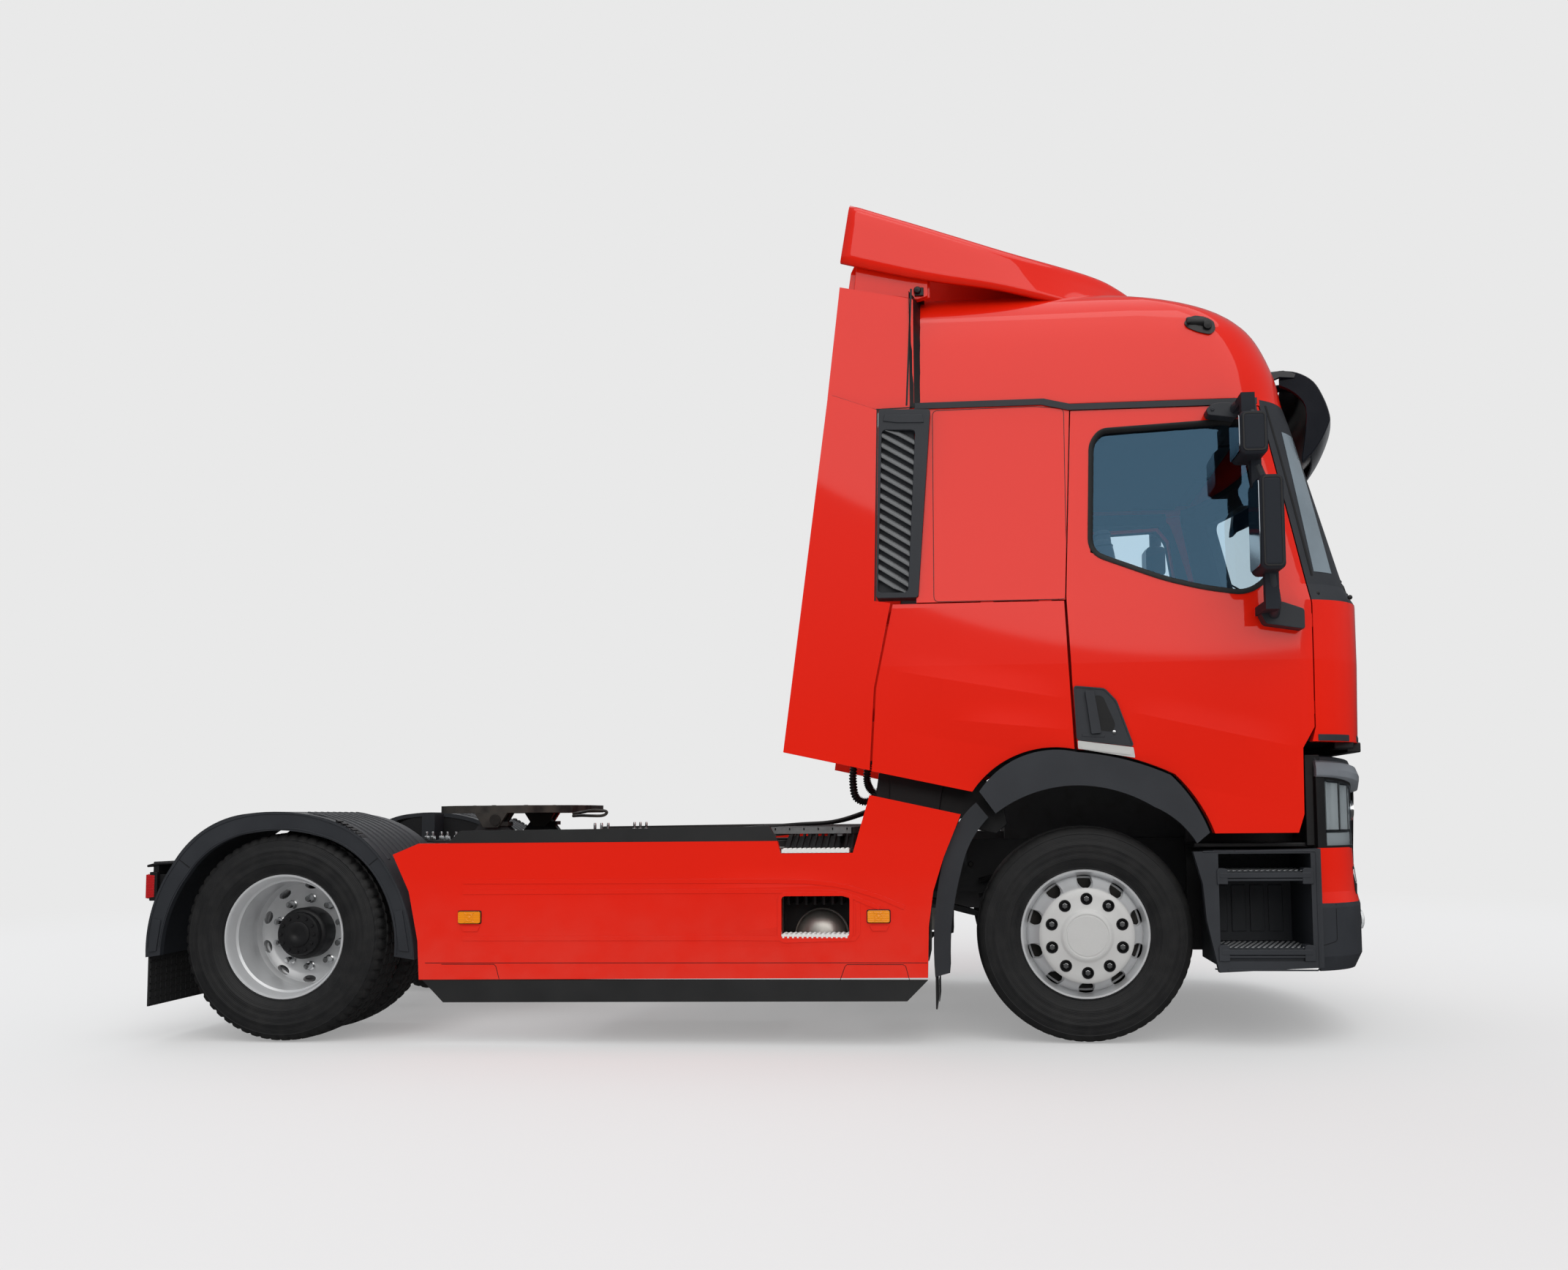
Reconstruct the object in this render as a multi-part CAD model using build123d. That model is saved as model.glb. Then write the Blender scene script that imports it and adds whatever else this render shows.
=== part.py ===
"""Two-axle semi truck tractor unit with a high-roof sleeper cab.

Millimetres, +X forward, +Y to the left, +Z up. The origin is on the ground, under the middle of the
vehicle's length and width. Pieces that exist on both sides are drawn on the right, at negative y,
and mirrored.
"""

import math
import os

from build123d import *

# ---- Driving dimensions -------------------------------------------------------------------------
WIDTH = 2500.0
WHEELBASE = 3820.0
FRONT_OVERHANG = 1460.0
REAR_OVERHANG = 720.0
LENGTH = FRONT_OVERHANG + WHEELBASE + REAR_OVERHANG
FRONT_X = LENGTH / 2
REAR_X = -LENGTH / 2
FRONT_AXLE_X = FRONT_X - FRONT_OVERHANG
REAR_AXLE_X = FRONT_AXLE_X - WHEELBASE
SIDE_Y = -WIDTH / 2

# Wheels
TYRE_R = 500.0
TYRE_WIDTH = 300.0
RIM_R = 298.0
BEAD_R = 286.0
RIM_WIDTH = 250.0
FRONT_TRACK = WIDTH - 500.0
TWIN_SPACING = 340.0
REAR_OUTER_TRACK = WIDTH - 320.0
WHEEL_Z = TYRE_R
INNER_TYRE_Y = REAR_OUTER_TRACK / 2 - TWIN_SPACING - TYRE_WIDTH / 2

# Frame
RAIL_OUTER_Y = 455.0
RAIL_FLANGE = 75.0
RAIL_WALL = 8.0
RAIL_TOP = 930.0
RAIL_DEPTH = 270.0
RAIL_BOTTOM = RAIL_TOP - RAIL_DEPTH
RAIL_WEB_Y = RAIL_OUTER_Y - RAIL_WALL

# Steering
KINGPIN_Y = FRONT_TRACK / 2 - 130.0
KINGPIN_R = 25.0
EYE_R = 55.0
EYE_HEIGHT = 116.0
TIE_ROD_X = FRONT_AXLE_X - 190.0
TIE_ROD_Y = KINGPIN_Y - 70.0
BALL_R = 18.0

# Cab
WALL = 60.0
CAB_LENGTH = 2220.0
CAB_REAR_X = FRONT_X - CAB_LENGTH
CAB_HALF_WIDTH = WIDTH / 2 - 25.0
CAB_UPPER_HALF_WIDTH = CAB_HALF_WIDTH - 35.0
CORNER_R = 330.0
FRONT_ARC_R = 3200.0
FLOOR_Z = 1360.0
FLOOR_THICKNESS = 60.0
FLOOR_LOW_Z = FLOOR_Z - FLOOR_THICKNESS
FRONT_SKIRT_Z = FLOOR_Z + 15.0
SILL_HEIGHT = 665.0
UPPER_HEIGHT = 960.0
ROOF_HEIGHT = 665.0
SILL_BAND_Z = FLOOR_Z + SILL_HEIGHT
ROOF_SEAM_Z = SILL_BAND_Z + UPPER_HEIGHT
ROOF_Z = ROOF_SEAM_Z + ROOF_HEIGHT
PANEL_GAP = 15.0
PIVOT_X = FRONT_X - 200.0
PIVOT_Z = RAIL_TOP + 20.0
PIVOT_Y = 560.0
PIVOT_R = 30.0

# Fifth wheel
FIFTH_X = REAR_AXLE_X + 735.0
FIFTH_TOP = RAIL_TOP + 198.0
FIFTH_PLATE = 40.0
FIFTH_PIVOT_Z = RAIL_TOP + 110.0
FIFTH_PIVOT_R = 25.0
FIFTH_PIVOT_Y = 400.0
KINGPIN_BORE_R = 26.0

# Clearances
GAP = 6.0
SEAT = 0.3
RUN = 0.05


# ---- Helpers ------------------------------------------------------------------------------------
def block(x, y, z):
    """Box between the low and high values of each axis."""
    size = (x[1] - x[0], y[1] - y[0], z[1] - z[0])
    return Pos((x[0] + x[1]) / 2, (y[0] + y[1]) / 2, (z[0] + z[1]) / 2) * Box(*size)


def outline(points, plane, at, radius=0.0):
    """Closed flat outline at one value of the plane's normal axis, its corners rounded."""
    place = {"xz": lambda a, b: (a, at, b), "yz": lambda a, b: (at, a, b), "xy": lambda a, b: (a, b, at)}
    face = make_face(Polyline(*[place[plane](a, b) for a, b in points], close=True)).face()
    if radius:
        face = face.fillet_2d(radius, face.vertices())
    return face


def side_plate(points, y, radius=0.0):
    """Outline of (x, z) points, extruded across the vehicle."""
    return extrude(outline(points, "xz", y[0], radius), amount=y[1] - y[0], dir=(0, 1, 0))


def cross_plate(points, x, radius=0.0):
    """Outline of (y, z) points, extruded along the vehicle."""
    return extrude(outline(points, "yz", x[0], radius), amount=x[1] - x[0], dir=(1, 0, 0))


def flat_plate(points, z, radius=0.0):
    """Outline of (x, y) points, extruded upwards."""
    return extrude(outline(points, "xy", z[0], radius), amount=z[1] - z[0], dir=(0, 0, 1))


def rod(start, end, radius):
    """Round bar between two points."""
    start, end = Vector(*start), Vector(*end)
    along = end - start
    return extrude(Plane(origin=start, z_dir=along) * Circle(radius), amount=along.length)


def turned(profile, x, z):
    """Profile of (y, radius) points, turned about an axis across the vehicle."""
    face = make_face(Polyline(*[(x, py, z + pr) for py, pr in profile], close=True))
    return revolve(face, Axis((x, 0, z), (0, 1, 0)), 360)


def ring_point(axle_x, angle, gap):
    """Point beside a wheel: its angle from the front, and its distance outside the tyre."""
    radius = TYRE_R + gap
    return (axle_x + radius * math.cos(math.radians(angle)), WHEEL_Z + radius * math.sin(math.radians(angle)))


def arc_edges(points, y):
    """Arcs through every other point of a round outline with an odd number of (x, z) points."""
    at = [(x, y, z) for x, z in points]
    return [ThreePointArc(at[i], at[i + 1], at[i + 2]) for i in range(0, len(at) - 2, 2)]


def arch(table, axle_x, y, thickness=None):
    """Arched strip over a wheel from rows of angle, outer gap and inner gap, or of one thickness."""
    outer = [ring_point(axle_x, angle, gap) for angle, gap, _ in table]
    inner = [ring_point(axle_x, angle, gap - thickness if thickness else low) for angle, gap, low in table]
    ends = [((x1, y[0], z1), (x2, y[0], z2))
            for (x1, z1), (x2, z2) in ((outer[0], inner[0]), (outer[-1], inner[-1]))]
    edges = arc_edges(outer, y[0]) + arc_edges(inner, y[0]) + [Line(*end) for end in ends]
    return extrude(make_face(edges), amount=y[1] - y[0], dir=(0, 1, 0))


def mirrored(shape):
    return mirror(shape, Plane.XZ)


def pair(shape):
    """The piece and its copy on the other side."""
    return Compound(list(shape.solids()) + list(mirrored(shape).solids()))


def group(*shapes):
    """Pieces that share a node and don't touch."""
    return Compound([solid for shape in shapes for solid in shape.solids()])


def save(name, shape):
    export_step(shape, f"parts/{name}.step")


def plan_section(z, front_x, half_width, rear_x, inset=0.0):
    """Plan at one height: straight back and sides, bowed front, round front corners.

    The inset moves the front and the sides in, so that two sections keep an even wall between them.
    """
    arc_r = FRONT_ARC_R - inset
    corner = CORNER_R - inset
    half_width = half_width - inset
    front_x = front_x - inset
    centre_x = front_x - arc_r
    # The corner arc touches the side and the bowed front.
    corner_y = half_width - corner
    corner_x = centre_x + math.sqrt((arc_r - corner) ** 2 - corner_y ** 2)
    ratio = arc_r / (arc_r - corner)
    touch_x = centre_x + (corner_x - centre_x) * ratio
    touch_y = corner_y * ratio
    mid = math.atan2(corner_y, corner_x - centre_x) / 2 + math.pi / 4
    mid_x = corner_x + corner * math.cos(mid)
    mid_y = corner_y + corner * math.sin(mid)
    edges = [
        Line((rear_x, -half_width, z), (corner_x, -half_width, z)),
        ThreePointArc((corner_x, -half_width, z), (mid_x, -mid_y, z), (touch_x, -touch_y, z)),
        ThreePointArc((touch_x, -touch_y, z), (front_x, 0, z), (touch_x, touch_y, z)),
        ThreePointArc((touch_x, touch_y, z), (mid_x, mid_y, z), (corner_x, half_width, z)),
        Line((corner_x, half_width, z), (rear_x, half_width, z)),
        Line((rear_x, half_width, z), (rear_x, -half_width, z)),
    ]
    return make_face(edges)


# The cab's plan sections below the roof: z, how far the front lies behind FRONT_X, half width.
CAB_SECTIONS = [
    (FLOOR_Z - 460.0, 8.0, CAB_HALF_WIDTH),
    (FLOOR_Z + 40.0, 8.0, CAB_HALF_WIDTH),
    (FLOOR_Z + 390.0, 0.0, CAB_HALF_WIDTH),
    (SILL_BAND_Z, 0.0, CAB_HALF_WIDTH - 8.0),
    (SILL_BAND_Z + 75.0, 45.0, CAB_UPPER_HALF_WIDTH + 24.0),
    (ROOF_SEAM_Z - 85.0, 275.0, CAB_UPPER_HALF_WIDTH),
]
# The roof's plan sections: share of the roof's height, how far back, how much narrower.
ROOF_SECTIONS = [(0.04, 312.0, 2.0), (0.47, 405.0, 30.0), (0.62, 475.0, 55.0), (0.745, 590.0, 90.0),
                 (0.85, 780.0, 150.0), (0.94, 1050.0, 250.0), (1.0, 1400.0, 400.0)]
CAB_SECTIONS += [(ROOF_SEAM_Z + share * ROOF_HEIGHT, back, CAB_UPPER_HALF_WIDTH - narrower)
                 for share, back, narrower in ROOF_SECTIONS]


def cab_solid(inset, tail=0.0):
    """The cab's outer form, moved in by a wall's thickness on every side but the bottom."""
    faces = []
    for z, back, half_width in CAB_SECTIONS:
        level = z - inset if z > ROOF_SEAM_Z else z
        faces.append(plan_section(level, FRONT_X - back, half_width, CAB_REAR_X + inset - tail, inset))
    return loft(faces, ruled=True)


# ---- Cab shell ----------------------------------------------------------------------------------
OUTER = cab_solid(0.0)
INNER = cab_solid(WALL)
SHELL = OUTER - INNER
BIG = 2000.0
DOOR_FRONT_X = FRONT_X - 415.0
DOOR_REAR_X = DOOR_FRONT_X - 1095.0
DOOR_TOP_Z = ROOF_SEAM_Z - 35.0

# Dark trim over each front wheel: angle from the front, outer and inner gap around the tyre.
ARCH_TRIM = [(40, 225, 150), (54, 290, 165), (62, 325, 162), (74, 321, 172), (92, 338, 186), (108, 369, 193),
             (126, 318, 193)]

# Outline of the door without its arch, from its top rear corner forward: x from DOOR_FRONT_X, z.
DOOR_OUTLINE = [
    (-1070.0, DOOR_TOP_Z),
    (-195.0, DOOR_TOP_Z),
    (0.0, SILL_BAND_Z - 15.0),
    (-5.0, FLOOR_Z + 80.0),
    (-60.0, FLOOR_Z - 15.0),
    (-64.0, FLOOR_Z - 315.0),
    (-91.0, FLOOR_Z - 398.0),
    (-1060.0, FLOOR_Z - 398.0),
    (-1072.0, FLOOR_Z + 2.0),
    (-1089.0, FLOOR_Z + 290.0),
    (-1093.0, FLOOR_Z + 405.0),
    (-1108.0, SILL_BAND_Z + 40.0),
]
# Window opening in the door.
WINDOW_OUTLINE = [
    (-976.0, ROOF_SEAM_Z - 196.0),
    (-932.0, ROOF_SEAM_Z - 137.0),
    (-331.0, ROOF_SEAM_Z - 110.0),
    (-270.0, ROOF_SEAM_Z - 185.0),
    (-165.0, SILL_BAND_Z + 125.0),
    (-281.0, SILL_BAND_Z + 36.0),
    (-481.0, SILL_BAND_Z + 68.0),
    (-659.0, SILL_BAND_Z + 115.0),
    (-993.0, SILL_BAND_Z + 244.0),
]


def from_door(points):
    """Door points in vehicle coordinates."""
    return [(DOOR_FRONT_X + x, z) for x, z in points]


def side_prism(points, by=0.0):
    """Outline through the right-hand wall of the cab, moved out by a gap."""
    face = make_face(Polyline(*points, close=True))
    if by:
        face = offset(face, amount=by, kind=Kind.INTERSECTION)
    placed = Plane(origin=(0, -BIG, 0), x_dir=(1, 0, 0), z_dir=(0, -1, 0)) * face
    return extrude(placed, amount=BIG - 300.0, dir=(0, 1, 0))


# The panels' cut around the trim, carried on a little past both of its ends.
ARCH_MIDDLE = (ARCH_TRIM[0][0] + ARCH_TRIM[-1][0]) / 2
ARCH_CURVE = [ring_point(FRONT_AXLE_X, angle + 0.06 * (angle - ARCH_MIDDLE), outer + PANEL_GAP)
              for angle, outer, _ in ARCH_TRIM]
ARCH_ENDS = [Line((x, -BIG, z), (FRONT_AXLE_X, -BIG, WHEEL_Z)) for x, z in (ARCH_CURVE[0], ARCH_CURVE[-1])]
ARCH_PRISM = extrude(make_face(arc_edges(ARCH_CURVE, -BIG) + ARCH_ENDS), amount=BIG - 300.0, dir=(0, 1, 0))
DOOR_PRISM = side_prism(from_door(DOOR_OUTLINE)) - ARCH_PRISM
DOOR_HOLE = side_prism(from_door(DOOR_OUTLINE), GAP)
WINDOW_PRISM = side_prism(from_door(WINDOW_OUTLINE))

# Locker lid behind the door, carried on behind the cab's back wall.
LOCKER_TOP_Z = SILL_BAND_Z + 19.0
LOCKER_TAIL = 217.0
LOCKER_OUTLINE = [
    (CAB_REAR_X - 112.0, LOCKER_TOP_Z),
    (DOOR_REAR_X - 24.0, LOCKER_TOP_Z),
    (DOOR_REAR_X - 12.0, FLOOR_Z + 405.0),
    (DOOR_REAR_X + 10.0, FLOOR_Z - 30.0),
    (DOOR_REAR_X + 10.0, FLOOR_Z - 203.0),
    (CAB_REAR_X + 270.0, FLOOR_Z - 203.0),
    (CAB_REAR_X - LOCKER_TAIL, FLOOR_Z - 98.0),
    (CAB_REAR_X - 193.0, FLOOR_Z + 290.0),
]
LOCKER_PRISM = side_prism(LOCKER_OUTLINE) - ARCH_PRISM
LOCKER_HOLE = side_prism(LOCKER_OUTLINE, GAP)
LOCKER_HINGE_Z = LOCKER_TOP_Z + 2.0
LOCKER_HINGE_Y = CAB_HALF_WIDTH - 8.0

# Service flap in the front panel: half width and height range.
FLAP_HALF_WIDTH = 850.0
FLAP_Z = (FLOOR_Z + 200.0, SILL_BAND_Z - 25.0)
FLAP_SKIN = 26.0
FLAP_HINGE_X = FRONT_X - 2.0
FLAP_HINGE_Z = FLAP_Z[1] + 3.0

# Door hinge line, on the outer skin just ahead of the door's front edge.
DOOR_HINGE_X = DOOR_FRONT_X + 2.0
DOOR_HINGE_Y = CAB_HALF_WIDTH - 3.0

# Steering wheel: centre, tilt of its axis and column radius.
STEERING_WHEEL_AT = (FRONT_X - 580.0, 560.0, FLOOR_Z + 680.0)
STEERING_TILT = 35.0
STEERING_WHEEL_AXIS = (-math.sin(math.radians(STEERING_TILT)), 0.0, math.cos(math.radians(STEERING_TILT)))
COLUMN_R = 22.0
COLUMN_LENGTH = 190.0
FIFTH_ROCK = 12.0


# ---- Chassis ------------------------------------------------------------------------------------
RAIL_FRONT_X = PIVOT_X - 60.0
RAIL_REAR_X = REAR_X + 60.0
CROSSMEMBER_X = [RAIL_REAR_X + 60.0, REAR_AXLE_X - 300.0, REAR_AXLE_X + 360.0, FIFTH_X + 380.0,
                 REAR_AXLE_X + 1780.0, FRONT_AXLE_X - 1290.0, RAIL_FRONT_X - 60.0]
CROSSMEMBER_WIDTH = 90.0


def frame_rails():
    """Two C-section side rails, open towards the middle."""
    outer = block((RAIL_REAR_X, RAIL_FRONT_X), (-RAIL_OUTER_Y, -RAIL_OUTER_Y + RAIL_FLANGE),
                  (RAIL_BOTTOM, RAIL_TOP))
    inside = block((RAIL_REAR_X - 1, RAIL_FRONT_X + 1), (-RAIL_WEB_Y, -RAIL_OUTER_Y + RAIL_FLANGE + 1),
                   (RAIL_BOTTOM + RAIL_WALL, RAIL_TOP - RAIL_WALL))
    return pair(outer - inside)


def crossmembers():
    """Box members between the rails' webs."""
    low = RAIL_BOTTOM + 100
    high = RAIL_TOP - RAIL_WALL - SEAT
    return group(*[block((x - CROSSMEMBER_WIDTH / 2, x + CROSSMEMBER_WIDTH / 2),
                         (-RAIL_WEB_Y, RAIL_WEB_Y), (low, high)) for x in CROSSMEMBER_X])


BEAM_LOW_Z = WHEEL_Z - 115.0
BEAM_TOP_Z = WHEEL_Z - 25.0
SPRING_SEAT_END = RAIL_OUTER_Y + 25.0


def front_axle():
    """Dropped beam with an eye for the kingpin at each end."""
    eye_low = WHEEL_Z - EYE_HEIGHT / 2
    eye_high = WHEEL_Z + EYE_HEIGHT / 2
    half = [(0, BEAM_LOW_Z), (SPRING_SEAT_END - 60, BEAM_LOW_Z), (KINGPIN_Y - 230, eye_low),
            (KINGPIN_Y, eye_low), (KINGPIN_Y, eye_high), (KINGPIN_Y - 150, eye_high),
            (SPRING_SEAT_END, BEAM_TOP_Z), (0, BEAM_TOP_Z)]
    beam = cross_plate(half, (FRONT_AXLE_X - 45, FRONT_AXLE_X + 45))
    eye = Pos(FRONT_AXLE_X, KINGPIN_Y, eye_low) * extrude(Circle(EYE_R), amount=EYE_HEIGHT)
    bore = Pos(FRONT_AXLE_X, KINGPIN_Y, eye_low - 1) * extrude(Circle(KINGPIN_R + RUN), amount=EYE_HEIGHT + 2)
    half_beam = (beam + eye) - bore
    return half_beam + mirrored(half_beam)


SPRING_Y = (-RAIL_OUTER_Y, -RAIL_OUTER_Y + RAIL_FLANGE)
SPRING_HALF = 760.0
LEAF = 30.0
BELLOWS_R = 110.0
BELLOWS_OFFSET = 390.0
BEAM_Z = (WHEEL_Z - 155.0, WHEEL_Z - 85.0)


def leaf_spring():
    """Bowed leaf with its seat on the axle beam and a hanger at each end."""
    eye_z = RAIL_BOTTOM - 20.0
    seat_z = BEAM_TOP_Z + SEAT
    y = SPRING_Y[0]
    rear, front = FRONT_AXLE_X - SPRING_HALF, FRONT_AXLE_X + SPRING_HALF
    low, high = seat_z + 2.0, seat_z + 2.0 + LEAF
    edges = [
        ThreePointArc((rear, y, eye_z), (FRONT_AXLE_X, y, high), (front, y, eye_z)),
        ThreePointArc((rear, y, eye_z - LEAF), (FRONT_AXLE_X, y, low), (front, y, eye_z - LEAF)),
        Line((rear, y, eye_z), (rear, y, eye_z - LEAF)),
        Line((front, y, eye_z), (front, y, eye_z - LEAF)),
    ]
    leaf = extrude(make_face(edges), amount=RAIL_FLANGE, dir=(0, 1, 0))
    leaf += block((FRONT_AXLE_X - 80, FRONT_AXLE_X + 80), SPRING_Y, (seat_z, high))
    for x in (rear, front):
        leaf += block((x - 35, x + 35), SPRING_Y, (eye_z - LEAF - 10, RAIL_BOTTOM))
    return leaf


def suspension():
    """Front leaf springs and rear air bellows."""
    bag_y = 182.0 - INNER_TYRE_Y
    carrier = block((REAR_AXLE_X - BELLOWS_OFFSET - 110, REAR_AXLE_X + BELLOWS_OFFSET + 110),
                    (bag_y - 40, bag_y + 40), BEAM_Z)
    for way in (-1, 1):
        carrier += Pos(REAR_AXLE_X + way * BELLOWS_OFFSET, bag_y, BEAM_Z[1]) * extrude(
            Circle(BELLOWS_R), amount=RAIL_BOTTOM - BEAM_Z[1])
    carrier += block((REAR_AXLE_X - 60, REAR_AXLE_X + 60), (bag_y - 40, bag_y + 40),
                     (BEAM_Z[1], WHEEL_Z - AXLE_TUBE_R - SEAT))
    return group(pair(leaf_spring()), pair(carrier))


AXLE_TUBE_R = 70.0
SPINDLE_R = 50.0
HUB_FACE_Y = INNER_TYRE_Y - 40.0
SPINDLE_END_Y = REAR_OUTER_TRACK / 2 - 10.0
NOSE_LENGTH = 330.0
GEARBOX_REAR_X = CAB_REAR_X - 400.0
GEARBOX_OUT_Z = RAIL_TOP - 230.0


SHAFT_LENGTH = math.hypot(GEARBOX_REAR_X - REAR_AXLE_X, GEARBOX_OUT_Z - WHEEL_Z) + 30.0


def shaft_point(along):
    """Point on the line from the rear axle's centre up to the gearbox."""
    run, rise = GEARBOX_REAR_X - REAR_AXLE_X, GEARBOX_OUT_Z - WHEEL_Z
    share = along / math.hypot(run, rise)
    return (REAR_AXLE_X + run * share, 0, WHEEL_Z + rise * share)


def rear_axle():
    """Driven axle housing with its differential and spindles."""
    tube_end = HUB_FACE_Y - SEAT
    tube = rod((REAR_AXLE_X, -tube_end, WHEEL_Z), (REAR_AXLE_X, tube_end, WHEEL_Z), AXLE_TUBE_R)
    spindle = rod((REAR_AXLE_X, -SPINDLE_END_Y, WHEEL_Z), (REAR_AXLE_X, SPINDLE_END_Y, WHEEL_Z), SPINDLE_R)
    bowl = rod((REAR_AXLE_X, -120, WHEEL_Z), (REAR_AXLE_X, 120, WHEEL_Z), 200.0)
    nose = rod((REAR_AXLE_X, 0, WHEEL_Z), shaft_point(NOSE_LENGTH), 95.0)
    return tube + spindle + bowl + nose


ENGINE_X = (FRONT_X - 1800.0, FRONT_X - 650.0)
ENGINE_Z = (RAIL_TOP - 340.0, FLOOR_Z - 150.0)
ENGINE_HALF_WIDTH = 340.0


def powertrain():
    """Engine as one plain block, with the gearbox and the radiator."""
    engine = block(ENGINE_X, (-ENGINE_HALF_WIDTH, ENGINE_HALF_WIDTH), ENGINE_Z)
    box_half = 230.0
    gearbox = block((GEARBOX_REAR_X, ENGINE_X[0]), (-box_half, box_half), (RAIL_TOP - 370, RAIL_TOP + 35))
    shaft = rod(shaft_point(NOSE_LENGTH + SEAT), shaft_point(SHAFT_LENGTH - SEAT), 50.0)
    shaft -= block((GEARBOX_REAR_X - SEAT, ENGINE_X[0]), (-box_half, box_half), (0, RAIL_TOP))
    mount_x = (GEARBOX_REAR_X + 420, GEARBOX_REAR_X + 520)
    for y in (-RAIL_WEB_Y + SEAT, box_half - 1):
        gearbox += block(mount_x, (y, y + RAIL_WEB_Y - box_half + 1 - SEAT), (RAIL_TOP - 150, RAIL_TOP - 70))
    inner = RAIL_OUTER_Y - RAIL_FLANGE - SEAT
    radiator = block((FRONT_X - 580, FRONT_X - 440), (-inner, inner), (RAIL_TOP - 230, FLOOR_Z - 120))
    return group(engine + gearbox, shaft, radiator)


TANK_Y = (SIDE_Y + 100.0, -500.0)
TANK_Z = (RAIL_TOP - 560.0, RAIL_TOP - 30.0)
SKIRT_REAR_X = REAR_AXLE_X + TYRE_R + 190.0
SKIRT_FRONT_X = FRONT_AXLE_X - TYRE_R - 220.0
TANKS_X = [(SKIRT_REAR_X + 690.0, SKIRT_FRONT_X - 710.0), (SKIRT_FRONT_X - 350.0, SKIRT_FRONT_X - 5.0)]


def tanks():
    """Side tanks with rounded edges and the brackets that hang them on the rails."""
    shapes = []
    for low, high in TANKS_X:
        body = cross_plate([(TANK_Y[0], TANK_Z[0]), (TANK_Y[1], TANK_Z[0]), (TANK_Y[1], TANK_Z[1]),
                            (TANK_Y[0], TANK_Z[1])], (low, high), 90.0)
        for x in (low + 80, high - 120):
            body += block((x, x + 40), (TANK_Y[1] - 5, -RAIL_OUTER_Y), (RAIL_BOTTOM + 20, RAIL_TOP - 70))
        shapes.append(pair(body))
    return group(*shapes)


SKIRT_Y = (SIDE_Y, SIDE_Y + 30)
# Skirt outline: x from its rear end, then x from its front end, with z from RAIL_TOP or FLOOR_Z.
SKIRT_OUTLINE = [(SKIRT_REAR_X + x, RAIL_TOP + z) for x, z in (
    (-10.0, 12.0), (-137.0, -40.0), (-55.0, -216.0), (-9.0, -448.0), (0.0, -628.0))]
SKIRT_OUTLINE += [(SKIRT_FRONT_X + x, RAIL_TOP + z) for x, z in (
    (-7.0, -616.0), (0.0, -381.0), (22.0, -224.0), (72.0, -67.0))]
SKIRT_OUTLINE += [(SKIRT_FRONT_X + x, FLOOR_Z + z) for x, z in ((153.0, -302.0), (-267.0, -209.0))]
SKIRT_OUTLINE += [(SKIRT_FRONT_X + x, RAIL_TOP + z) for x, z in (
    (-347.0, -45.0), (-684.0, -45.0), (-699.0, 12.0))]
SKIRT_WINDOW = [(SKIRT_FRONT_X + x, RAIL_TOP + z) for x, z in (
    (-681.0, -243.0), (-364.0, -243.0), (-366.0, -430.0), (-682.0, -440.0))]
SKIRT_SUPPORT_X = [TANKS_X[0][0] + 100.0, TANKS_X[0][1] - 150.0, TANKS_X[1][0] + 90.0, TANKS_X[1][1] - 55.0]


def skirts():
    """Side skirts with the step window, and their stand-offs to the tanks."""
    skirt = side_plate(SKIRT_OUTLINE, SKIRT_Y) - side_plate(SKIRT_WINDOW, (SIDE_Y - 5, SIDE_Y + 50))
    for x in SKIRT_SUPPORT_X:
        skirt += block((x, x + 40), (SKIRT_Y[1], TANK_Y[0] - SEAT), (TANK_Z[0] + 190, TANK_Z[0] + 330))
    return pair(skirt)


def side_trims():
    """Dark sills below the skirts and dark edge boards above them."""
    y = (SIDE_Y + 4, SIDE_Y + 34)
    sill_z = RAIL_TOP - 628 - SEAT
    sill = side_plate([(SKIRT_REAR_X + 14, sill_z), (SKIRT_REAR_X + 118, RAIL_TOP - 734),
                       (SKIRT_FRONT_X - 103, RAIL_TOP - 723), (SKIRT_FRONT_X - 8, sill_z)], y)
    board_z = RAIL_TOP + 12 + SEAT
    board = side_plate([(SKIRT_REAR_X + 128, board_z), (SKIRT_REAR_X + 190, RAIL_TOP + 70),
                        (SKIRT_FRONT_X - 737, RAIL_TOP + 80), (SKIRT_FRONT_X - 700, board_z)], y)
    return group(pair(sill), pair(board))


WALKWAY_X = (CAB_REAR_X - 753.0, CAB_REAR_X - 317.0)
WALKWAY_Z = (RAIL_TOP + 48.0, RAIL_TOP + 73.0)


def walkway():
    """Grating deck over the rails."""
    deck = block(WALKWAY_X, (SIDE_Y + 100, -SIDE_Y - 100), WALKWAY_Z)
    for x in (WALKWAY_X[0] + 40, WALKWAY_X[1] - 80):
        for y in (-RAIL_OUTER_Y, RAIL_OUTER_Y - 60):
            deck += block((x, x + 40), (y, y + 60), (RAIL_TOP + SEAT, WALKWAY_Z[0]))
    return deck


# Fender over the twin wheels: angle from the front, outer and inner gap around the tyre.
FENDER = [(-9, 174, 74), (9, 141, 62), (28, 124, 50), (50, 118, 35), (70, 104, 14), (92, 100, 10),
          (106, 116, 20), (129, 150, 48), (148, 150, 55), (170, 162, 78), (188, 177, 104)]
FENDER_Y = (SIDE_Y, 10.0 - INNER_TYRE_Y)
FENDER_SHEET = 24.0


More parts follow.
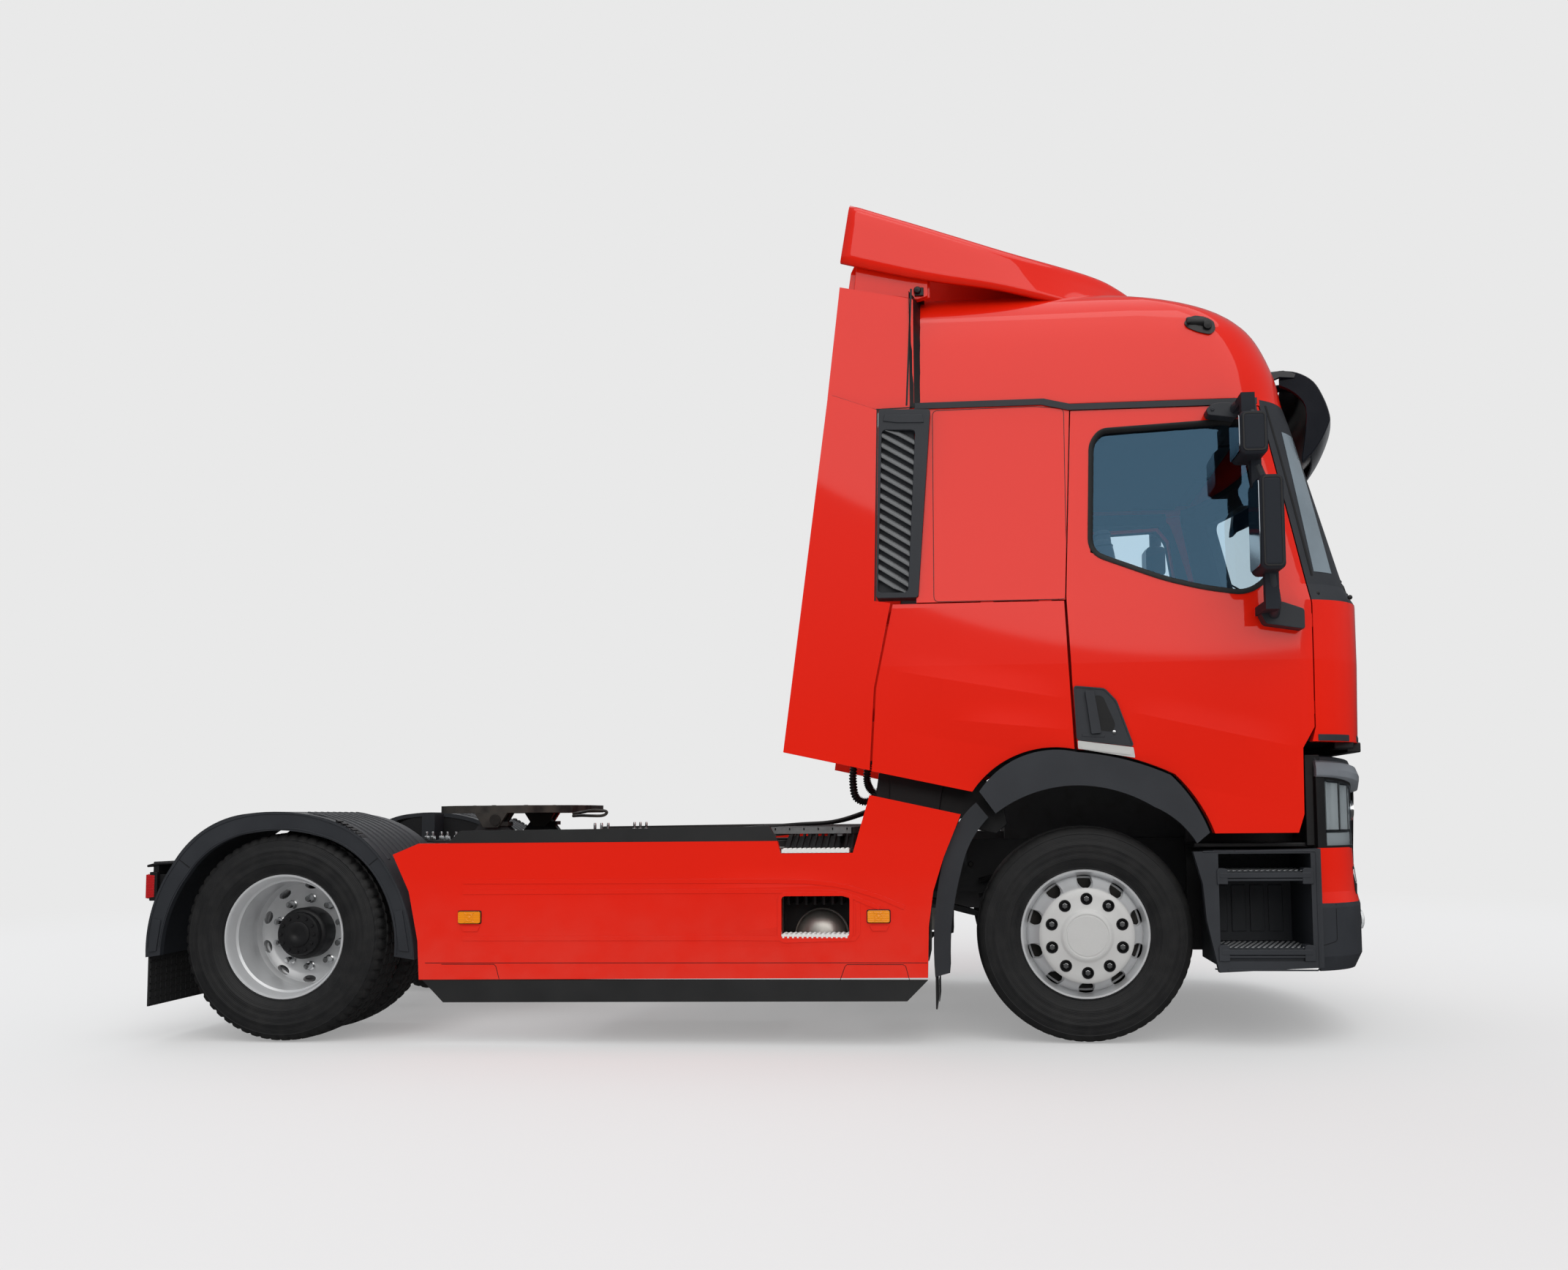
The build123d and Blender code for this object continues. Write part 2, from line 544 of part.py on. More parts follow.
def rear_fenders():
    """Fenders over the twin wheels: a deep outer lip and a thin arch behind it."""
    lip = arch(FENDER, REAR_AXLE_X, (SIDE_Y, SIDE_Y + 30))
    sheet = arch(FENDER, REAR_AXLE_X, (SIDE_Y + 30, FENDER_Y[1]), FENDER_SHEET)
    x = (REAR_AXLE_X - 40, REAR_AXLE_X + 40)
    top = WHEEL_Z + TYRE_R + 90
    strut = block(x, (FENDER_Y[1], -RAIL_OUTER_Y), (RAIL_TOP - 60, top))
    strut += block(x, (FENDER_Y[1] - 20, FENDER_Y[1]), (WHEEL_Z + TYRE_R + 30, top))
    return pair(lip + sheet + strut)


# Rear half of each front wheel's arch, fixed to the chassis.
MUDGUARD = [(129, 288, 199), (137, 280, 185), (151, 242, 146), (168, 203, 119), (195, 219, 148)]
FLAP_THICKNESS = 8.0


def mudflap(axle_x, angle, gap, y, length):
    """Rubber flap below the end of an arch."""
    x, z = ring_point(axle_x, angle, gap)
    return block((x + 1, x + 1 + FLAP_THICKNESS), y, (z - length, z - SEAT / 2))


def mudflaps():
    """Rear and front mudflaps."""
    rear = mudflap(REAR_AXLE_X, FENDER[-1][0], FENDER[-1][1], (SIDE_Y + 20, -INNER_TYRE_Y), 236.0)
    front = mudflap(FRONT_AXLE_X, MUDGUARD[-1][0], MUDGUARD[-1][1], (SIDE_Y + 50, MUDGUARD_Y[1] - 40), 149.0)
    return group(pair(rear), pair(front))


MUDGUARD_Y = (SIDE_Y + 35.0, 180.0 - FRONT_TRACK / 2)


def front_mudguards():
    """Rear halves of the front wheel arches, fixed to the chassis."""
    guard = arch(MUDGUARD, FRONT_AXLE_X, MUDGUARD_Y)
    x, z = ring_point(FRONT_AXLE_X, 148, 175)
    guard += block((x - 30, x + 30), (MUDGUARD_Y[1] - 10, -RAIL_OUTER_Y), (RAIL_TOP - 110, RAIL_TOP - 70))
    guard += block((x - 30, x + 30), (MUDGUARD_Y[1] - 10, MUDGUARD_Y[1] + 20), (RAIL_TOP - 110, z + 10))
    return pair(guard)


def tail_lamps():
    """Tail lamps on their cross-beam behind the rails."""
    beam = block((RAIL_REAR_X - 30, RAIL_REAR_X - SEAT), (SIDE_Y + 70, -SIDE_Y - 70),
                 (RAIL_TOP - 130, RAIL_TOP - 68))
    for way in (-1, 1):
        low, high = sorted((way * (-SIDE_Y - 390), way * (-SIDE_Y - 60)))
        beam += block((REAR_X, RAIL_REAR_X - 30), (low, high), (RAIL_TOP - 258, RAIL_TOP - 118))
    return beam


def fifth_wheel_base():
    """Mounting plate across the rails with the two pivot brackets."""
    base = block((FIFTH_X - 320, FIFTH_X + 320), (-RAIL_OUTER_Y, RAIL_OUTER_Y),
                 (RAIL_TOP + SEAT, RAIL_TOP + 14))
    for way in (-1, 1):
        low, high = sorted((way * (FIFTH_PIVOT_Y - 30), way * (FIFTH_PIVOT_Y + 30)))
        foot = side_plate([(FIFTH_X - 140, RAIL_TOP + 14), (FIFTH_X + 140, RAIL_TOP + 14),
                           (FIFTH_X + 45, FIFTH_PIVOT_Z + 25), (FIFTH_X - 45, FIFTH_PIVOT_Z + 25)],
                          (low, high))
        base += foot
    bore = rod((FIFTH_X, -600, FIFTH_PIVOT_Z), (FIFTH_X, 600, FIFTH_PIVOT_Z), FIFTH_PIVOT_R + RUN)
    return base - bore


def fifth_wheel_plate():
    """Rocking coupling plate with the kingpin jaw and the tapered rear throat."""
    plan = [(-340, -300), (-340, -160), (-60, -KINGPIN_BORE_R), (0, -KINGPIN_BORE_R), (0, KINGPIN_BORE_R),
            (-60, KINGPIN_BORE_R), (-340, 160), (-340, 300), (-200, 450), (200, 450), (400, 300), (453, 120),
            (453, -120), (400, -300), (200, -450), (-200, -450)]
    low = FIFTH_TOP - FIFTH_PLATE
    plate = flat_plate([(FIFTH_X + x, y) for x, y in plan], (low, FIFTH_TOP))
    plate -= Pos(FIFTH_X, 0, low - 1) * extrude(Circle(KINGPIN_BORE_R), amount=FIFTH_PLATE + 2)
    for way in (-1, 1):
        ears = [(way * (FIFTH_PIVOT_Y - 60), way * (FIFTH_PIVOT_Y - 31)),
                (way * (FIFTH_PIVOT_Y + 31), way * (FIFTH_PIVOT_Y + 60))]
        for ear in ears:
            plate += side_plate([(FIFTH_X - 40, FIFTH_PIVOT_Z - 30), (FIFTH_X + 40, FIFTH_PIVOT_Z - 30),
                                 (FIFTH_X + 90, low), (FIFTH_X - 90, low)], sorted(ear))
        pin = sorted((way * (FIFTH_PIVOT_Y - 60), way * (FIFTH_PIVOT_Y + 60)))
        plate += rod((FIFTH_X, pin[0], FIFTH_PIVOT_Z), (FIFTH_X, pin[1], FIFTH_PIVOT_Z), FIFTH_PIVOT_R)
    return plate


FRONT_HALF = WIDTH / 2 - 80.0
BUMPER_LOW_Z = 332.0
BUMPER_Z = FLOOR_Z - 720.0
LENS_Z = (FLOOR_Z - 470.0, FLOOR_Z - 230.0)
BROW_TOP_Z = FLOOR_Z - 50.0
# Front end: z, how far the front lies behind FRONT_X, how much narrower than FRONT_HALF.
FRONT_SECTIONS = [
    (BUMPER_LOW_Z, 55.0, 30.0), (BUMPER_LOW_Z + 68, 22.0, 5.0), (BUMPER_Z - 20, 22.0, 0.0),
    (BUMPER_Z + 50, 40.0, 5.0), (LENS_Z[0], 52.0, 10.0), (LENS_Z[1], 52.0, 15.0),
    (LENS_Z[1] + 50, 20.0, 15.0), (BROW_TOP_Z - 48, 30.0, 15.0), (BROW_TOP_Z, 100.0, 20.0),
]
FRONT_END_X = DOOR_FRONT_X + 15.0
LAMP_INNER_Y = 700.0
FRONT_WALL = 35.0


def front_end_solid(inset):
    faces = [plan_section(z, FRONT_X - back, FRONT_HALF - narrower, FRONT_END_X - 400, inset)
             for z, back, narrower in FRONT_SECTIONS]
    return loft(faces, ruled=True)


FRONT_SHELL = front_end_solid(0.0) - front_end_solid(FRONT_WALL)


def front_band(z, inner_y=None):
    """Slice of the front end between two heights, over the full width or beyond inner_y."""
    if inner_y is None:
        return FRONT_SHELL & block((FRONT_END_X - 5, FRONT_X + 5), (SIDE_Y, -SIDE_Y), z)
    return FRONT_SHELL & block((FRONT_END_X - 5, FRONT_X + 5), (SIDE_Y, -inner_y), z)


def bumper():
    """Lower bumper and the centre grille above it, with their brackets to the rails."""
    shape = front_band((BUMPER_LOW_Z - 10, BUMPER_Z))
    shape += FRONT_SHELL & block((FRONT_END_X, FRONT_X + 5), (-LAMP_INNER_Y, LAMP_INNER_Y),
                                 (BUMPER_Z, BROW_TOP_Z + 10))
    for way in (-1, 1):
        low, high = sorted((way * (RAIL_OUTER_Y - RAIL_FLANGE), way * RAIL_OUTER_Y))
        bracket = block((RAIL_FRONT_X + SEAT, FRONT_X - 85), (low, high), (RAIL_BOTTOM, RAIL_TOP - 30))
        shape += bracket & front_end_solid(10.0)
    return shape


def corner_panels():
    return pair(front_band((BUMPER_Z, LENS_Z[0]), LAMP_INNER_Y))


def headlights():
    return pair(front_band(LENS_Z, LAMP_INNER_Y))


def headlight_brows():
    return pair(front_band((LENS_Z[1], BROW_TOP_Z + 10), LAMP_INNER_Y))


STEP_X = (FRONT_X - 872.0, FRONT_X - 465.0)
STEP_Y = (SIDE_Y, SIDE_Y + 390.0)
STEP_TOP_Z = FLOOR_Z - 480.0
STEP_FRONT_X = FRONT_X - 420.0
# Step well's rear edge: x outside the tyre's front, z from FLOOR_Z.
STEP_OUTLINE = [(FRONT_AXLE_X + TYRE_R + x, FLOOR_Z + z) for x, z in (
    (-22.0, -480.0), (18.0, -626.0), (31.0, -788.0), (81.0, -1021.0))]
STEP_OUTLINE += [(STEP_FRONT_X, FLOOR_Z - 998.0), (STEP_FRONT_X, FLOOR_Z - 469.0)]
TREADS = [(FLOOR_Z - 970.0, FLOOR_Z - 912.0), (FLOOR_Z - 610.0, FLOOR_Z - 569.0)]


def steps():
    """Step wells below the doors with two treads each."""
    face = side_plate(STEP_OUTLINE, (SIDE_Y, SIDE_Y + 40))
    face -= block(STEP_X, (SIDE_Y - 5, SIDE_Y + 50), (TREADS[0][0], STEP_TOP_Z - 10))
    well = block((STEP_X[0] - 12, STEP_X[1] + 12), (SIDE_Y + 40, STEP_Y[1]),
                 (TREADS[0][0] - 20, STEP_TOP_Z + 5))
    well -= block(STEP_X, (SIDE_Y, STEP_Y[1] - 12), (TREADS[0][0], STEP_TOP_Z - 10))
    shape = face + well
    for z in TREADS:
        shape += block((STEP_X[0] - 5, STEP_X[1] + 5), (SIDE_Y + 10, STEP_Y[1] - 5), z)
    shape += block((FRONT_X - 750, FRONT_X - 690), (STEP_Y[1] - 5, -RAIL_OUTER_Y),
                   (RAIL_TOP - 230, RAIL_TOP - 150))
    return pair(shape)


# ---- Steering and wheels ------------------------------------------------------------------------
FRONT_HUB_Y = FRONT_TRACK / 2 - 70.0
FRONT_SPINDLE_END = FRONT_TRACK / 2 + 60.0


def knuckle():
    """Yoke, kingpin, spindle and steering arm of the right front wheel."""
    low = WHEEL_Z - EYE_HEIGHT / 2 - SEAT
    high = WHEEL_Z + EYE_HEIGHT / 2 + SEAT
    x = (FRONT_AXLE_X - 45, FRONT_AXLE_X + 45)
    shape = block(x, (-FRONT_HUB_Y - 30, -KINGPIN_Y + 40), (high, high + 36))
    shape += block(x, (-FRONT_HUB_Y - 30, -KINGPIN_Y + 40), (low - 36, low))
    shape += block(x, (-FRONT_HUB_Y - 30, -FRONT_HUB_Y), (low - 36, high + 36))
    shape += Pos(FRONT_AXLE_X, -KINGPIN_Y, low - 10) * extrude(Circle(KINGPIN_R), amount=high - low + 20)
    shape += rod((FRONT_AXLE_X, -FRONT_HUB_Y - 20, WHEEL_Z), (FRONT_AXLE_X, -FRONT_SPINDLE_END, WHEEL_Z),
                 SPINDLE_R - 10)
    arm = [(FRONT_AXLE_X + 30, -KINGPIN_Y + 35), (FRONT_AXLE_X - 30, -KINGPIN_Y - 10),
           (TIE_ROD_X - 25, -TIE_ROD_Y - 20), (TIE_ROD_X - 25, -TIE_ROD_Y + 25),
           (TIE_ROD_X + 20, -TIE_ROD_Y + 25)]
    shape += flat_plate(arm, (low - 36, low - 10))
    return shape


def tie_rod():
    """Rod between the steering arms, its ball studs through both arms' ends."""
    arm_low = WHEEL_Z - EYE_HEIGHT / 2 - SEAT - 36
    z = arm_low - 22
    shape = rod((TIE_ROD_X, -TIE_ROD_Y, z), (TIE_ROD_X, TIE_ROD_Y, z), BALL_R)
    for way in (-1, 1):
        shape += Pos(TIE_ROD_X, way * TIE_ROD_Y, z - 24) * extrude(Circle(26), amount=24 + 22 - SEAT)
    return shape


def tyre(centre_y):
    """Tyre turned about its axle: tread, shoulders, sidewalls and beads."""
    half = TYRE_WIDTH / 2
    rim_half = RIM_WIDTH / 2 - 12
    profile = [(-half + 35, TYRE_R), (half - 35, TYRE_R), (half - 8, TYRE_R - 32), (half, TYRE_R - 110),
               (rim_half, RIM_R + 2), (rim_half, BEAD_R + SEAT), (-rim_half, BEAD_R + SEAT),
               (-rim_half, RIM_R + 2), (-half, TYRE_R - 110), (-half + 8, TYRE_R - 32)]
    return [(centre_y + y, r) for y, r in profile]


def rim(centre_y, outward, disc_offset, bore_r):
    """Rim barrel with its disc, as a turned profile; outward is -1 on the right."""
    half = RIM_WIDTH / 2
    wall = 10.0
    d = disc_offset
    points = [(-half, RIM_R), (-half + 11, RIM_R), (-half + 11, BEAD_R), (half - 11, BEAD_R),
              (half - 11, RIM_R), (half, RIM_R), (half, BEAD_R - wall), (d + 12, BEAD_R - wall),
              (d + 12, bore_r), (d - 12, bore_r),
              (d - 12, BEAD_R - wall), (-half, BEAD_R - wall)]
    return [(centre_y + outward * y, r) for y, r in points]


def front_wheel():
    """Rim, hub and trim disc of the right front wheel."""
    centre = -FRONT_TRACK / 2
    wheel = turned(rim(centre, -1, 70.0, SPINDLE_R - 10 + RUN), FRONT_AXLE_X, WHEEL_Z)
    hub = [(-FRONT_HUB_Y - 30 - SEAT, SPINDLE_R - 10 + RUN), (-FRONT_HUB_Y - 30 - SEAT, 130),
           (centre - 60, 130), (centre - 60, SPINDLE_R - 10 + RUN)]
    wheel += turned(hub, FRONT_AXLE_X, WHEEL_Z)
    cap = [(centre - 70, 0), (centre - 70, 200), (centre - 200, 190), (centre - 212, 175),
           (centre - 212, 105), (centre - 225, 95), (centre - 225, 0)]
    hollow = [(centre - 69, 0), (centre - 69, SPINDLE_R), (centre - 80, SPINDLE_R), (centre - 80, 0)]
    wheel += turned(cap, FRONT_AXLE_X, WHEEL_Z) - turned(hollow, FRONT_AXLE_X, WHEEL_Z)
    return wheel


def rear_wheel():
    """Two rims back to back on one hub."""
    outer_centre = -REAR_OUTER_TRACK / 2
    inner_centre = outer_centre + TWIN_SPACING
    middle = (outer_centre + inner_centre) / 2
    bore = SPINDLE_R + RUN
    disc = TWIN_SPACING / 2 - 12
    wheel = turned(rim(outer_centre, 1, disc, bore), REAR_AXLE_X, WHEEL_Z)
    wheel += turned(rim(inner_centre, 1, -disc, bore), REAR_AXLE_X, WHEEL_Z)
    hub = [(-HUB_FACE_Y, bore), (-HUB_FACE_Y, 120), (middle - 120, 120), (middle - 140, 110),
           (middle - 170, 105),
           (middle - 170, 0), (-SPINDLE_END_Y - SEAT, 0), (-SPINDLE_END_Y - SEAT, bore)]
    wheel += turned(hub, REAR_AXLE_X, WHEEL_Z)
    return wheel


# ---- Cab ----------------------------------------------------------------------------------------
BACK_WALL_X = (CAB_REAR_X, CAB_REAR_X + WALL)
WINDSCREEN_Z = (SILL_BAND_Z + 105.0, ROOF_SEAM_Z - 125.0)
# Everything ahead of this line belongs to the windscreen surround and the front panel.
FRONT_CUT = [(DOOR_FRONT_X - 190, ROOF_SEAM_Z + 5), (DOOR_FRONT_X - 195 + GAP, DOOR_TOP_Z),
             (DOOR_FRONT_X + GAP, SILL_BAND_Z - 15), (DOOR_FRONT_X - 5 + GAP, FLOOR_Z + 80),
             (DOOR_FRONT_X - 60, FLOOR_Z - 160), (FRONT_X + 10, FLOOR_Z - 160),
             (FRONT_X + 10, ROOF_SEAM_Z + 5)]
POST_X = (DOOR_REAR_X - 20.0, DOOR_REAR_X + 50.0)


def zone(x, z):
    """Full-width region between two lengths and two heights."""
    return block(x, (-BIG, BIG), z)


def cab_back_wall():
    """Back wall, stepped in beside the locker lids."""
    wall = SHELL & zone((CAB_REAR_X - 5, BACK_WALL_X[1]), (FLOOR_LOW_Z, ROOF_SEAM_Z))
    notch = block((CAB_REAR_X - 5, BACK_WALL_X[1] + 5), (-BIG, -CAB_HALF_WIDTH + WALL + 3 * GAP),
                  (FLOOR_LOW_Z - 5, LOCKER_TOP_Z + GAP))
    return wall - notch - mirrored(notch)


def cab_sides():
    """Side walls behind and above the doors, each with the post between door and locker."""
    inner_y = WALL + GAP - CAB_UPPER_HALF_WIDTH
    wall = SHELL & block((BACK_WALL_X[1], FRONT_X), (-BIG, 0), (FLOOR_LOW_Z, ROOF_SEAM_Z))
    wall -= DOOR_HOLE
    wall -= LOCKER_HOLE
    wall -= block((DOOR_REAR_X - 60, DOOR_REAR_X + 60), (-BIG, 0), (FLOOR_LOW_Z - 5, LOCKER_TOP_Z + GAP))
    wall -= side_plate(FRONT_CUT, (-BIG, 10))
    wall -= block((DOOR_REAR_X + 500, FRONT_X), (-BIG, 10), (FLOOR_Z - 160, SILL_BAND_Z - 25))
    wall += block(POST_X, (inner_y, inner_y + 50), (FLOOR_Z + SEAT, ROOF_SEAM_Z))
    wall += block(POST_X, (inner_y - 20, inner_y + 50), (DOOR_TOP_Z + GAP, ROOF_SEAM_Z))
    return pair(wall)


def windscreen_opening():
    low, high = CAB_UPPER_HALF_WIDTH - 180, CAB_UPPER_HALF_WIDTH - 230
    bottom, top = WINDSCREEN_Z
    points = [(-low, bottom), (low, bottom), (high, top), (-high, top)]
    return cross_plate(points, (DOOR_FRONT_X - 400, FRONT_X + 10), 60.0)


def windscreen_surround():
    """Pillars, header and scuttle around the windscreen."""
    ring = SHELL & side_plate(FRONT_CUT, (-BIG, BIG))
    ring &= zone((FRONT_X - 1000, FRONT_X + 5), (SILL_BAND_Z, ROOF_SEAM_Z))
    return ring - windscreen_opening()


def windscreen():
    """Curved glass set back in the surround."""
    glass = (cab_solid(14.0) - cab_solid(20.0)) & windscreen_opening()
    return glass & zone((FRONT_X - 900, FRONT_X), WINDSCREEN_Z)


def front_panel():
    """Front wall below the windscreen, recessed for the service flap."""
    panel = SHELL & side_plate(FRONT_CUT, (-BIG, BIG))
    panel &= zone((FRONT_X - 1000, FRONT_X + 5), (FRONT_SKIRT_Z, SILL_BAND_Z))
    recess = block((FRONT_X - 400, FRONT_X + 5), (-FLAP_HALF_WIDTH - GAP, FLAP_HALF_WIDTH + GAP),
                   (FLAP_Z[0] - GAP, FLAP_Z[1] + GAP))
    return panel - (recess - cab_solid(FLAP_SKIN + GAP))


def service_flap():
    """Lid over the service points, hinged along its top edge."""
    region = block((FRONT_X - 400, FRONT_X + 5), (-FLAP_HALF_WIDTH, FLAP_HALF_WIDTH), FLAP_Z)
    lug = block((FRONT_X - 24, FRONT_X - 8), (-60, 60), (FLAP_Z[1] - 1, FLAP_Z[1] + GAP - SEAT))
    return ((OUTER & region) - cab_solid(FLAP_SKIN)) + lug


def cab_roof():
    """High roof shell."""
    return SHELL & zone((CAB_REAR_X - 5, FRONT_X), (ROOF_SEAM_Z, ROOF_Z + 10))


# Space kept free beside the floor for the door's inner face.
DOOR_SWEEP = block((DOOR_REAR_X - 20, DOOR_FRONT_X + 20), (-BIG, -CAB_HALF_WIDTH + WALL + 12),
                   (FLOOR_Z - 460, SILL_BAND_Z - 25))
# Tilt arm, a gooseneck behind the pivot: x from PIVOT_X, z from PIVOT_Z.
ARM_LOW = [(5.0, 40.0), (-160.0, 110.0), (-345.0, 195.0)]
ARM_REAR = [(-390.0, 105.0), (-38.0, -20.0)]
ARM_TOP_X = (-650.0, -490.0)


def cab_floor():
    """Floor with the raised front and the two tilt arms."""
    raised = FLOOR_Z + 20
    profile = [(BACK_WALL_X[1], FLOOR_LOW_Z), (FRONT_X - 520, FLOOR_LOW_Z), (FRONT_X - 440, raised),
               (FRONT_X, raised), (FRONT_X, raised + 60), (FRONT_X - 470, raised + 60),
               (FRONT_X - 550, FLOOR_Z), (BACK_WALL_X[1], FLOOR_Z)]
    slab = side_plate(profile, (-BIG, BIG)) & INNER
    floor = slab - DOOR_SWEEP - mirrored(DOOR_SWEEP)
    arm_top = FLOOR_LOW_Z + 5
    points = [(PIVOT_X + x, PIVOT_Z + z) for x, z in ARM_LOW]
    points += [(PIVOT_X + ARM_TOP_X[1], arm_top), (PIVOT_X + ARM_TOP_X[0], arm_top)]
    points += [(PIVOT_X + x, PIVOT_Z + z) for x, z in ARM_REAR]
    for way in (-1, 1):
        y = sorted((way * (PIVOT_Y - 30), way * (PIVOT_Y + 30)))
        arm = side_plate(points, y)
        arm += rod((PIVOT_X, y[0], PIVOT_Z), (PIVOT_X, y[1], PIVOT_Z), PIVOT_R + 12)
        arm -= rod((PIVOT_X, y[0] - 5, PIVOT_Z), (PIVOT_X, y[1] + 5, PIVOT_Z), PIVOT_R + RUN)
        floor += arm
    return floor


def tilt_brackets():
    """Pivot pins for the cab on the rails' front ends."""
    shapes = []
    for way in (-1, 1):
        cheek = sorted((way * (RAIL_OUTER_Y + SEAT), way * (PIVOT_Y - 31)))
        bracket = block((PIVOT_X - 70, PIVOT_X + 50), cheek, (PIVOT_Z - 200, PIVOT_Z + 45))
        pin = sorted((way * (PIVOT_Y - 40), way * (PIVOT_Y + 45)))
        bracket += rod((PIVOT_X, pin[0], PIVOT_Z), (PIVOT_X, pin[1], PIVOT_Z), PIVOT_R)
        shapes.append(bracket)
    return group(*shapes)


def mirror_head(x, z):
    """Rounded mirror housing outside the door."""
    head = block(x, MIRROR_Y, z)
    return fillet(head.edges(), 30.0)


MIRROR_Y = (SIDE_Y - 310.0, SIDE_Y - 80.0)
MIRROR_ARM_Y = (SIDE_Y - 190.0, SIDE_Y - 150.0)


def door():
    """Door leaf with its window cut, and the mirror arms on its front edge."""
    leaf = (SHELL & DOOR_PRISM) - WINDOW_PRISM
    x = DOOR_FRONT_X
    low, high = SILL_BAND_Z, ROOF_SEAM_Z
    mirrors = mirror_head((x - 295, x - 185), (low + 83, low + 505))
    mirrors += mirror_head((x - 370, x - 245), (high - 365, high - 170))
    reach = (SIDE_Y - 170, -CAB_UPPER_HALF_WIDTH + 40)
    mirrors += block((x - 255, x - 195), reach, (low - 75, low - 35))
    mirrors += block((x - 335, x - 275), reach, (high - 95, high - 55))
    mirrors += block((x - 255, x - 195), MIRROR_ARM_Y, (low - 75, low + 95))
    mirrors += block((x - 335, x - 275), MIRROR_ARM_Y, (high - 185, high - 55))
    mirrors += block((x - 300, x - 255), MIRROR_ARM_Y, (low + 475, high - 345))
    for z in (FLOOR_Z + 140, FLOOR_Z + 540):
        lean = 5 * (z - FLOOR_Z - 80) / (SILL_HEIGHT - 95)
        leaf += block((x - 8, x - 5 + lean + GAP - SEAT), (17 - CAB_HALF_WIDTH, 45 - CAB_HALF_WIDTH),
                      (z, z + 60))
    return leaf + mirrors


def door_window():
    """Side glass within the door's thickness."""
    return (cab_solid(24.0) - cab_solid(29.0)) & WINDOW_PRISM


def locker_lid():
    """Side panel behind the door, hinged along its top edge, as thick as the wall."""
    skin = cab_solid(0.0, LOCKER_TAIL + 100) - cab_solid(WALL, LOCKER_TAIL + 300)
    lid = skin & LOCKER_PRISM
    for x in (CAB_REAR_X + 300, CAB_REAR_X + 570):
        lid += block((x, x + 60), (15 - CAB_HALF_WIDTH, 40 - CAB_HALF_WIDTH),
                     (LOCKER_TOP_Z - 4, LOCKER_TOP_Z + GAP - SEAT))
    return lid


def cab_side_trims():
    """Dark arch trims over the front wheels and the seam strips under the roof."""
    trim = arch(ARCH_TRIM, FRONT_AXLE_X, (SIDE_Y, -CAB_HALF_WIDTH))
    crown = WHEEL_Z + TYRE_R
    top = FLOOR_LOW_Z - SEAT
    liner = [(-460, crown + 150), (-90, top), (10, top), (365, crown + 200), (365, crown + 170),
             (0, top - 30),
             (-80, top - 30), (-450, crown + 120)]
    trim += side_plate([(FRONT_AXLE_X + x, z) for x, z in liner], (-CAB_HALF_WIDTH, 225 - CAB_HALF_WIDTH))
    low, high, drop = ROOF_SEAM_Z - 2, ROOF_SEAM_Z + 27, 30.0
    seam_line = [(CAB_REAR_X, low), (CAB_REAR_X + 600, low), (DOOR_REAR_X + 15, low - drop),
                 (DOOR_FRONT_X - 210, low - drop), (DOOR_FRONT_X - 210, high - drop),
                 (DOOR_REAR_X + 25, high - drop), (CAB_REAR_X + 610, high), (CAB_REAR_X, high)]
    seam = side_plate(seam_line, (-CAB_UPPER_HALF_WIDTH - 8, -CAB_UPPER_HALF_WIDTH + 3))
    return group(pair(trim), pair(seam - OUTER))


GRILLE_X = CAB_REAR_X - SEAT


def rear_grilles():
    """Tall air intake columns behind the cab's rear corners."""
    points = [(CAB_REAR_X - 167, ROOF_SEAM_Z - 6), (GRILLE_X, ROOF_SEAM_Z - 15), (GRILLE_X, SILL_BAND_Z + 48),
              (CAB_REAR_X - 190, SILL_BAND_Z + 47)]
    return pair(side_plate(points, (-CAB_HALF_WIDTH, 125 - CAB_HALF_WIDTH)))


def side_deflectors():
    """Air guides behind the cab's sides, upper and lower."""
    x, low, high = CAB_REAR_X, FLOOR_Z, ROOF_SEAM_Z
    skin = (SIDE_Y + 20, SIDE_Y + 45)
    guide = side_plate([(x - 408, high + 74), (x - 176, high - 10), (x - 196, SILL_BAND_Z + 86),
                        (x - 196, SILL_BAND_Z + 35), (x - 122, SILL_BAND_Z + 24), (x - 203, low + 290),
                        (x - 227, low - 94), (x - 632, low - 5)], skin)
    inner = 75 - CAB_HALF_WIDTH
    for z in (FLOOR_Z + 140, SILL_BAND_Z - 65):
        guide += block((x - 280, x - 240), (skin[1], inner + 40), (z, z + 60))
        guide += block((x - 280, x - SEAT), (inner, inner + 40), (z, z + 60))
    fairing = side_plate([(x - 351, high + 607), (x - 414, high + 66), (x - 160, high - 2), (x - 25, high - 2),
                          (GRILLE_X, high + 25), (GRILLE_X, high + 530), (x - 6, high + 536)],
                         (SIDE_Y + 50, SIDE_Y + 80))
    return group(pair(guide), pair(fairing))


# Roof deflector's sections: x from CAB_REAR_X, how much narrower than the cab low and high, rise over the roof.
DEFLECTOR_SECTIONS = [
    (-350.0, 5.0, 25.0, 395.0), (69.0, 15.0, 40.0, 267.0), (451.0, 50.0, 110.0, 162.0),
    (848.0, 125.0, 290.0, 107.0), (1020.0, 200.0, 410.0, 75.0), (1165.0, 390.0, 550.0, 20.0),
    (1230.0, 490.0, 630.0, -60.0),
]
DEFLECTOR_BASE_Z = ROOF_Z - 260.0
DEFLECTOR_WALL = 28.0


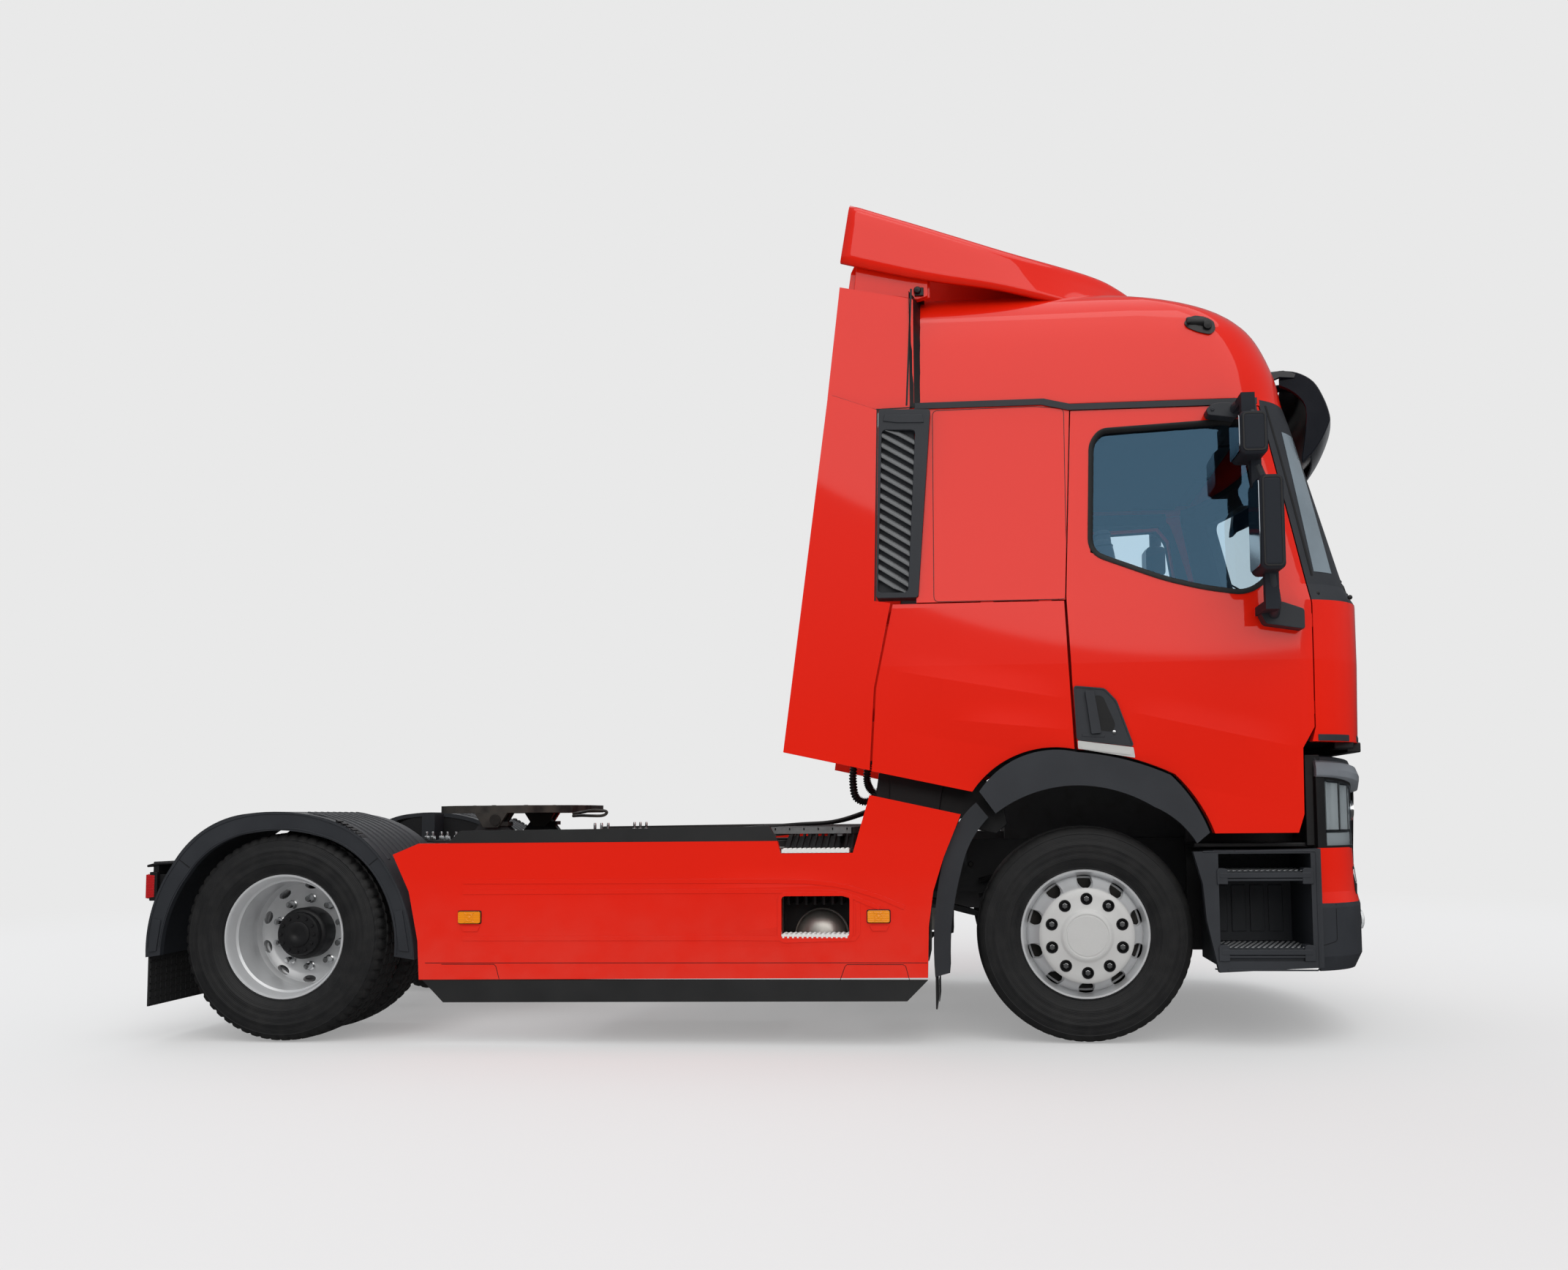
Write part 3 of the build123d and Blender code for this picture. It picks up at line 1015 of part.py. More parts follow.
def deflector_solid(inset):
    """Roof deflector's outer form, or its inside."""
    faces = []
    for x, low, high, top in DEFLECTOR_SECTIONS:
        wide, narrow = CAB_UPPER_HALF_WIDTH - low - inset, CAB_UPPER_HALF_WIDTH - high - inset
        level = ROOF_Z + top - inset
        half = [(wide, DEFLECTOR_BASE_Z), (narrow, level - 60), (narrow - 70, level)]
        points = half + [(-y, z) for y, z in reversed(half)]
        faces.append(outline(points, "yz", CAB_REAR_X + x))
    return loft(faces, ruled=True)


def roof_deflector():
    """Raised air deflector on the roof, open at the back."""
    x, z = CAB_REAR_X, ROOF_Z
    side = [(x - 334, z + 80), (x + 18, z - 26), (x + 123, z - 12), (x + 894, z - 140), (x + 1240, z - 240),
            (x + 1240, z + 600), (x - 250, z + 600)]
    inside = [(x - 500, z + 110), (x - 334, z + 106), (x + 18, z + 2), (x + 123, z + 16), (x + 894, z - 112),
              (x + 1240, z - 212), (x + 1240, z + 600), (x - 500, z + 600)]
    body = deflector_solid(0.0) & side_plate(side, (-BIG, BIG))
    hollow = deflector_solid(DEFLECTOR_WALL) & side_plate(inside, (-BIG, BIG))
    foot = [(x - 290, z - 50), (x + 18, z - 110), (x + 650, z - 110), (x + 650, z + 400), (x - 230, z + 400)]
    inner_y = CAB_UPPER_HALF_WIDTH - 60
    wall = deflector_solid(DEFLECTOR_WALL / 2) & pair(side_plate(foot, (-inner_y, 30 - inner_y)))
    return (body - hollow) + wall - OUTER


# Section of the visor: x from FRONT_X, z from ROOF_SEAM_Z.
VISOR = [(-310, 240), (-225, 220), (-150, 165), (-80, -10), (-85, -50), (-170, -195), (-178, -191),
         (-95, -45),
         (-92, -13), (-158, 158), (-230, 210), (-310, 228)]
VISOR_CHEEK = [(-310, 240), (-225, 220), (-150, 165), (-80, -10), (-85, -50), (-170, -195), (-215, -225), (-190, 40),
               (-310, 165)]
VISOR_SWING = 17.0
VISOR_CHEEK_SWING = 0.6


def sun_visor():
    """Bowed visor above the windscreen."""
    face = outline([(FRONT_X + x, ROOF_SEAM_Z + z) for x, z in VISOR], "xz", 0.0)
    axis = Axis((FRONT_X - FRONT_ARC_R, 0, 0), (0, 0, 1))
    visor = revolve(face, axis, VISOR_SWING) + revolve(face, axis, -VISOR_SWING)
    cheek = outline([(FRONT_X + x, ROOF_SEAM_Z + z) for x, z in VISOR_CHEEK], "xz", 0.0)
    for way in (-1, 1):
        inner_end = cheek.rotate(axis, way * (VISOR_SWING - VISOR_CHEEK_SWING))
        visor += revolve(inner_end, axis, way * VISOR_CHEEK_SWING)
    for y in (-650, 0, 650):
        back = FRONT_ARC_R - math.sqrt(FRONT_ARC_R ** 2 - y ** 2)
        bracket = [(-520, 115), (-520, 220), (-300, 232), (-240, 215), (-240, 175)]
        visor += side_plate([(FRONT_X + x - back, ROOF_SEAM_Z + z) for x, z in bracket], (y - 10, y + 10))
    return visor - OUTER


DASH = [(-500, 540), (-440, 680), (-200, 680), (-140, 340), (-300, 80 + SEAT), (-380, 80 + SEAT), (-440, 340)]
SEAT_X = FRONT_X - 1000.0
SEAT_Z = FLOOR_Z + 340.0


def dashboard():
    """Dashboard with the hole for the steering column."""
    dash = side_plate([(FRONT_X + x, FLOOR_Z + z) for x, z in DASH],
                      (25 - CAB_HALF_WIDTH, CAB_HALF_WIDTH - 25))
    dash &= cab_solid(WALL + GAP)
    wheel_place = Pos(*STEERING_WHEEL_AT) * Rot(0, -STEERING_TILT, 0)
    hole = Pos(0, 0, -COLUMN_LENGTH / 2 - 10) * Cylinder(COLUMN_R + SEAT, COLUMN_LENGTH + 20)
    return dash - wheel_place * hole


def seats():
    """Two seats on their pedestals."""
    shapes = []
    for y in (-STEERING_WHEEL_AT[1], STEERING_WHEEL_AT[1]):
        seat = block((SEAT_X - 250, SEAT_X + 250), (y - 250, y + 250), (SEAT_Z, SEAT_Z + 130))
        seat += block((SEAT_X - 320, SEAT_X - 210), (y - 240, y + 240), (SEAT_Z, SEAT_Z + 780))
        seat += block((SEAT_X - 150, SEAT_X + 150), (y - 160, y + 160), (FLOOR_Z + SEAT, SEAT_Z))
        shapes.append(seat)
    return group(*shapes)


def bunk():
    """Bed across the back of the cab."""
    half = CAB_UPPER_HALF_WIDTH - 100
    x = CAB_REAR_X + WALL + 20
    return block((x, x + 580), (-half, half), (FLOOR_Z + SEAT, FLOOR_Z + 540))


def steering_wheel():
    """Rim, spokes and column end, in front of the left seat."""
    ring = Torus(220, 15)
    spokes = Box(430, 40, 12) + Box(40, 430, 12) + Cylinder(60, 30)
    column = Pos(0, 0, -COLUMN_LENGTH / 2) * Cylinder(COLUMN_R, COLUMN_LENGTH)
    wheel = ring + spokes + column
    return Pos(*STEERING_WHEEL_AT) * Rot(0, -STEERING_TILT, 0) * wheel


def main():
    os.makedirs("parts", exist_ok=True)
    save("frame_rails", frame_rails())
    save("crossmembers", group(crossmembers(), tilt_brackets()))
    save("front_axle", front_axle())
    save("suspension", suspension())
    save("rear_axle", rear_axle())
    save("powertrain", powertrain())
    save("tanks", tanks())
    save("skirts", skirts())
    save("side_trims", side_trims())
    save("walkway", walkway())
    save("rear_fenders", rear_fenders())
    save("mudflaps", mudflaps())
    save("front_mudguards", front_mudguards())
    save("tail_lamps", tail_lamps())
    save("fifth_wheel_base", fifth_wheel_base())
    save("fifth_wheel_plate", fifth_wheel_plate())
    save("bumper", bumper())
    save("corner_panels", corner_panels())
    save("headlights", headlights())
    save("headlight_brows", headlight_brows())
    save("steps", steps())
    save("cab_back_wall", cab_back_wall())
    save("cab_sides", cab_sides())
    save("windscreen_surround", windscreen_surround())
    save("windscreen", windscreen())
    save("front_panel", front_panel())
    save("service_flap", service_flap())
    save("cab_roof", cab_roof())
    save("cab_floor", cab_floor())
    save("cab_side_trims", cab_side_trims())
    save("rear_grilles", rear_grilles())
    save("side_deflectors", side_deflectors())
    save("roof_deflector", roof_deflector())
    save("sun_visor", sun_visor())
    save("dashboard", dashboard())
    save("seats", seats())
    save("bunk", bunk())
    save("steering_wheel", steering_wheel())
    save("tie_rod", tie_rod())
    outer_y = -REAR_OUTER_TRACK / 2
    on_right = {
        "door": door(),
        "door_window": door_window(),
        "locker_lid": locker_lid(),
        "knuckle": knuckle(),
        "front_tyre": turned(tyre(-FRONT_TRACK / 2), FRONT_AXLE_X, WHEEL_Z),
        "front_wheel": front_wheel(),
        "rear_tyres": group(turned(tyre(outer_y), REAR_AXLE_X, WHEEL_Z),
                            turned(tyre(outer_y + TWIN_SPACING), REAR_AXLE_X, WHEEL_Z)),
        "rear_wheel": rear_wheel(),
    }
    for name, shape in on_right.items():
        save(f"{name}_right", shape)
        save(f"{name}_left", mirrored(shape))


if __name__ == "__main__":
    main()
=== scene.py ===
"""Road tractor with a high-roof sleeper cab: finishes, detail pieces and stage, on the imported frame."""

from math import acos, asin, atan2, copysign, cos, dist, hypot, pi, radians, sin, sqrt

import bmesh
import bpy
from bpy.props import FloatProperty, FloatVectorProperty, IntProperty, PointerProperty
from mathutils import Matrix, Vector
from mathutils.bvhtree import BVHTree


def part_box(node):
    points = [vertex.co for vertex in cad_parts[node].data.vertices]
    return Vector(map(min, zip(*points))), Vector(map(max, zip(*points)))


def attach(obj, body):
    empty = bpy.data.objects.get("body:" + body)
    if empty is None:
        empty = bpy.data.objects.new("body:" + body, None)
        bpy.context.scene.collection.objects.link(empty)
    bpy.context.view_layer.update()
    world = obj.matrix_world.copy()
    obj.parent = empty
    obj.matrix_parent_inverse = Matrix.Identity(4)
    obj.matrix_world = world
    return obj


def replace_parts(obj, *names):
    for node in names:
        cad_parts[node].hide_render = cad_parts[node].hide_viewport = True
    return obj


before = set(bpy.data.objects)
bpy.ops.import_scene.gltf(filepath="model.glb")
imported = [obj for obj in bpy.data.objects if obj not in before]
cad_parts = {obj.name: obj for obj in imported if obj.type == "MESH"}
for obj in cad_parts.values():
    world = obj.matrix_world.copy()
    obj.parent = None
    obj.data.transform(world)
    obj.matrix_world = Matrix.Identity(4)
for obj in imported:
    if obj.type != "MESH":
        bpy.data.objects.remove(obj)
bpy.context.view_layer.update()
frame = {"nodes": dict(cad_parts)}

bl_info = {
    "name": "Road tractor looks",
    "version": (1, 0, 0),
    "blender": (4, 5, 0),
    "location": "View3D > Sidebar > Road tractor",
    "description": "Builds the finishes and detail pieces of a road tractor on its packed frame",
    "category": "Object",
}

MM = 0.001
IMAGE_SIZE = (2144, 1736)
SIDES = (("right", -1), ("left", 1))
EVEN = (1.0, 1.0, 1.0)


# ---- Measures, in millimetres ----
FRONT_AXLE = (1540.0, 500.0)
REAR_AXLE = (-2280.0, 500.0)
FRONT_WHEEL_Y = 1000.0
REAR_OUTER_Y = 1090.0
REAR_INNER_Y = 750.0
DOOR_WINDOW = [(1609, 2789), (1653, 2848), (2254, 2875), (2315, 2800), (2420, 2150), (2304, 2061),
    (2104, 2093), (1926, 2140), (1592, 2269)]
DOOR_CREASE = [((1734, 1527), (2521, 1344))]
LOCKER_CREASES = [((660, 1732), (1488, 1582)), ((891, 1501), (1504, 1440))]
SKIRT_CREASES = [((-300, 722), (470, 735)), ((-60, 520), (500, 600))]


# ---- Shader expressions ----
# Pressed creases, in metres: depth, fall above the line, fade at the ends.
CREASE_DEPTH, CREASE_FALL, CREASE_FADE = 0.016, 0.11, 0.25
ROAD_DUST, GRIME = (0.42, 0.30, 0.24), (0.09, 0.08, 0.07)


class Signal:
    """A value that changes over a surface, for use in plain arithmetic."""

    def __init__(self, finish, socket):
        self.finish, self.socket = finish, socket

    def maths(self, operation, *values, clamp=False):
        return self.finish.node("Math", {"operation": operation, "use_clamp": clamp}, values)

    def __add__(self, other):
        return self.maths("ADD", self, other)

    __radd__ = __add__

    def __sub__(self, other):
        return self.maths("SUBTRACT", self, other)

    def __rsub__(self, other):
        return self.maths("SUBTRACT", other, self)

    def __mul__(self, other):
        return self.maths("MULTIPLY", self, other)

    __rmul__ = __mul__

    def __truediv__(self, other):
        return self.maths("DIVIDE", self, other)

    def __neg__(self):
        return self * -1.0

    def __abs__(self):
        return self.maths("ABSOLUTE", self)

    def __gt__(self, other):
        return self.maths("GREATER_THAN", self, other)

    def held(self):
        """The same value kept between 0 and 1."""
        return self.maths("ADD", self, 0.0, clamp=True)

    def wave(self):
        return self.maths("SINE", self)

    def root(self):
        return self.maths("SQRT", self)


class Finish:
    """One material and the nodes that it is made of."""

    def __init__(self, name):
        self.material = bpy.data.materials.new(name)
        self.material.use_nodes = True
        self.tree = self.material.node_tree
        self.tree.nodes.clear()
        self.place = self.node("TexCoord", output="Object")
        self.x, self.y, self.z = (self.node("SeparateXYZ", {}, [self.place], axis) for axis in "XYZ")

    def node(self, kind, settings=None, inputs=(), output=0):
        """A shader node of a kind, its settings set first, then its sockets' values or links."""
        made = self.tree.nodes.new("ShaderNode" + kind)
        for key, value in (settings or {}).items():
            setattr(made, key, value)
        pairs = inputs.items() if isinstance(inputs, dict) else enumerate(inputs)
        for key, value in pairs:
            if isinstance(value, Signal):
                self.tree.links.new(value.socket, made.inputs[key])
            else:
                made.inputs[key].default_value = value
        return Signal(self, made.outputs[output])

    def texture(self, kind, stretch, **settings):
        place = self.node("VectorMath", {"operation": "MULTIPLY"}, [self.place, stretch])
        return self.node(kind, {}, {"Vector": place, **settings})

    def noise(self, scale, detail=3.0, stretch=EVEN):
        return self.texture("TexNoise", stretch, Scale=scale, Detail=detail)

    def cells(self, scale):
        return self.texture("TexVoronoi", EVEN, Scale=scale)

    def blend(self, share, low, high):
        """The colour low where share is 0 and high where it is 1."""
        inputs = {6: low if isinstance(low, Signal) else (*low, 1.0),
            7: high if isinstance(high, Signal) else (*high, 1.0), 0: share}
        return self.node("Mix", {"data_type": "RGBA"}, inputs, 2)

    def crease(self, line):
        """Height of a pressed crease: full below the line, falling off softly above it."""
        (x1, z1), (x2, z2) = ((x * MM, z * MM) for x, z in line)
        length = hypot(x2 - x1, z2 - z1)
        run, rise = (x2 - x1) / length, (z2 - z1) / length
        above = (self.z - z1) * run - (self.x - x1) * rise
        along = (self.x - x1) * run + (self.z - z1) * rise
        ends = (along / CREASE_FADE).held() * ((length - along) / CREASE_FADE).held()
        fall = 1.0 - (above / CREASE_FALL).held()
        below = 1.0 - (-above / (2.5 * CREASE_FALL)).held()
        return fall * fall * below * ends * CREASE_DEPTH

    def surface(self, colour, height, **sockets):
        """Ends the material with one shader; height is in metres."""
        bump = self.node("Bump", {}, {"Strength": 1.0, "Distance": 1.0, "Height": height})
        values = {"Base Color": colour, "Normal": bump}
        for key, value in sockets.items():
            values[key.replace("_", " ").title().replace("Ior", "IOR")] = value
        return self.end(self.node("BsdfPrincipled", {}, values, "BSDF"))

    def end(self, shader):
        output = self.tree.nodes.new("ShaderNodeOutputMaterial")
        self.tree.links.new(shader.socket, output.inputs["Surface"])
        return self.material


FINISHES = {}


def tinted(colour, share, lift=0.0):
    return tuple(c * share + lift for c in colour)


def red_paint(name, colour, creases=(), plastic_beyond=None, plastic=None):
    """Gloss paint under clear coat, with pressed creases and, past a width, moulded plastic."""
    made = Finish(name)
    cloud = made.noise(1.3, 2.0)
    shade = made.blend(cloud, tinted(colour, 0.97), tuple(min(1.0, c) for c in tinted(colour, 1.03)))
    peel = made.noise(220.0, 2.0) * 0.00001
    for line in creases:
        peel = peel + made.crease(line)
    dust = (1.0 - (made.z - 0.3) / 0.5).held() * made.noise(9.0) * 0.12
    shade = made.blend(dust, shade, ROAD_DUST)
    rough = 0.34 + dust * 0.8
    coat = 0.75 - dust * 1.5
    if plastic_beyond:
        out = abs(made.y) > plastic_beyond * MM
        grain = made.cells(900.0) * 0.00006
        shade = made.blend(out, shade, plastic)
        rough = rough + out * 0.2
        coat = coat * (1.0 - out)
        peel = peel + grain * out
    return made.surface(shade, peel, roughness=rough, coat_weight=coat, coat_roughness=0.04,
        specular_ior_level=0.08)


def moulded_plastic(name, colour, grain=0.00007, rough=0.5, scale=700.0):
    """Grained plastic with a faint bloom and dust."""
    made = Finish(name)
    bloom = made.noise(5.0, 4.0)
    shade = made.blend((bloom - 0.35) * 0.9, colour, tinted(colour, 1.5, 0.006))
    return made.surface(shade, made.cells(scale) * grain, roughness=rough + bloom * 0.12,
        specular_ior_level=0.45)


def bare_metal(name, colour, rough, brushed, grime, metallic):
    """Metal with faint brushing and patches of grime."""
    made = Finish(name)
    lines = made.noise(260.0, 2.0, brushed)
    spots = (made.noise(14.0, 5.0) - 0.45).held() * grime
    shade = made.blend(spots * 2.0, made.blend(lines, tinted(colour, 0.92), colour), GRIME)
    return made.surface(shade, lines * 0.00002, roughness=rough + spots + lines * 0.06, metallic=metallic)


def tyre_rubber(name):
    """Black rubber with moulded rings on the sidewall and a little road dust."""
    made = Finish(name)
    radius = (made.x * made.x + made.z * made.z).root()
    rings = (radius * 900.0).wave()
    wide = (radius * 215.0).wave()
    side = ((0.475 - radius) / 0.01).held()
    dust = made.noise(18.0, 4.0)
    shade = made.blend((dust - 0.4).held() * 0.7 + (1.0 - side) * 0.10,
        (0.0075, 0.0078, 0.0085), (0.035, 0.033, 0.031))
    shade = made.blend((rings * 0.5 + 0.5) * side * 0.25, shade, (0.018, 0.018, 0.02))
    height = (rings * 0.00025 + wide * 0.0005) * side + made.noise(300.0) * 0.00005
    return made.surface(shade, height, roughness=0.52 + dust * 0.2, specular_ior_level=0.4)


def greased_steel(name):
    made = Finish(name)
    smear = made.noise(7.0, 6.0, (1.0, 2.5, 1.0))
    shade = made.blend((smear * 3.0 - 1.1).held(), (0.006, 0.006, 0.006), (0.07, 0.062, 0.052))
    return made.surface(shade, smear * 0.0008 + made.noise(90.0) * 0.0002, roughness=0.22 + smear * 0.5,
        metallic=(smear * 3.0 - 1.6).held() * 0.7)


def clear_glass(name, tint, haze, share, sky):
    """Thin pane: what is behind shows through a tint, and the outer face mirrors the sky."""
    made = Finish(name)
    pane = made.node("BsdfTransparent", {}, {"Color": (*tint, 1.0)})
    shine = made.node("BsdfGlossy", {}, {"Color": (*sky, 1.0), "Roughness": haze})
    edge = made.node("Fresnel", {}, {"IOR": 1.5})
    outer = 1.0 - made.node("NewGeometry", {}, {}, "Backfacing")
    return made.end(made.node("MixShader", {}, [(edge + share) * outer, pane, shine]))


LENS_PITCH, LENS_RIBS = 0.008, 0.0006


def lens_plastic(name, colour, glow):
    """Coloured lamp lens with moulded ribs inside."""
    made = Finish(name)
    stripes = (made.z * (2 * pi / LENS_PITCH)).wave() * 0.5 + 0.5
    shade = made.blend(stripes * 0.35, colour, tinted(colour, 0.45))
    return made.surface(shade, stripes * LENS_RIBS, roughness=0.18, coat_weight=1.0, coat_roughness=0.03,
        emission_color=(*colour, 1.0), emission_strength=glow)


def woven_cloth(name, colour, accent):
    made = Finish(name)
    warp = (made.x * 2600.0).wave() * (made.z * 2600.0 + made.y * 2600.0).wave()
    shade = made.blend(warp * 0.5 + 0.5, colour, accent)
    return made.surface(shade, warp * 0.0002 + made.noise(60.0) * 0.0004, roughness=0.9, sheen_weight=0.3)


def grating_metal(name):
    made = Finish(name)
    spots = made.noise(30.0, 4.0)
    shade = made.blend((spots - 0.3) * 1.2, (0.24, 0.245, 0.25), (0.08, 0.08, 0.078))
    return made.surface(shade, spots * 0.0002, roughness=0.42 + spots * 0.2, metallic=0.7)


# ---- Mesh making ----
SAME_PLACE = 1e-6
BEVEL_STEPS, BEVEL_FROM = 2, radians(30)
CUT_SHARP_FROM = radians(32)


def placed(name, data):
    """A new object of some data, in the scene."""
    made = bpy.data.objects.new(name, data)
    bpy.context.scene.collection.objects.link(made)
    return made


class Form:
    """Points and faces, in millimetres, that become one piece."""

    def __init__(self):
        self.points, self.faces = [], []

    def add(self, points, faces):
        start = len(self.points)
        self.points += [tuple(p) for p in points]
        self.faces += [tuple(start + i for i in face) for face in faces]
        return self

    def join(self, other):
        return self.add(other.points, other.faces)

    def shell(self, rings, closed=True, capped=True):
        """Skin through rings of the same number of points; closed joins each ring's ends."""
        count = len(rings[0])
        points = [p for ring in rings for p in ring]
        faces = []
        for k in range(len(rings) - 1):
            for i in range(count if closed else count - 1):
                j = (i + 1) % count
                faces.append((k * count + i, k * count + j, (k + 1) * count + j, (k + 1) * count + i))
        if capped:
            faces.append(tuple(reversed(range(count))))
            faces.append(tuple((len(rings) - 1) * count + i for i in range(count)))
        return self.add(points, faces)

    def prism(self, outline, span, axis="y"):
        """An outline drawn out along an axis: xz for y, yz for x, xy for z."""
        place = {"y": lambda a, b, c: (a, c, b), "x": lambda a, b, c: (c, a, b),
            "z": lambda a, b, c: (a, b, c)}[axis]
        return self.shell([[place(a, b, c) for a, b in outline] for c in span])

    def box(self, x, y, z):
        return self.prism(oblong(x, z), y)

    def row(self, count, step, x, y, z):
        """Equal boxes, each a step on from the last."""
        for k in range(count):
            self.box(*([value + k * move for value in span] for span, move in zip((x, y, z), step)))
        return self

    def turned(self, profile, centre, steps, axis="y", loop=True, bump=None):
        """A profile of (radius, way out) turned about an axis through centre."""
        rings = []
        for k in range(steps):
            angle = 2 * pi * k / steps
            ring = []
            for i, (radius, out) in enumerate(profile):
                r = radius + (bump(k, i) if bump else 0.0)
                a, b = r * cos(angle), r * sin(angle)
                shift = {"y": (a, out, b), "x": (out, a, b), "z": (a, b, out)}[axis]
                ring.append(tuple(c + s for c, s in zip(centre, shift)))
            rings.append(ring)
        count = len(profile)
        faces = []
        for k in range(steps):
            n = (k + 1) % steps
            for i in range(count if loop else count - 1):
                j = (i + 1) % count
                faces.append((k * count + i, k * count + j, n * count + j, n * count + i))
        return self.add([p for ring in rings for p in ring], faces)

    def tube(self, path, radius, sides, closed=False, pulse=None):
        """A round bar or hose along a path."""
        path = [Vector(p) for p in path]
        count = len(path)
        rings = []
        up = None
        for k, point in enumerate(path):
            ahead = path[(k + 1) % count] if closed or k + 1 < count else point
            behind = path[k - 1] if closed or k else point
            way = (ahead - behind).normalized()
            if up is None:
                up = way.orthogonal().normalized()
            up = (up - way * up.dot(way)).normalized()
            side = way.cross(up)
            r = radius * (pulse(k) if pulse else 1.0)
            rings.append([tuple(point + up * (r * cos(a)) + side * (r * sin(a))) for a in circle(sides)])
        if closed:
            rings.append(rings[0])
        return self.shell(rings, True, not closed)

    def mirrored(self):
        """The mirror image across the middle."""
        return Form().add([(x, -y, z) for x, y, z in self.points], [tuple(reversed(f)) for f in self.faces])

    def both_sides(self):
        """Adds the mirror image across the middle."""
        return self.join(self.mirrored())

    def on_side(self, way):
        """The form for the right (-1), or its mirror image for the left (1)."""
        return self if way < 0 else self.mirrored()

    def mesh(self, name, origin=(0.0, 0.0, 0.0)):
        """The form as a mesh in metres about an origin, its faces turned outwards."""
        made = bpy.data.meshes.new(name)
        shift = Vector(origin)
        made.from_pydata([tuple((Vector(p) - shift) * MM) for p in self.points], [], self.faces)
        tool = bmesh.new()
        tool.from_mesh(made)
        bmesh.ops.remove_doubles(tool, verts=tool.verts, dist=SAME_PLACE)
        bmesh.ops.recalc_face_normals(tool, faces=tool.faces)
        tool.to_mesh(made)
        tool.free()
        return made

    def piece(self, name, material, body="chassis", slot=None, bevel=0.0, angle=35.0, origin=(0.0, 0.0, 0.0)):
        """The finished object: smooth, with rounded edges, riding on its body."""
        mesh = self.mesh(name, origin)
        mesh.shade_smooth()
        mesh.set_sharp_from_angle(angle=radians(angle))
        mesh.materials.append(FINISHES[material])
        made = placed(name, mesh)
        made.location = Vector(origin) * MM
        if bevel:
            rounding = made.modifiers.new("Rounded edges", "BEVEL")
            rounding.width, rounding.segments, rounding.limit_method = bevel * MM, BEVEL_STEPS, "ANGLE"
            rounding.angle_limit, rounding.harden_normals = BEVEL_FROM, True
        bpy.context.view_layer.update()
        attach(made, body)
        return made

    def pair(self, *about, **more):
        """The form and its mirror image as one piece."""
        return self.both_sides().piece(*about, **more)


def rounded(points, radius, steps=5):
    """Outline with its corners rounded."""
    made = []
    count = len(points)
    for k, point in enumerate(points):
        here = Vector(point)
        before, after = Vector(points[k - 1]) - here, Vector(points[(k + 1) % count]) - here
        reach = min(radius, before.length * 0.45, after.length * 0.45)
        a, b = here + before.normalized() * reach, here + after.normalized() * reach
        for i in range(steps + 1):
            t = i / steps
            made.append(tuple(a * (1 - t) ** 2 + here * 2 * t * (1 - t) + b * t ** 2))
    return made


def oblong(x, z):
    return [(x[0], z[0]), (x[1], z[0]), (x[1], z[1]), (x[0], z[1])]


def grown(points, width):
    """Closed outline moved outwards by a width (inwards if negative)."""
    area = sum(points[k - 1][0] * p[1] - p[0] * points[k - 1][1] for k, p in enumerate(points))
    way = 1.0 if area > 0 else -1.0
    made = []
    for k, point in enumerate(points):
        before, after = Vector(points[k - 1]), Vector(points[(k + 1) % len(points)])
        run = (after - before).normalized()
        made.append((point[0] + way * run.y * width, point[1] - way * run.x * width))
    return made


# Way out past which a hit is the mirror, in millimetres.
MIRRORS_FROM = -1260.0
# Nearer the middle than these, in metres, a hit isn't the outer face.
NEAREST_SIDE, NEAREST_FRONT = -0.9, 2.4


class Face:
    """Faces of some nodes, for laying trim on them; first is where they lie until one is hit."""

    first = 0.0

    def __init__(self, *nodes):
        points, faces = [], []
        for node in nodes:
            mesh = frame["nodes"][node].data
            start = len(points)
            points += [v.co.copy() for v in mesh.vertices]
            faces += [tuple(start + i for i in p.vertices) for p in mesh.polygons]
        self.tree = BVHTree.FromPolygons(points, faces)
        self.last = self.first

    def hit(self, start, way):
        return self.tree.ray_cast(Vector(start), Vector(way))[0]


class Skin(Face):
    """Outer face on the right side."""

    first = -1.2

    def y(self, x, z):
        """Way out of the face at a length and a height, past the mirrors, or the last one found."""
        hit = self.hit((x * MM, -2.0, z * MM), (0, 1, 0))
        while hit is not None and hit.y < MIRRORS_FROM * MM:
            hit = self.hit((x * MM, hit.y + 0.001, z * MM), (0, 1, 0))
        if hit is not None and hit.y < NEAREST_SIDE:
            self.last = hit.y
        return self.last / MM

    def lay(self, form, outline, proud, sunk=3.0):
        """A plate of an outline lying on the face."""
        outer = [(x, self.y(x, z) - proud, z) for x, z in outline]
        inner = [(x, self.y(x, z) + sunk, z) for x, z in outline]
        return form.shell([inner, outer])

    def ribbon(self, form, path, width, proud, sunk=3.0, closed=False):
        """A strip along a path on the face."""
        count = len(path)
        sections = []
        for k, (x, z) in enumerate(path):
            a = Vector(path[k - 1]) if closed or k else Vector(path[0])
            b = Vector(path[(k + 1) % count]) if closed or k + 1 < count else Vector(path[-1])
            run = (b - a).normalized()
            out = (x - run.y * width / 2, z + run.x * width / 2)
            into = (x + run.y * width / 2, z - run.x * width / 2)
            sections.append([(out[0], self.y(*out) + sunk, out[1]), (out[0], self.y(*out) - proud, out[1]),
                (into[0], self.y(*into) - proud, into[1]), (into[0], self.y(*into) + sunk, into[1])])
        if closed:
            sections.append(sections[0])
        return form.shell(sections, True, not closed)


def between(a, b, steps):
    return [tuple(p + (q - p) * k / steps for p, q in zip(a, b)) for k in range(steps + 1)]


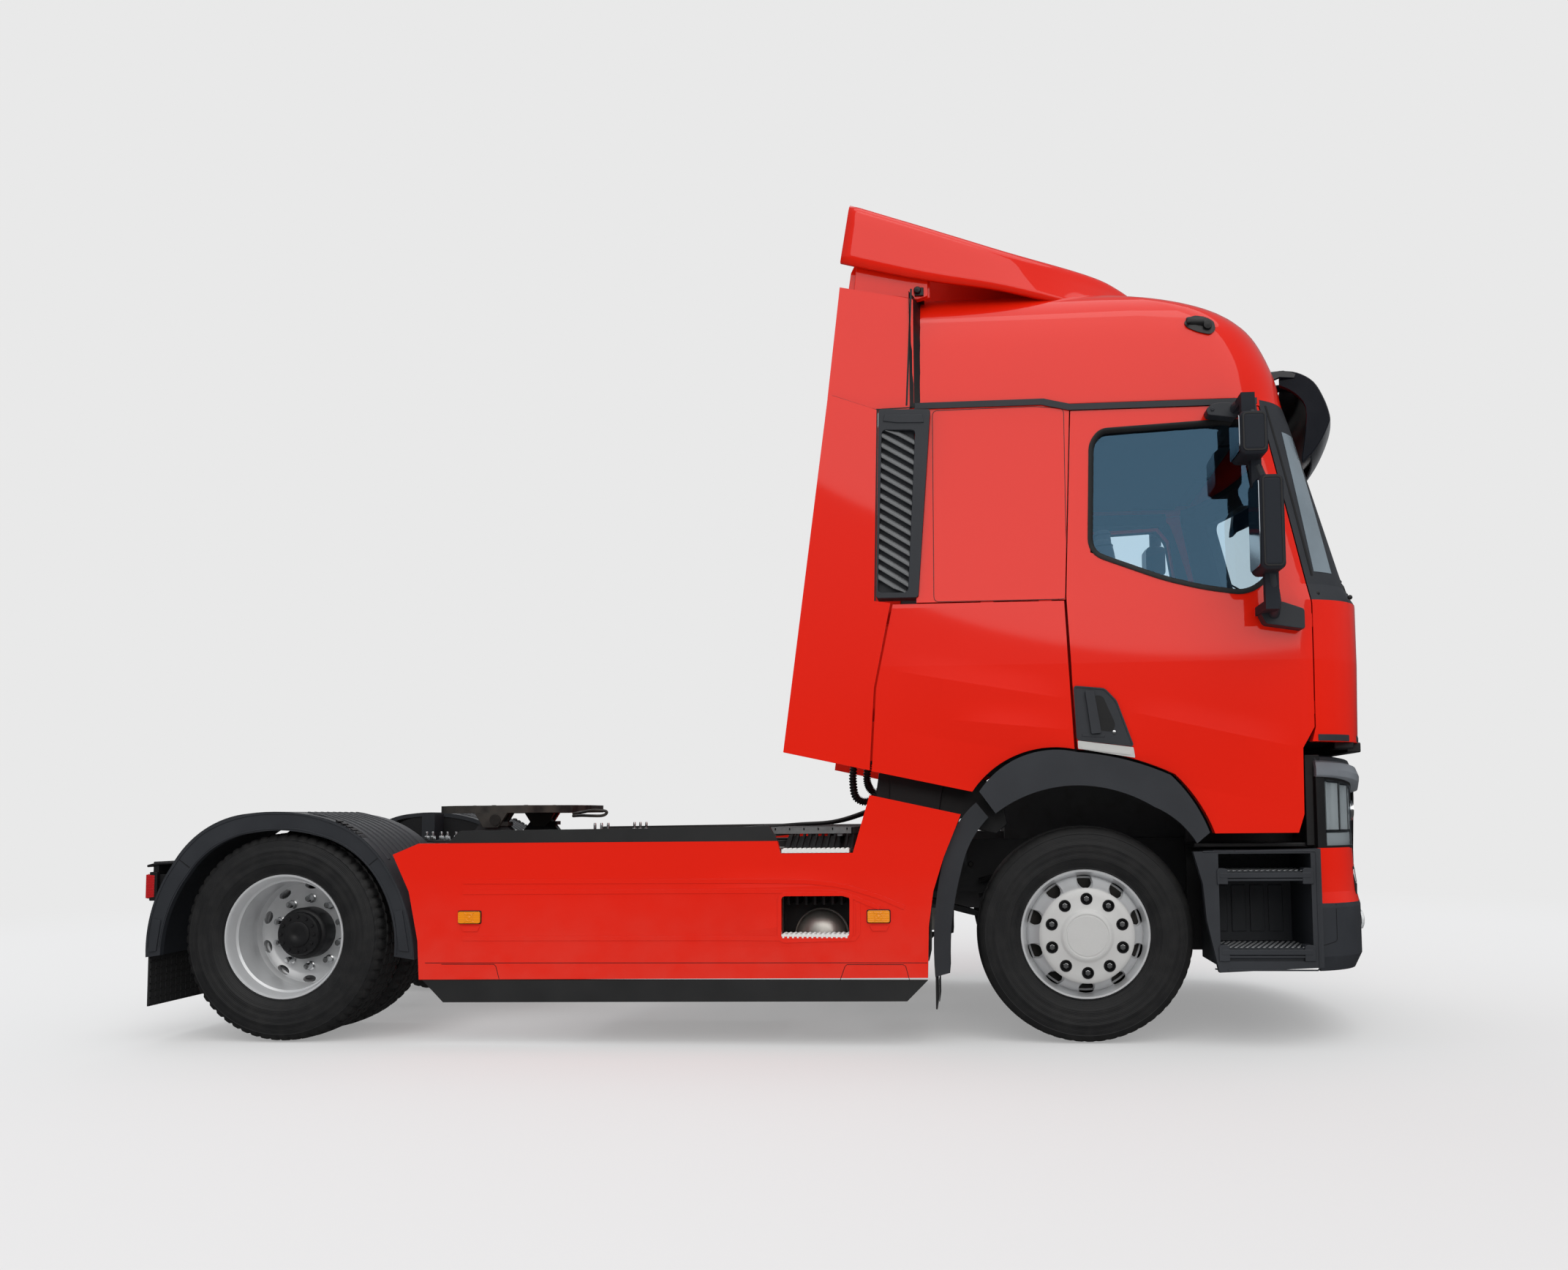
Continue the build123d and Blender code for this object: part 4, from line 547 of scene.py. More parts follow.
def cut(target, cutters):
    """Takes the cutter form out of a piece for good."""
    cutter = placed("cutter", cutters.mesh("cutter"))
    step = target.modifiers.new("Openings", "BOOLEAN")
    step.operation, step.solver, step.object = "DIFFERENCE", "EXACT", cutter
    bpy.context.view_layer.update()
    shape = bpy.data.meshes.new_from_object(target.evaluated_get(bpy.context.evaluated_depsgraph_get()))
    target.modifiers.remove(step)
    target.data = shape
    shape.shade_smooth()
    shape.set_sharp_from_angle(angle=CUT_SHARP_FROM)
    bpy.data.objects.remove(cutter)


def across(way, a, b):
    """Two ways out on one side, the lower first."""
    return sorted((way * a, way * b))


def circle(count, turn=0.0):
    """Angles evenly round a circle, the first turned on by a share of a step."""
    return [2 * pi * (k + turn) / count for k in range(count)]


def hexagon(form, centre, radius, height, way):
    """A nut or bolt head pointing out along y, with a chamfered end."""
    x, y, z = centre
    rings = []
    for r, out in ((radius, 0.0), (radius, height * 0.75), (radius * 0.82, height),
            (radius * 0.25, height * 1.02)):
        rings.append([(x + r * cos(a), y + way * out, z + r * sin(a)) for a in circle(6, 0.5)])
    return form.shell(rings)


# ---- Settings that a user may change ----
def paint(name, description, default):
    return FloatVectorProperty(name=name, description=description, subtype="COLOR",
        default=default, min=0, max=1)


def distance(name, description, default):
    return FloatProperty(name=name, description=description, default=default,
        subtype="DISTANCE", unit="LENGTH")


class TractorColours(bpy.types.PropertyGroup):
    body: paint("Body paint", "Gloss paint of the cab and skirts", (0.735, 0.012, 0.002))
    plastic: paint("Moulded plastic", "Trims, steps and fenders", (0.022, 0.025, 0.031))
    frame: paint("Chassis paint", "Rails, axles and brackets", (0.018, 0.019, 0.021))
    rim: paint("Rims", "Silver paint of the wheels", (0.64, 0.65, 0.66))
    disc: paint("Trim discs", "Pale discs on the front wheels", (0.56, 0.56, 0.55))
    brow: paint("Headlight brows", "Grey paint above the headlights", (0.155, 0.17, 0.19))
    cloth: paint("Seat cloth", "Seats and mattress", (0.035, 0.042, 0.055))
    marker: paint("Side markers", "Amber lenses", (0.80, 0.25, 0.0))


class TractorSizes(bpy.types.PropertyGroup):
    nuts: IntProperty(name="Wheel nuts", description="Nuts on each wheel", default=10, min=6, max=12)
    nut_circle: distance("Nut circle", "Diameter of the nut circle", 0.335)
    slats: IntProperty(name="Grille slats", description="Slats in each tall grille",
        default=17, min=8, max=24)
    lugs: IntProperty(name="Tread blocks", description="Blocks around a rear tyre",
        default=60, min=30, max=90)
    grating_pitch: distance("Grating pitch", "Gap between walkway bars", 0.034)
    crown: distance("Cushion crown", "How far the seat cushions swell", 0.028)


def colours():
    return bpy.context.scene.tractor_colours


def sizes():
    return bpy.context.scene.tractor_sizes


# ---- Stage ----
CAMERA_PLACE = (0.9865, -7.2171, 1.056)
FOCAL_PIXELS = 1763.69
CENTRE_PIXEL = (1169.17, 989.93)
CAMERA_YAW, CAMERA_PITCH, CAMERA_ROLL = 0.0832, 0.0708, -0.0088
PALE = 0.815
# Skyline that gloss shows: share of height where the sky starts and is full, and how ragged it is.
SKYLINE = (0.10, 0.34)
SKYLINE_RAGGED = 0.16
# Share of the floor that shines by itself, which keeps the shadow soft.
FLOOR_LIFT = 0.36
# How brightly gloss sees the sky below and above the skyline, and how strongly the world lights from
# the side and from above.
SKY_SEEN = (0.03, 0.27)
SKY_LIGHT = (0.50, 0.72)
FLOOR_SHADE, FLOOR_IN_GLOSS = 0.745, 0.06
FLOOR_CLEAR_TO, FLOOR_RADIUS, FLOOR_STEPS = 6.0, 60.0, 24


def grey(value):
    return (value, value, value, 1.0)


def pale_world():
    """Light from above; the eye sees the pale backdrop, and gloss a bright sky over a dark skyline."""
    world = bpy.data.worlds.new("Pale studio")
    bpy.context.scene.world = world
    world.use_nodes = True
    tree = world.node_tree
    tree.nodes.clear()

    def node(kind, inputs=(), settings=()):
        made = tree.nodes.new("ShaderNode" + kind)
        for key, value in dict(settings).items():
            setattr(made, key, value)
        for key, value in dict(inputs).items():
            if isinstance(value, bpy.types.NodeSocket):
                tree.links.new(value, made.inputs[key])
            else:
                made.inputs[key].default_value = value
        return made

    path = node("LightPath")
    up = node("SeparateXYZ", {0: node("TexCoord").outputs["Generated"]}).outputs[2]
    cloud = node("TexNoise", {"Scale": 3.0, "Detail": 3.0}).outputs[0]
    ragged = node("Math", {0: cloud, 1: SKYLINE_RAGGED, 2: up}, {"operation": "MULTIPLY_ADD"}).outputs[0]
    gloss = node("MapRange", {0: ragged, 1: SKYLINE[0], 2: SKYLINE[1], 3: SKY_SEEN[0], 4: SKY_SEEN[1]},
        {"interpolation_type": "SMOOTHSTEP"}).outputs[0]
    soft = node("MapRange", {0: up, 1: 0.0, 2: 0.9, 3: SKY_LIGHT[0], 4: SKY_LIGHT[1]}).outputs[0]
    light = node("Background", {"Color": (0.95, 0.97, 1.0, 1.0), "Strength": soft})
    sky = node("Background", {"Color": (0.93, 0.96, 1.0, 1.0), "Strength": gloss})
    backdrop = node("Background", {"Color": grey(PALE)})
    shown = node("Math", {0: path.outputs["Is Camera Ray"], 1: path.outputs["Is Transmission Ray"]},
        {"operation": "MAXIMUM"}).outputs[0]
    lit = node("MixShader", {0: path.outputs["Is Glossy Ray"], 1: light.outputs[0], 2: sky.outputs[0]})
    mix = node("MixShader", {0: shown, 1: lit.outputs[0], 2: backdrop.outputs[0]})
    node("OutputWorld", {0: mix.outputs[0]})


def pale_floor():
    """Floor that keeps the shadow near the vehicle and fades into the backdrop."""
    made = Finish("floor_pale")
    far = ((made.x * made.x + made.y * made.y).root() / FLOOR_CLEAR_TO - 1.0).held()
    ground = made.node("BsdfDiffuse", {}, {"Color": grey(FLOOR_SHADE)})
    haze = made.node("Emission", {}, {"Color": grey(PALE)})
    dark = made.node("Emission", {}, {"Color": grey(FLOOR_IN_GLOSS)})
    shown = made.node("MixShader", {}, [far.maths("MAXIMUM", far, FLOOR_LIFT), ground, haze])
    gloss = made.node("LightPath", {}, {}, "Is Glossy Ray")
    made.end(made.node("MixShader", {}, [gloss, shown, dark]))
    mesh = bpy.data.meshes.new("floor")
    rim = [(FLOOR_RADIUS * cos(a), FLOOR_RADIUS * sin(a), 0.0) for a in circle(FLOOR_STEPS)]
    mesh.from_pydata(rim, [], [tuple(range(FLOOR_STEPS))])
    mesh.materials.append(made.material)
    placed("floor", mesh)


def lamp(name, turn, strength, spread, colour=(1.0, 1.0, 1.0)):
    data = bpy.data.lights.new(name, "SUN")
    data.energy, data.angle, data.color = strength, radians(spread), colour
    placed(name, data).rotation_euler = tuple(radians(v) for v in turn)


SENSOR = 36.0


def aim_camera():
    data = bpy.data.cameras.new("View")
    view = placed("View", data)
    width, height = IMAGE_SIZE
    data.sensor_fit, data.sensor_width = "HORIZONTAL", SENSOR
    data.lens = FOCAL_PIXELS / width * SENSOR
    data.shift_x = (width / 2 - CENTRE_PIXEL[0]) / width
    data.shift_y = (CENTRE_PIXEL[1] - height / 2) / width
    data.clip_start, data.clip_end = 0.05, 300.0
    level = cos(CAMERA_PITCH)
    ahead = Vector((-sin(CAMERA_YAW) * level, cos(CAMERA_YAW) * level, sin(CAMERA_PITCH)))
    view.location = CAMERA_PLACE
    turn = ahead.to_track_quat("-Z", "Y").to_matrix()
    side, up = turn.col[0], turn.col[1]
    c, s = cos(CAMERA_ROLL), sin(CAMERA_ROLL)
    right, top = side * c + up * s, up * c - side * s
    turn = turn.copy()
    turn.col[0], turn.col[1], turn.col[2] = right, top, -ahead
    view.rotation_euler = turn.to_euler()
    bpy.context.scene.camera = view


class TRACTOR_OT_stage(bpy.types.Operator):
    """Pale floor, even light and the camera"""

    bl_idname = "tractor.stage"
    bl_label = "Stage"

    def execute(self, context):
        aim_camera()
        pale_world()
        pale_floor()
        lamp("Key sun", (50, 0, 12), 1.22, 60, (1.0, 0.98, 0.95))
        lamp("Top sun", (4, 8, 0), 0.62, 50)
        lamp("Far side sun", (-60, 0, 30), 0.40, 50)
        context.scene.view_settings.view_transform = "Standard"
        return {"FINISHED"}


# ---- Finishes ----
NODE_FINISHES = {
    "chassis_paint": ("frame_rails", "crossmembers", "front_axle", "suspension", "rear_axle",
                      "fifth_wheel_base", "tie_rod", "knuckle_right", "knuckle_left"),
    "body_paint": ("corner_panels", "cab_back_wall", "cab_sides", "front_panel", "service_flap", "cab_roof",
                   "side_deflectors", "roof_deflector"),
    "plastic": ("tail_lamps", "bumper", "steps", "windscreen_surround", "cab_side_trims", "rear_grilles"),
    "fender_plastic": ("rear_fenders", "front_mudguards"),
    "sill_plastic": ("side_trims",),
    "flap_rubber": ("mudflaps",),
    "engine_cast": ("powertrain",),
    "tank_metal": ("tanks",),
    "grating": ("walkway",),
    "greased_steel": ("fifth_wheel_plate",),
    "lamp_glass": ("headlights",),
    "brow_paint": ("headlight_brows",),
    "glass": ("windscreen", "door_window_right", "door_window_left"),
    # The cab floor, dashboard and steering wheel take the cab lining, painted darker than its own colour as
    # shade inside the cab.
    "cab_lining": ("cab_floor", "dashboard", "steering_wheel"),
    "visor_gloss": ("sun_visor",),
    "cloth": ("seats", "bunk"),
    "skirt_paint": ("skirts",),
    "door_paint": ("door_right", "door_left"),
    "locker_paint": ("locker_lid_right", "locker_lid_left"),
    "tyre": ("front_tyre_right", "front_tyre_left", "rear_tyres_right", "rear_tyres_left"),
    "rim_silver": ("front_wheel_right", "front_wheel_left", "rear_wheel_right", "rear_wheel_left"),
}
# Past this way out, a door's own solid is its mirror, which is moulded plastic.
DOOR_PAINT_TO = 1229.0


class TRACTOR_OT_finishes(bpy.types.Operator):
    """Makes every finish and paints the frame's own nodes"""

    bl_idname = "tractor.finishes"
    bl_label = "Finishes"

    def execute(self, context):
        c = colours()
        red, dark = tuple(c.body), tuple(c.plastic)
        for maker, finishes in (
                (red_paint, (
                    ("body_paint", red),
                    ("door_paint", red, DOOR_CREASE, DOOR_PAINT_TO, dark),
                    ("locker_paint", red, LOCKER_CREASES),
                    ("skirt_paint", red, SKIRT_CREASES))),
                (moulded_plastic, (
                    ("plastic", dark),
                    ("fender_plastic", tinted(dark, 0.85), 0.0001, 0.46),
                    ("sill_plastic", (0.014, 0.0145, 0.015), 0.0001, 0.45),
                    ("black_plastic", (0.006, 0.006, 0.007), 0.00004, 0.4),
                    ("seal_rubber", (0.008, 0.008, 0.009), 0.00003, 0.55),
                    ("slat_plastic", (0.14, 0.145, 0.15), 0.00005, 0.42),
                    ("flap_rubber", (0.018, 0.018, 0.019), 0.0003, 0.65, 260.0),
                    # Cab lining: its own near-black plastic, darkened further as painted shade inside the
                    # cab.
                    ("cab_lining", (0.008, 0.011, 0.016), 0.00003, 0.6, 500.0),
                    # Headlining: its own bluish grey, darkened as painted shade inside the cab.
                    ("headlining", (0.010, 0.017, 0.026), 0.00002, 0.8, 400.0),
                    ("seat_edge", (0.05, 0.052, 0.056), 0.0002, 0.6, 300.0),
                    ("brow_paint", tuple(c.brow), 0.00002, 0.32),
                    ("visor_gloss", (0.004, 0.005, 0.009), 0.00001, 0.08),
                    ("chassis_paint", tuple(c.frame), 0.0001, 0.42, 300.0),
                    # Glass edge: opaque, the tinted glass's own colour lightened to grey-blue as a painted
                    # reflection.
                    ("glass_edge", (0.17, 0.21, 0.24), 0.0, 0.06))),
                (bare_metal, (
                    ("engine_cast", (0.10, 0.10, 0.105), 0.55, EVEN, 0.6, 0.4),
                    ("tank_metal", (0.62, 0.60, 0.56), 0.35, (1, 0.1, 1), 0.2, 0.85),
                    ("rim_silver", tuple(c.rim), 0.30, (3, 0.2, 3), 0.12, 0.35),
                    ("disc_paint", tuple(c.disc), 0.42, EVEN, 0.06, 0.12),
                    ("bright_metal", (0.75, 0.76, 0.77), 0.16, EVEN, 0.08, 1.0),
                    ("strip_metal", (0.72, 0.72, 0.70), 0.34, (1, 1, 8), 0.08, 0.5),
                    ("tread_alloy", (0.80, 0.80, 0.78), 0.5, EVEN, 0.05, 0.1),
                    ("dark_metal", (0.05, 0.048, 0.045), 0.4, EVEN, 0.4, 0.8),
                    ("mirror_glass", (0.30, 0.34, 0.38), 0.02, EVEN, 0.0, 1.0))),
                (clear_glass, (
                    ("glass", (0.88, 0.94, 0.97), 0.03, 0.05, (0.30, 0.62, 0.95)),
                    ("lamp_glass", (0.93, 0.96, 0.98), 0.03, 0.16, (0.9, 0.95, 1.0)))),
                (lens_plastic, (
                    ("amber_lens", tuple(c.marker), 0.12),
                    ("red_lens", (0.42, 0.004, 0.006), 0.06),
                    ("white_lens", (0.75, 0.77, 0.78), 0.0))),
                (woven_cloth, (
                    ("mattress_cloth", (0.20, 0.22, 0.26), (0.28, 0.30, 0.34)),
                    ("cloth", tuple(c.cloth), tinted(c.cloth, 1.9)))),
                (greased_steel, (("greased_steel",),)),
                (grating_metal, (("grating",),)),
                (tyre_rubber, (("tyre",),))):
            for name, *settings in finishes:
                FINISHES[name] = maker(name, *settings)
        for name, nodes in NODE_FINISHES.items():
            for node in nodes:
                for place in frame["nodes"][node].material_slots:
                    place.material = FINISHES[name]
        return {"FINISHED"}


# ---- Wheels and tyres ----
FRONT_RIM = [(262, -60), (262, 60), (286, 75), (286, 112), (298, 114), (299, 119), (296, 124), (288, 123),
    (280, 113), (274, 98), (268, 86), (262, 100), (253, 122), (241, 145), (229, 167), (218, 184), (209, 193),
    (198, 196), (198, 188), (206, 184), (222, 158), (240, 120), (252, 82), (256, 60), (256, -60), (280, -110),
    (288, -124), (298, -124), (298, -114), (286, -112), (286, -75)]
TRIM_DISC = [(216, 190), (217, 197), (212, 203), (200, 208), (180, 211), (124, 212), (119, 214), (114, 220),
    (106, 224), (99, 224.5), (97, 222.8), (92, 222.8), (90, 224.5), (40, 224.8), (0.5, 224.8),
    (0.5, 186), (200, 186)]
REAR_RIM = [(262, 60), (262, -60), (286, -75), (286, -112), (298, -114), (298, -124), (286, -124),
    (274, -110), (250, -132), (246, -146), (250, -158), (262, -164), (262, -140), (268, -120), (272, -60),
    (272, -20), (264, -8), (262, 30), (264, 52), (272, 62), (274, 92), (282, 104), (283, 114), (289, 123),
    (296, 124), (299, 119), (298, 114), (286, 112), (286, 75)]
REAR_DISC = [(270, -158), (270, -140), (262, -134), (248, -132), (235, -134), (215, -142), (205, -146),
    (112, -146), (112, -160)]
HUB = [(126, -160), (126, -60), (122, -50), (114, -44), (106, -42), (104, -14), (98, -8), (64, -7), (62, -2),
    (56, -0.5), (20, -0.5), (17, -3), (0.5, -3), (0.5, -60)]
TREAD_STEPS = 4
SHOULDER_ROWS, FRONT_SHOULDER_ROWS = range(15, 21), (18, 19, 20)
OUTER_SHOULDER, CROWN = 17, 23


def tyre_profile(rear):
    """Section of a tyre as (radius, way out), from bead to bead round the tread."""
    side = [(287, 112), (299, 121), (303, 127), (306, 127), (316, 133), (345, 143), (349, 145.5),
        (353, 145.2), (375, 149), (410, 149.5), (414, 150), (418, 149), (440, 145.5), (458, 140),
        (463, 140.5), (467, 138), (478, 131), (486, 124)]
    if rear:
        crown = [(490, 119), (492.5, 113), (496, 88), (485, 84), (485, 76), (497.5, 72), (498.5, 38),
            (487, 35), (487, 27), (499.5, 23)]
    else:
        crown = [(491, 118), (494, 110), (497, 84), (485, 81), (485, 73), (498, 70), (499, 42), (486, 39),
            (486, 31), (499.8, 28)]
    half = side + crown
    return half + [(r, -y) for r, y in reversed(half)]


def make_tyre(name, centre, body, rear):
    profile = tyre_profile(rear)

    def bump(k, i):
        """How far a tread point is pressed in, in a groove between blocks."""
        near = i if i < len(profile) / 2 else len(profile) - 1 - i
        if rear and near in SHOULDER_ROWS and k % TREAD_STEPS == 3:
            return -9.0 if near >= OUTER_SHOULDER else -5.0
        if rear and near >= CROWN and (k + 2) % TREAD_STEPS == 3:
            return -5.0
        return -2.5 if not rear and near in FRONT_SHOULDER_ROWS and k % TREAD_STEPS == 3 else 0.0

    form = Form().turned(profile, centre, sizes().lugs * TREAD_STEPS, bump=bump)
    return form.piece(name, "tyre", body, angle=28.0, origin=centre)


def nut_angles():
    return circle(sizes().nuts, 0.5)


def nut_radius():
    return sizes().nut_circle / MM / 2


def vents(centre, way, radius, out, length, width, reach, lean):
    """Cutters for the ring of oval hand holes."""
    form = Form()
    x, y, z = centre
    for angle in nut_angles():
        rings = []
        for depth in (out - reach, out + reach):
            r = radius - lean * (depth - out) / reach
            ring = []
            for a in circle(20):
                tangent, radial = length / 2 * cos(a), r + width / 2 * sin(a)
                ring.append((x + radial * cos(angle) - tangent * sin(angle), y + way * depth,
                    z + radial * sin(angle) + tangent * cos(angle)))
            rings.append(ring)
        form.shell(rings)
    return form


def signed(profile, way):
    return [(r, way * out) for r, out in profile]


def front_wheel(side, way):
    body = f"front_wheel_{side}"
    centre = (FRONT_AXLE[0], way * FRONT_WHEEL_Y, FRONT_AXLE[1])
    rim = Form().turned(signed(FRONT_RIM, way), centre, 120)
    rim = rim.piece(f"front_rim_{side}", "rim_silver", body, angle=40.0)
    cut(rim, vents(centre, way, 243, 132, 74, 34, 70, 22))
    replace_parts(rim, body)
    hub = Form().turned(signed([(190, 60), (190, 80), (150, 120), (150, 60)], way), centre, 60)
    hub.turned(signed([(130, -90), (130, -40), (60, -30), (60, -90)], way), centre, 40)
    hub.turned(signed([(256, 58), (256, 66), (128, 60), (128, 52)], way), centre, 60)
    hub.piece(f"front_hub_{side}", "dark_metal", body, "wheel_silver")
    disc = Form().turned(signed(TRIM_DISC, way), centre, 120)
    disc = disc.piece(f"trim_disc_{side}", "disc_paint", body, "wheel_silver", angle=40.0)
    holes, cups, nuts = Form(), Form(), Form()
    for angle in nut_angles():
        x, z = centre[0] + nut_radius() * cos(angle), centre[2] + nut_radius() * sin(angle)
        spot = (x, centre[1], z)
        holes.turned(signed([(25, 180), (25, 230), (0.1, 230), (0.1, 180)], way), spot, 24)
        cups.turned(signed([(25, 190), (28, 210.6), (27, 213), (24, 213), (22, 210), (20, 193), (0.1, 192),
            (0.1, 188), (25, 188)], way), spot, 24)
        hexagon(nuts, (x, centre[1] + way * 192, z), 15.5, 20, way)
    cut(disc, holes)
    cups.piece(f"nut_cups_{side}", "black_plastic", body, "wheel_silver")
    nuts.piece(f"front_nuts_{side}", "bright_metal", body, bevel=1.0)
    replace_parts(make_tyre(f"front_tread_tyre_{side}", centre, body, False), f"front_tyre_{side}")


def rear_wheel(side, way):
    body = f"rear_wheels_{side}"
    outer = (REAR_AXLE[0], way * REAR_OUTER_Y, REAR_AXLE[1])
    inner = (REAR_AXLE[0], way * REAR_INNER_Y, REAR_AXLE[1])
    rim = Form().turned(signed(REAR_RIM, way), outer, 120)
    rim.turned(signed([(r, -y) for r, y in REAR_RIM], way), inner, 60)
    rim = rim.piece(f"rear_rims_{side}", "rim_silver", body, angle=40.0)
    disc = Form().turned(signed(REAR_DISC, way), outer, 120)
    disc = disc.piece(f"rear_disc_{side}", "rim_silver", body, angle=40.0)
    cut(disc, vents(outer, way, 232, -146, 66, 36, 40, 0))
    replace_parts(rim, f"rear_wheel_{side}")
    hub = Form().turned(signed(HUB, way), outer, 72)
    hub.turned(signed([(140, -520), (140, -170), (112, -160), (60, -520)], way), outer, 48)
    for a in circle(12):
        hexagon(hub, (outer[0] + 84 * cos(a), outer[1] - way * 8, outer[2] + 84 * sin(a)), 9, 7.5, way)
    hub.piece(f"rear_hub_{side}", "black_plastic", body, "wheel_silver", angle=40.0)
    nuts = Form()
    for angle in nut_angles():
        x, z = outer[0] + nut_radius() * cos(angle), outer[2] + nut_radius() * sin(angle)
        nuts.turned(signed([(0.1, -146), (23, -146), (23, -140), (17, -138), (16.5, -104), (13, -98),
            (0.1, -97)], way), (x, outer[1], z), 20)
    nuts.piece(f"rear_nuts_{side}", "bright_metal", body, angle=30.0)
    outer_tyre = make_tyre(f"rear_outer_tyre_{side}", outer, body, True)
    make_tyre(f"rear_inner_tyre_{side}", inner, body, True)
    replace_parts(outer_tyre, f"rear_tyres_{side}")


class TRACTOR_OT_front_wheels(bpy.types.Operator):
    """Front rims with hand holes, pale trim discs, nuts and tyres"""

    bl_idname = "tractor.front_wheels"
    bl_label = "Front wheels"

    def execute(self, context):
        for side, way in SIDES:
            front_wheel(side, way)
        return {"FINISHED"}


class TRACTOR_OT_rear_wheels(bpy.types.Operator):
    """Deep rear rims with hand holes and capped nuts, hubs and twin tyres"""

    bl_idname = "tractor.rear_wheels"
    bl_label = "Rear wheels"

    def execute(self, context):
        for side, way in SIDES:
            rear_wheel(side, way)
        return {"FINISHED"}


# ---- Cab skins ----
CAB_FRONT_X, CAB_REAR_X, SEAM_Z = 3000.0, 780.0, 2985.0
FRONT_ARC, CORNER = 3200.0, 330.0
# Roof: height, how far the front lies back, half width.
ROOF_LINES = [(2985, 303, 1188.5), (3012, 312, 1188), (3150, 342, 1179), (3298, 405, 1160), (3397, 475, 1135),
    (3480, 590, 1100), (3550, 780, 1040), (3610, 1050, 940), (3640, 1280, 845), (3648, 1370, 795)]
# Roof deflector: length, half width low and high, top, lower edge.
DEFLECTOR_LINES = [(430, 1185, 1165, 4045, 3730), (849, 1175, 1150, 3917, 3631),
    (1231, 1140, 1080, 3812, 3584), (1628, 1065, 900, 3757, 3518), (1800, 990, 780, 3725, 3470),
    (1945, 800, 640, 3670, 3430), (2010, 700, 560, 3590, 3410)]
VISOR_OUTER = [(-310, 240), (-225, 220), (-150, 165), (-104, 75), (-80, -10), (-85, -50),
    (-120, -125), (-170, -195)]
VISOR_INNER = [(-178, -191), (-130, -118), (-95, -45), (-92, -13), (-116, 72), (-158, 158),
    (-230, 210), (-310, 228)]
VISOR_CHEEK = [(-178, -198), (-215, -225), (-197, -100), (-190, 40), (-240, 118), (-310, 165)]
VISOR_SWING = 17.0
ARC_STEPS, BOW_STEPS, FLANK_STEPS = 10, 16, 6
ROOF_WALL, DEFLECTOR_WALL = 30, 24
# The deflector's widths hold from its foot to near its top, where it rounds over.
DEFLECTOR_FOOT_Z, DEFLECTOR_TOP_Z, DEFLECTOR_ROUND = 3390.0, 4024.0, 60.0


def eased(p, q, r, s, t):
    """Smooth value from q at t = 0 to r at t = 1, with p before them and s after."""
    return 0.5 * (2 * q + (r - p) * t + (2 * p - 5 * q + 4 * r - s) * t * t
        + (3 * q - p - 3 * r + s) * t ** 3)


def smooth_rows(rows, steps):
    """Rows of numbers with smooth rows between them."""
    made = []
    last = len(rows) - 1
    for k in range(last):
        near = (rows[max(k - 1, 0)], rows[k], rows[k + 1], rows[min(k + 2, last)])
        for i in range(steps):
            made.append(tuple(eased(*four, i / steps) for four in zip(*near)))
    return made + [tuple(rows[-1])]


def plan_line(z, front_x, half_width, rear_x):
    """Plan of the cab at one height, from its rear right end round the front to the rear left."""
    centre_x = front_x - FRONT_ARC
    corner_y = half_width - CORNER
    corner_x = centre_x + sqrt((FRONT_ARC - CORNER) ** 2 - corner_y ** 2)
    end = atan2(corner_y, corner_x - centre_x)
    line = [(rear_x + (corner_x - rear_x) * k / FLANK_STEPS, -half_width, z) for k in range(FLANK_STEPS)]
    for k in range(ARC_STEPS + 1):
        a = -pi / 2 + (pi / 2 - end) * k / ARC_STEPS
        line.append((corner_x + CORNER * cos(a), -corner_y + CORNER * sin(a), z))
    right = list(line)
    for k in range(1, BOW_STEPS):
        a = -end + 2 * end * k / BOW_STEPS
        line.append((centre_x + FRONT_ARC * cos(a), FRONT_ARC * sin(a), z))
    return line + [(x, -y, z) for x, y, z in reversed(right)]


def bow(y):
    """How far the front falls back at a way out."""
    return FRONT_ARC - sqrt(FRONT_ARC ** 2 - y ** 2)


def thickened(made, thickness):
    """Gives an open skin a wall on its inner side."""
    wall = made.modifiers.new("Wall", "SOLIDIFY")
    wall.thickness, wall.offset, wall.use_even_offset = thickness * MM, -1.0, True


def visor_point(x, z, angle):
    centre = CAB_FRONT_X - FRONT_ARC
    reach, turn = CAB_FRONT_X + x - centre, radians(angle)
    return (centre + reach * cos(turn), reach * sin(turn), SEAM_Z + z)


def roof_skin():
    rings = [plan_line(z, CAB_FRONT_X - back, half, CAB_REAR_X)
        for z, back, half in smooth_rows(ROOF_LINES, 4)]
    roof = Form().shell(rings, True, False)
    count = len(rings[0])
    roof.faces.append(tuple(range(len(roof.points) - count, len(roof.points))))
    made = roof.piece("roof_skin", "body_paint", "cab", angle=50.0)
    thickened(made, ROOF_WALL)
    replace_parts(made, "cab_roof")


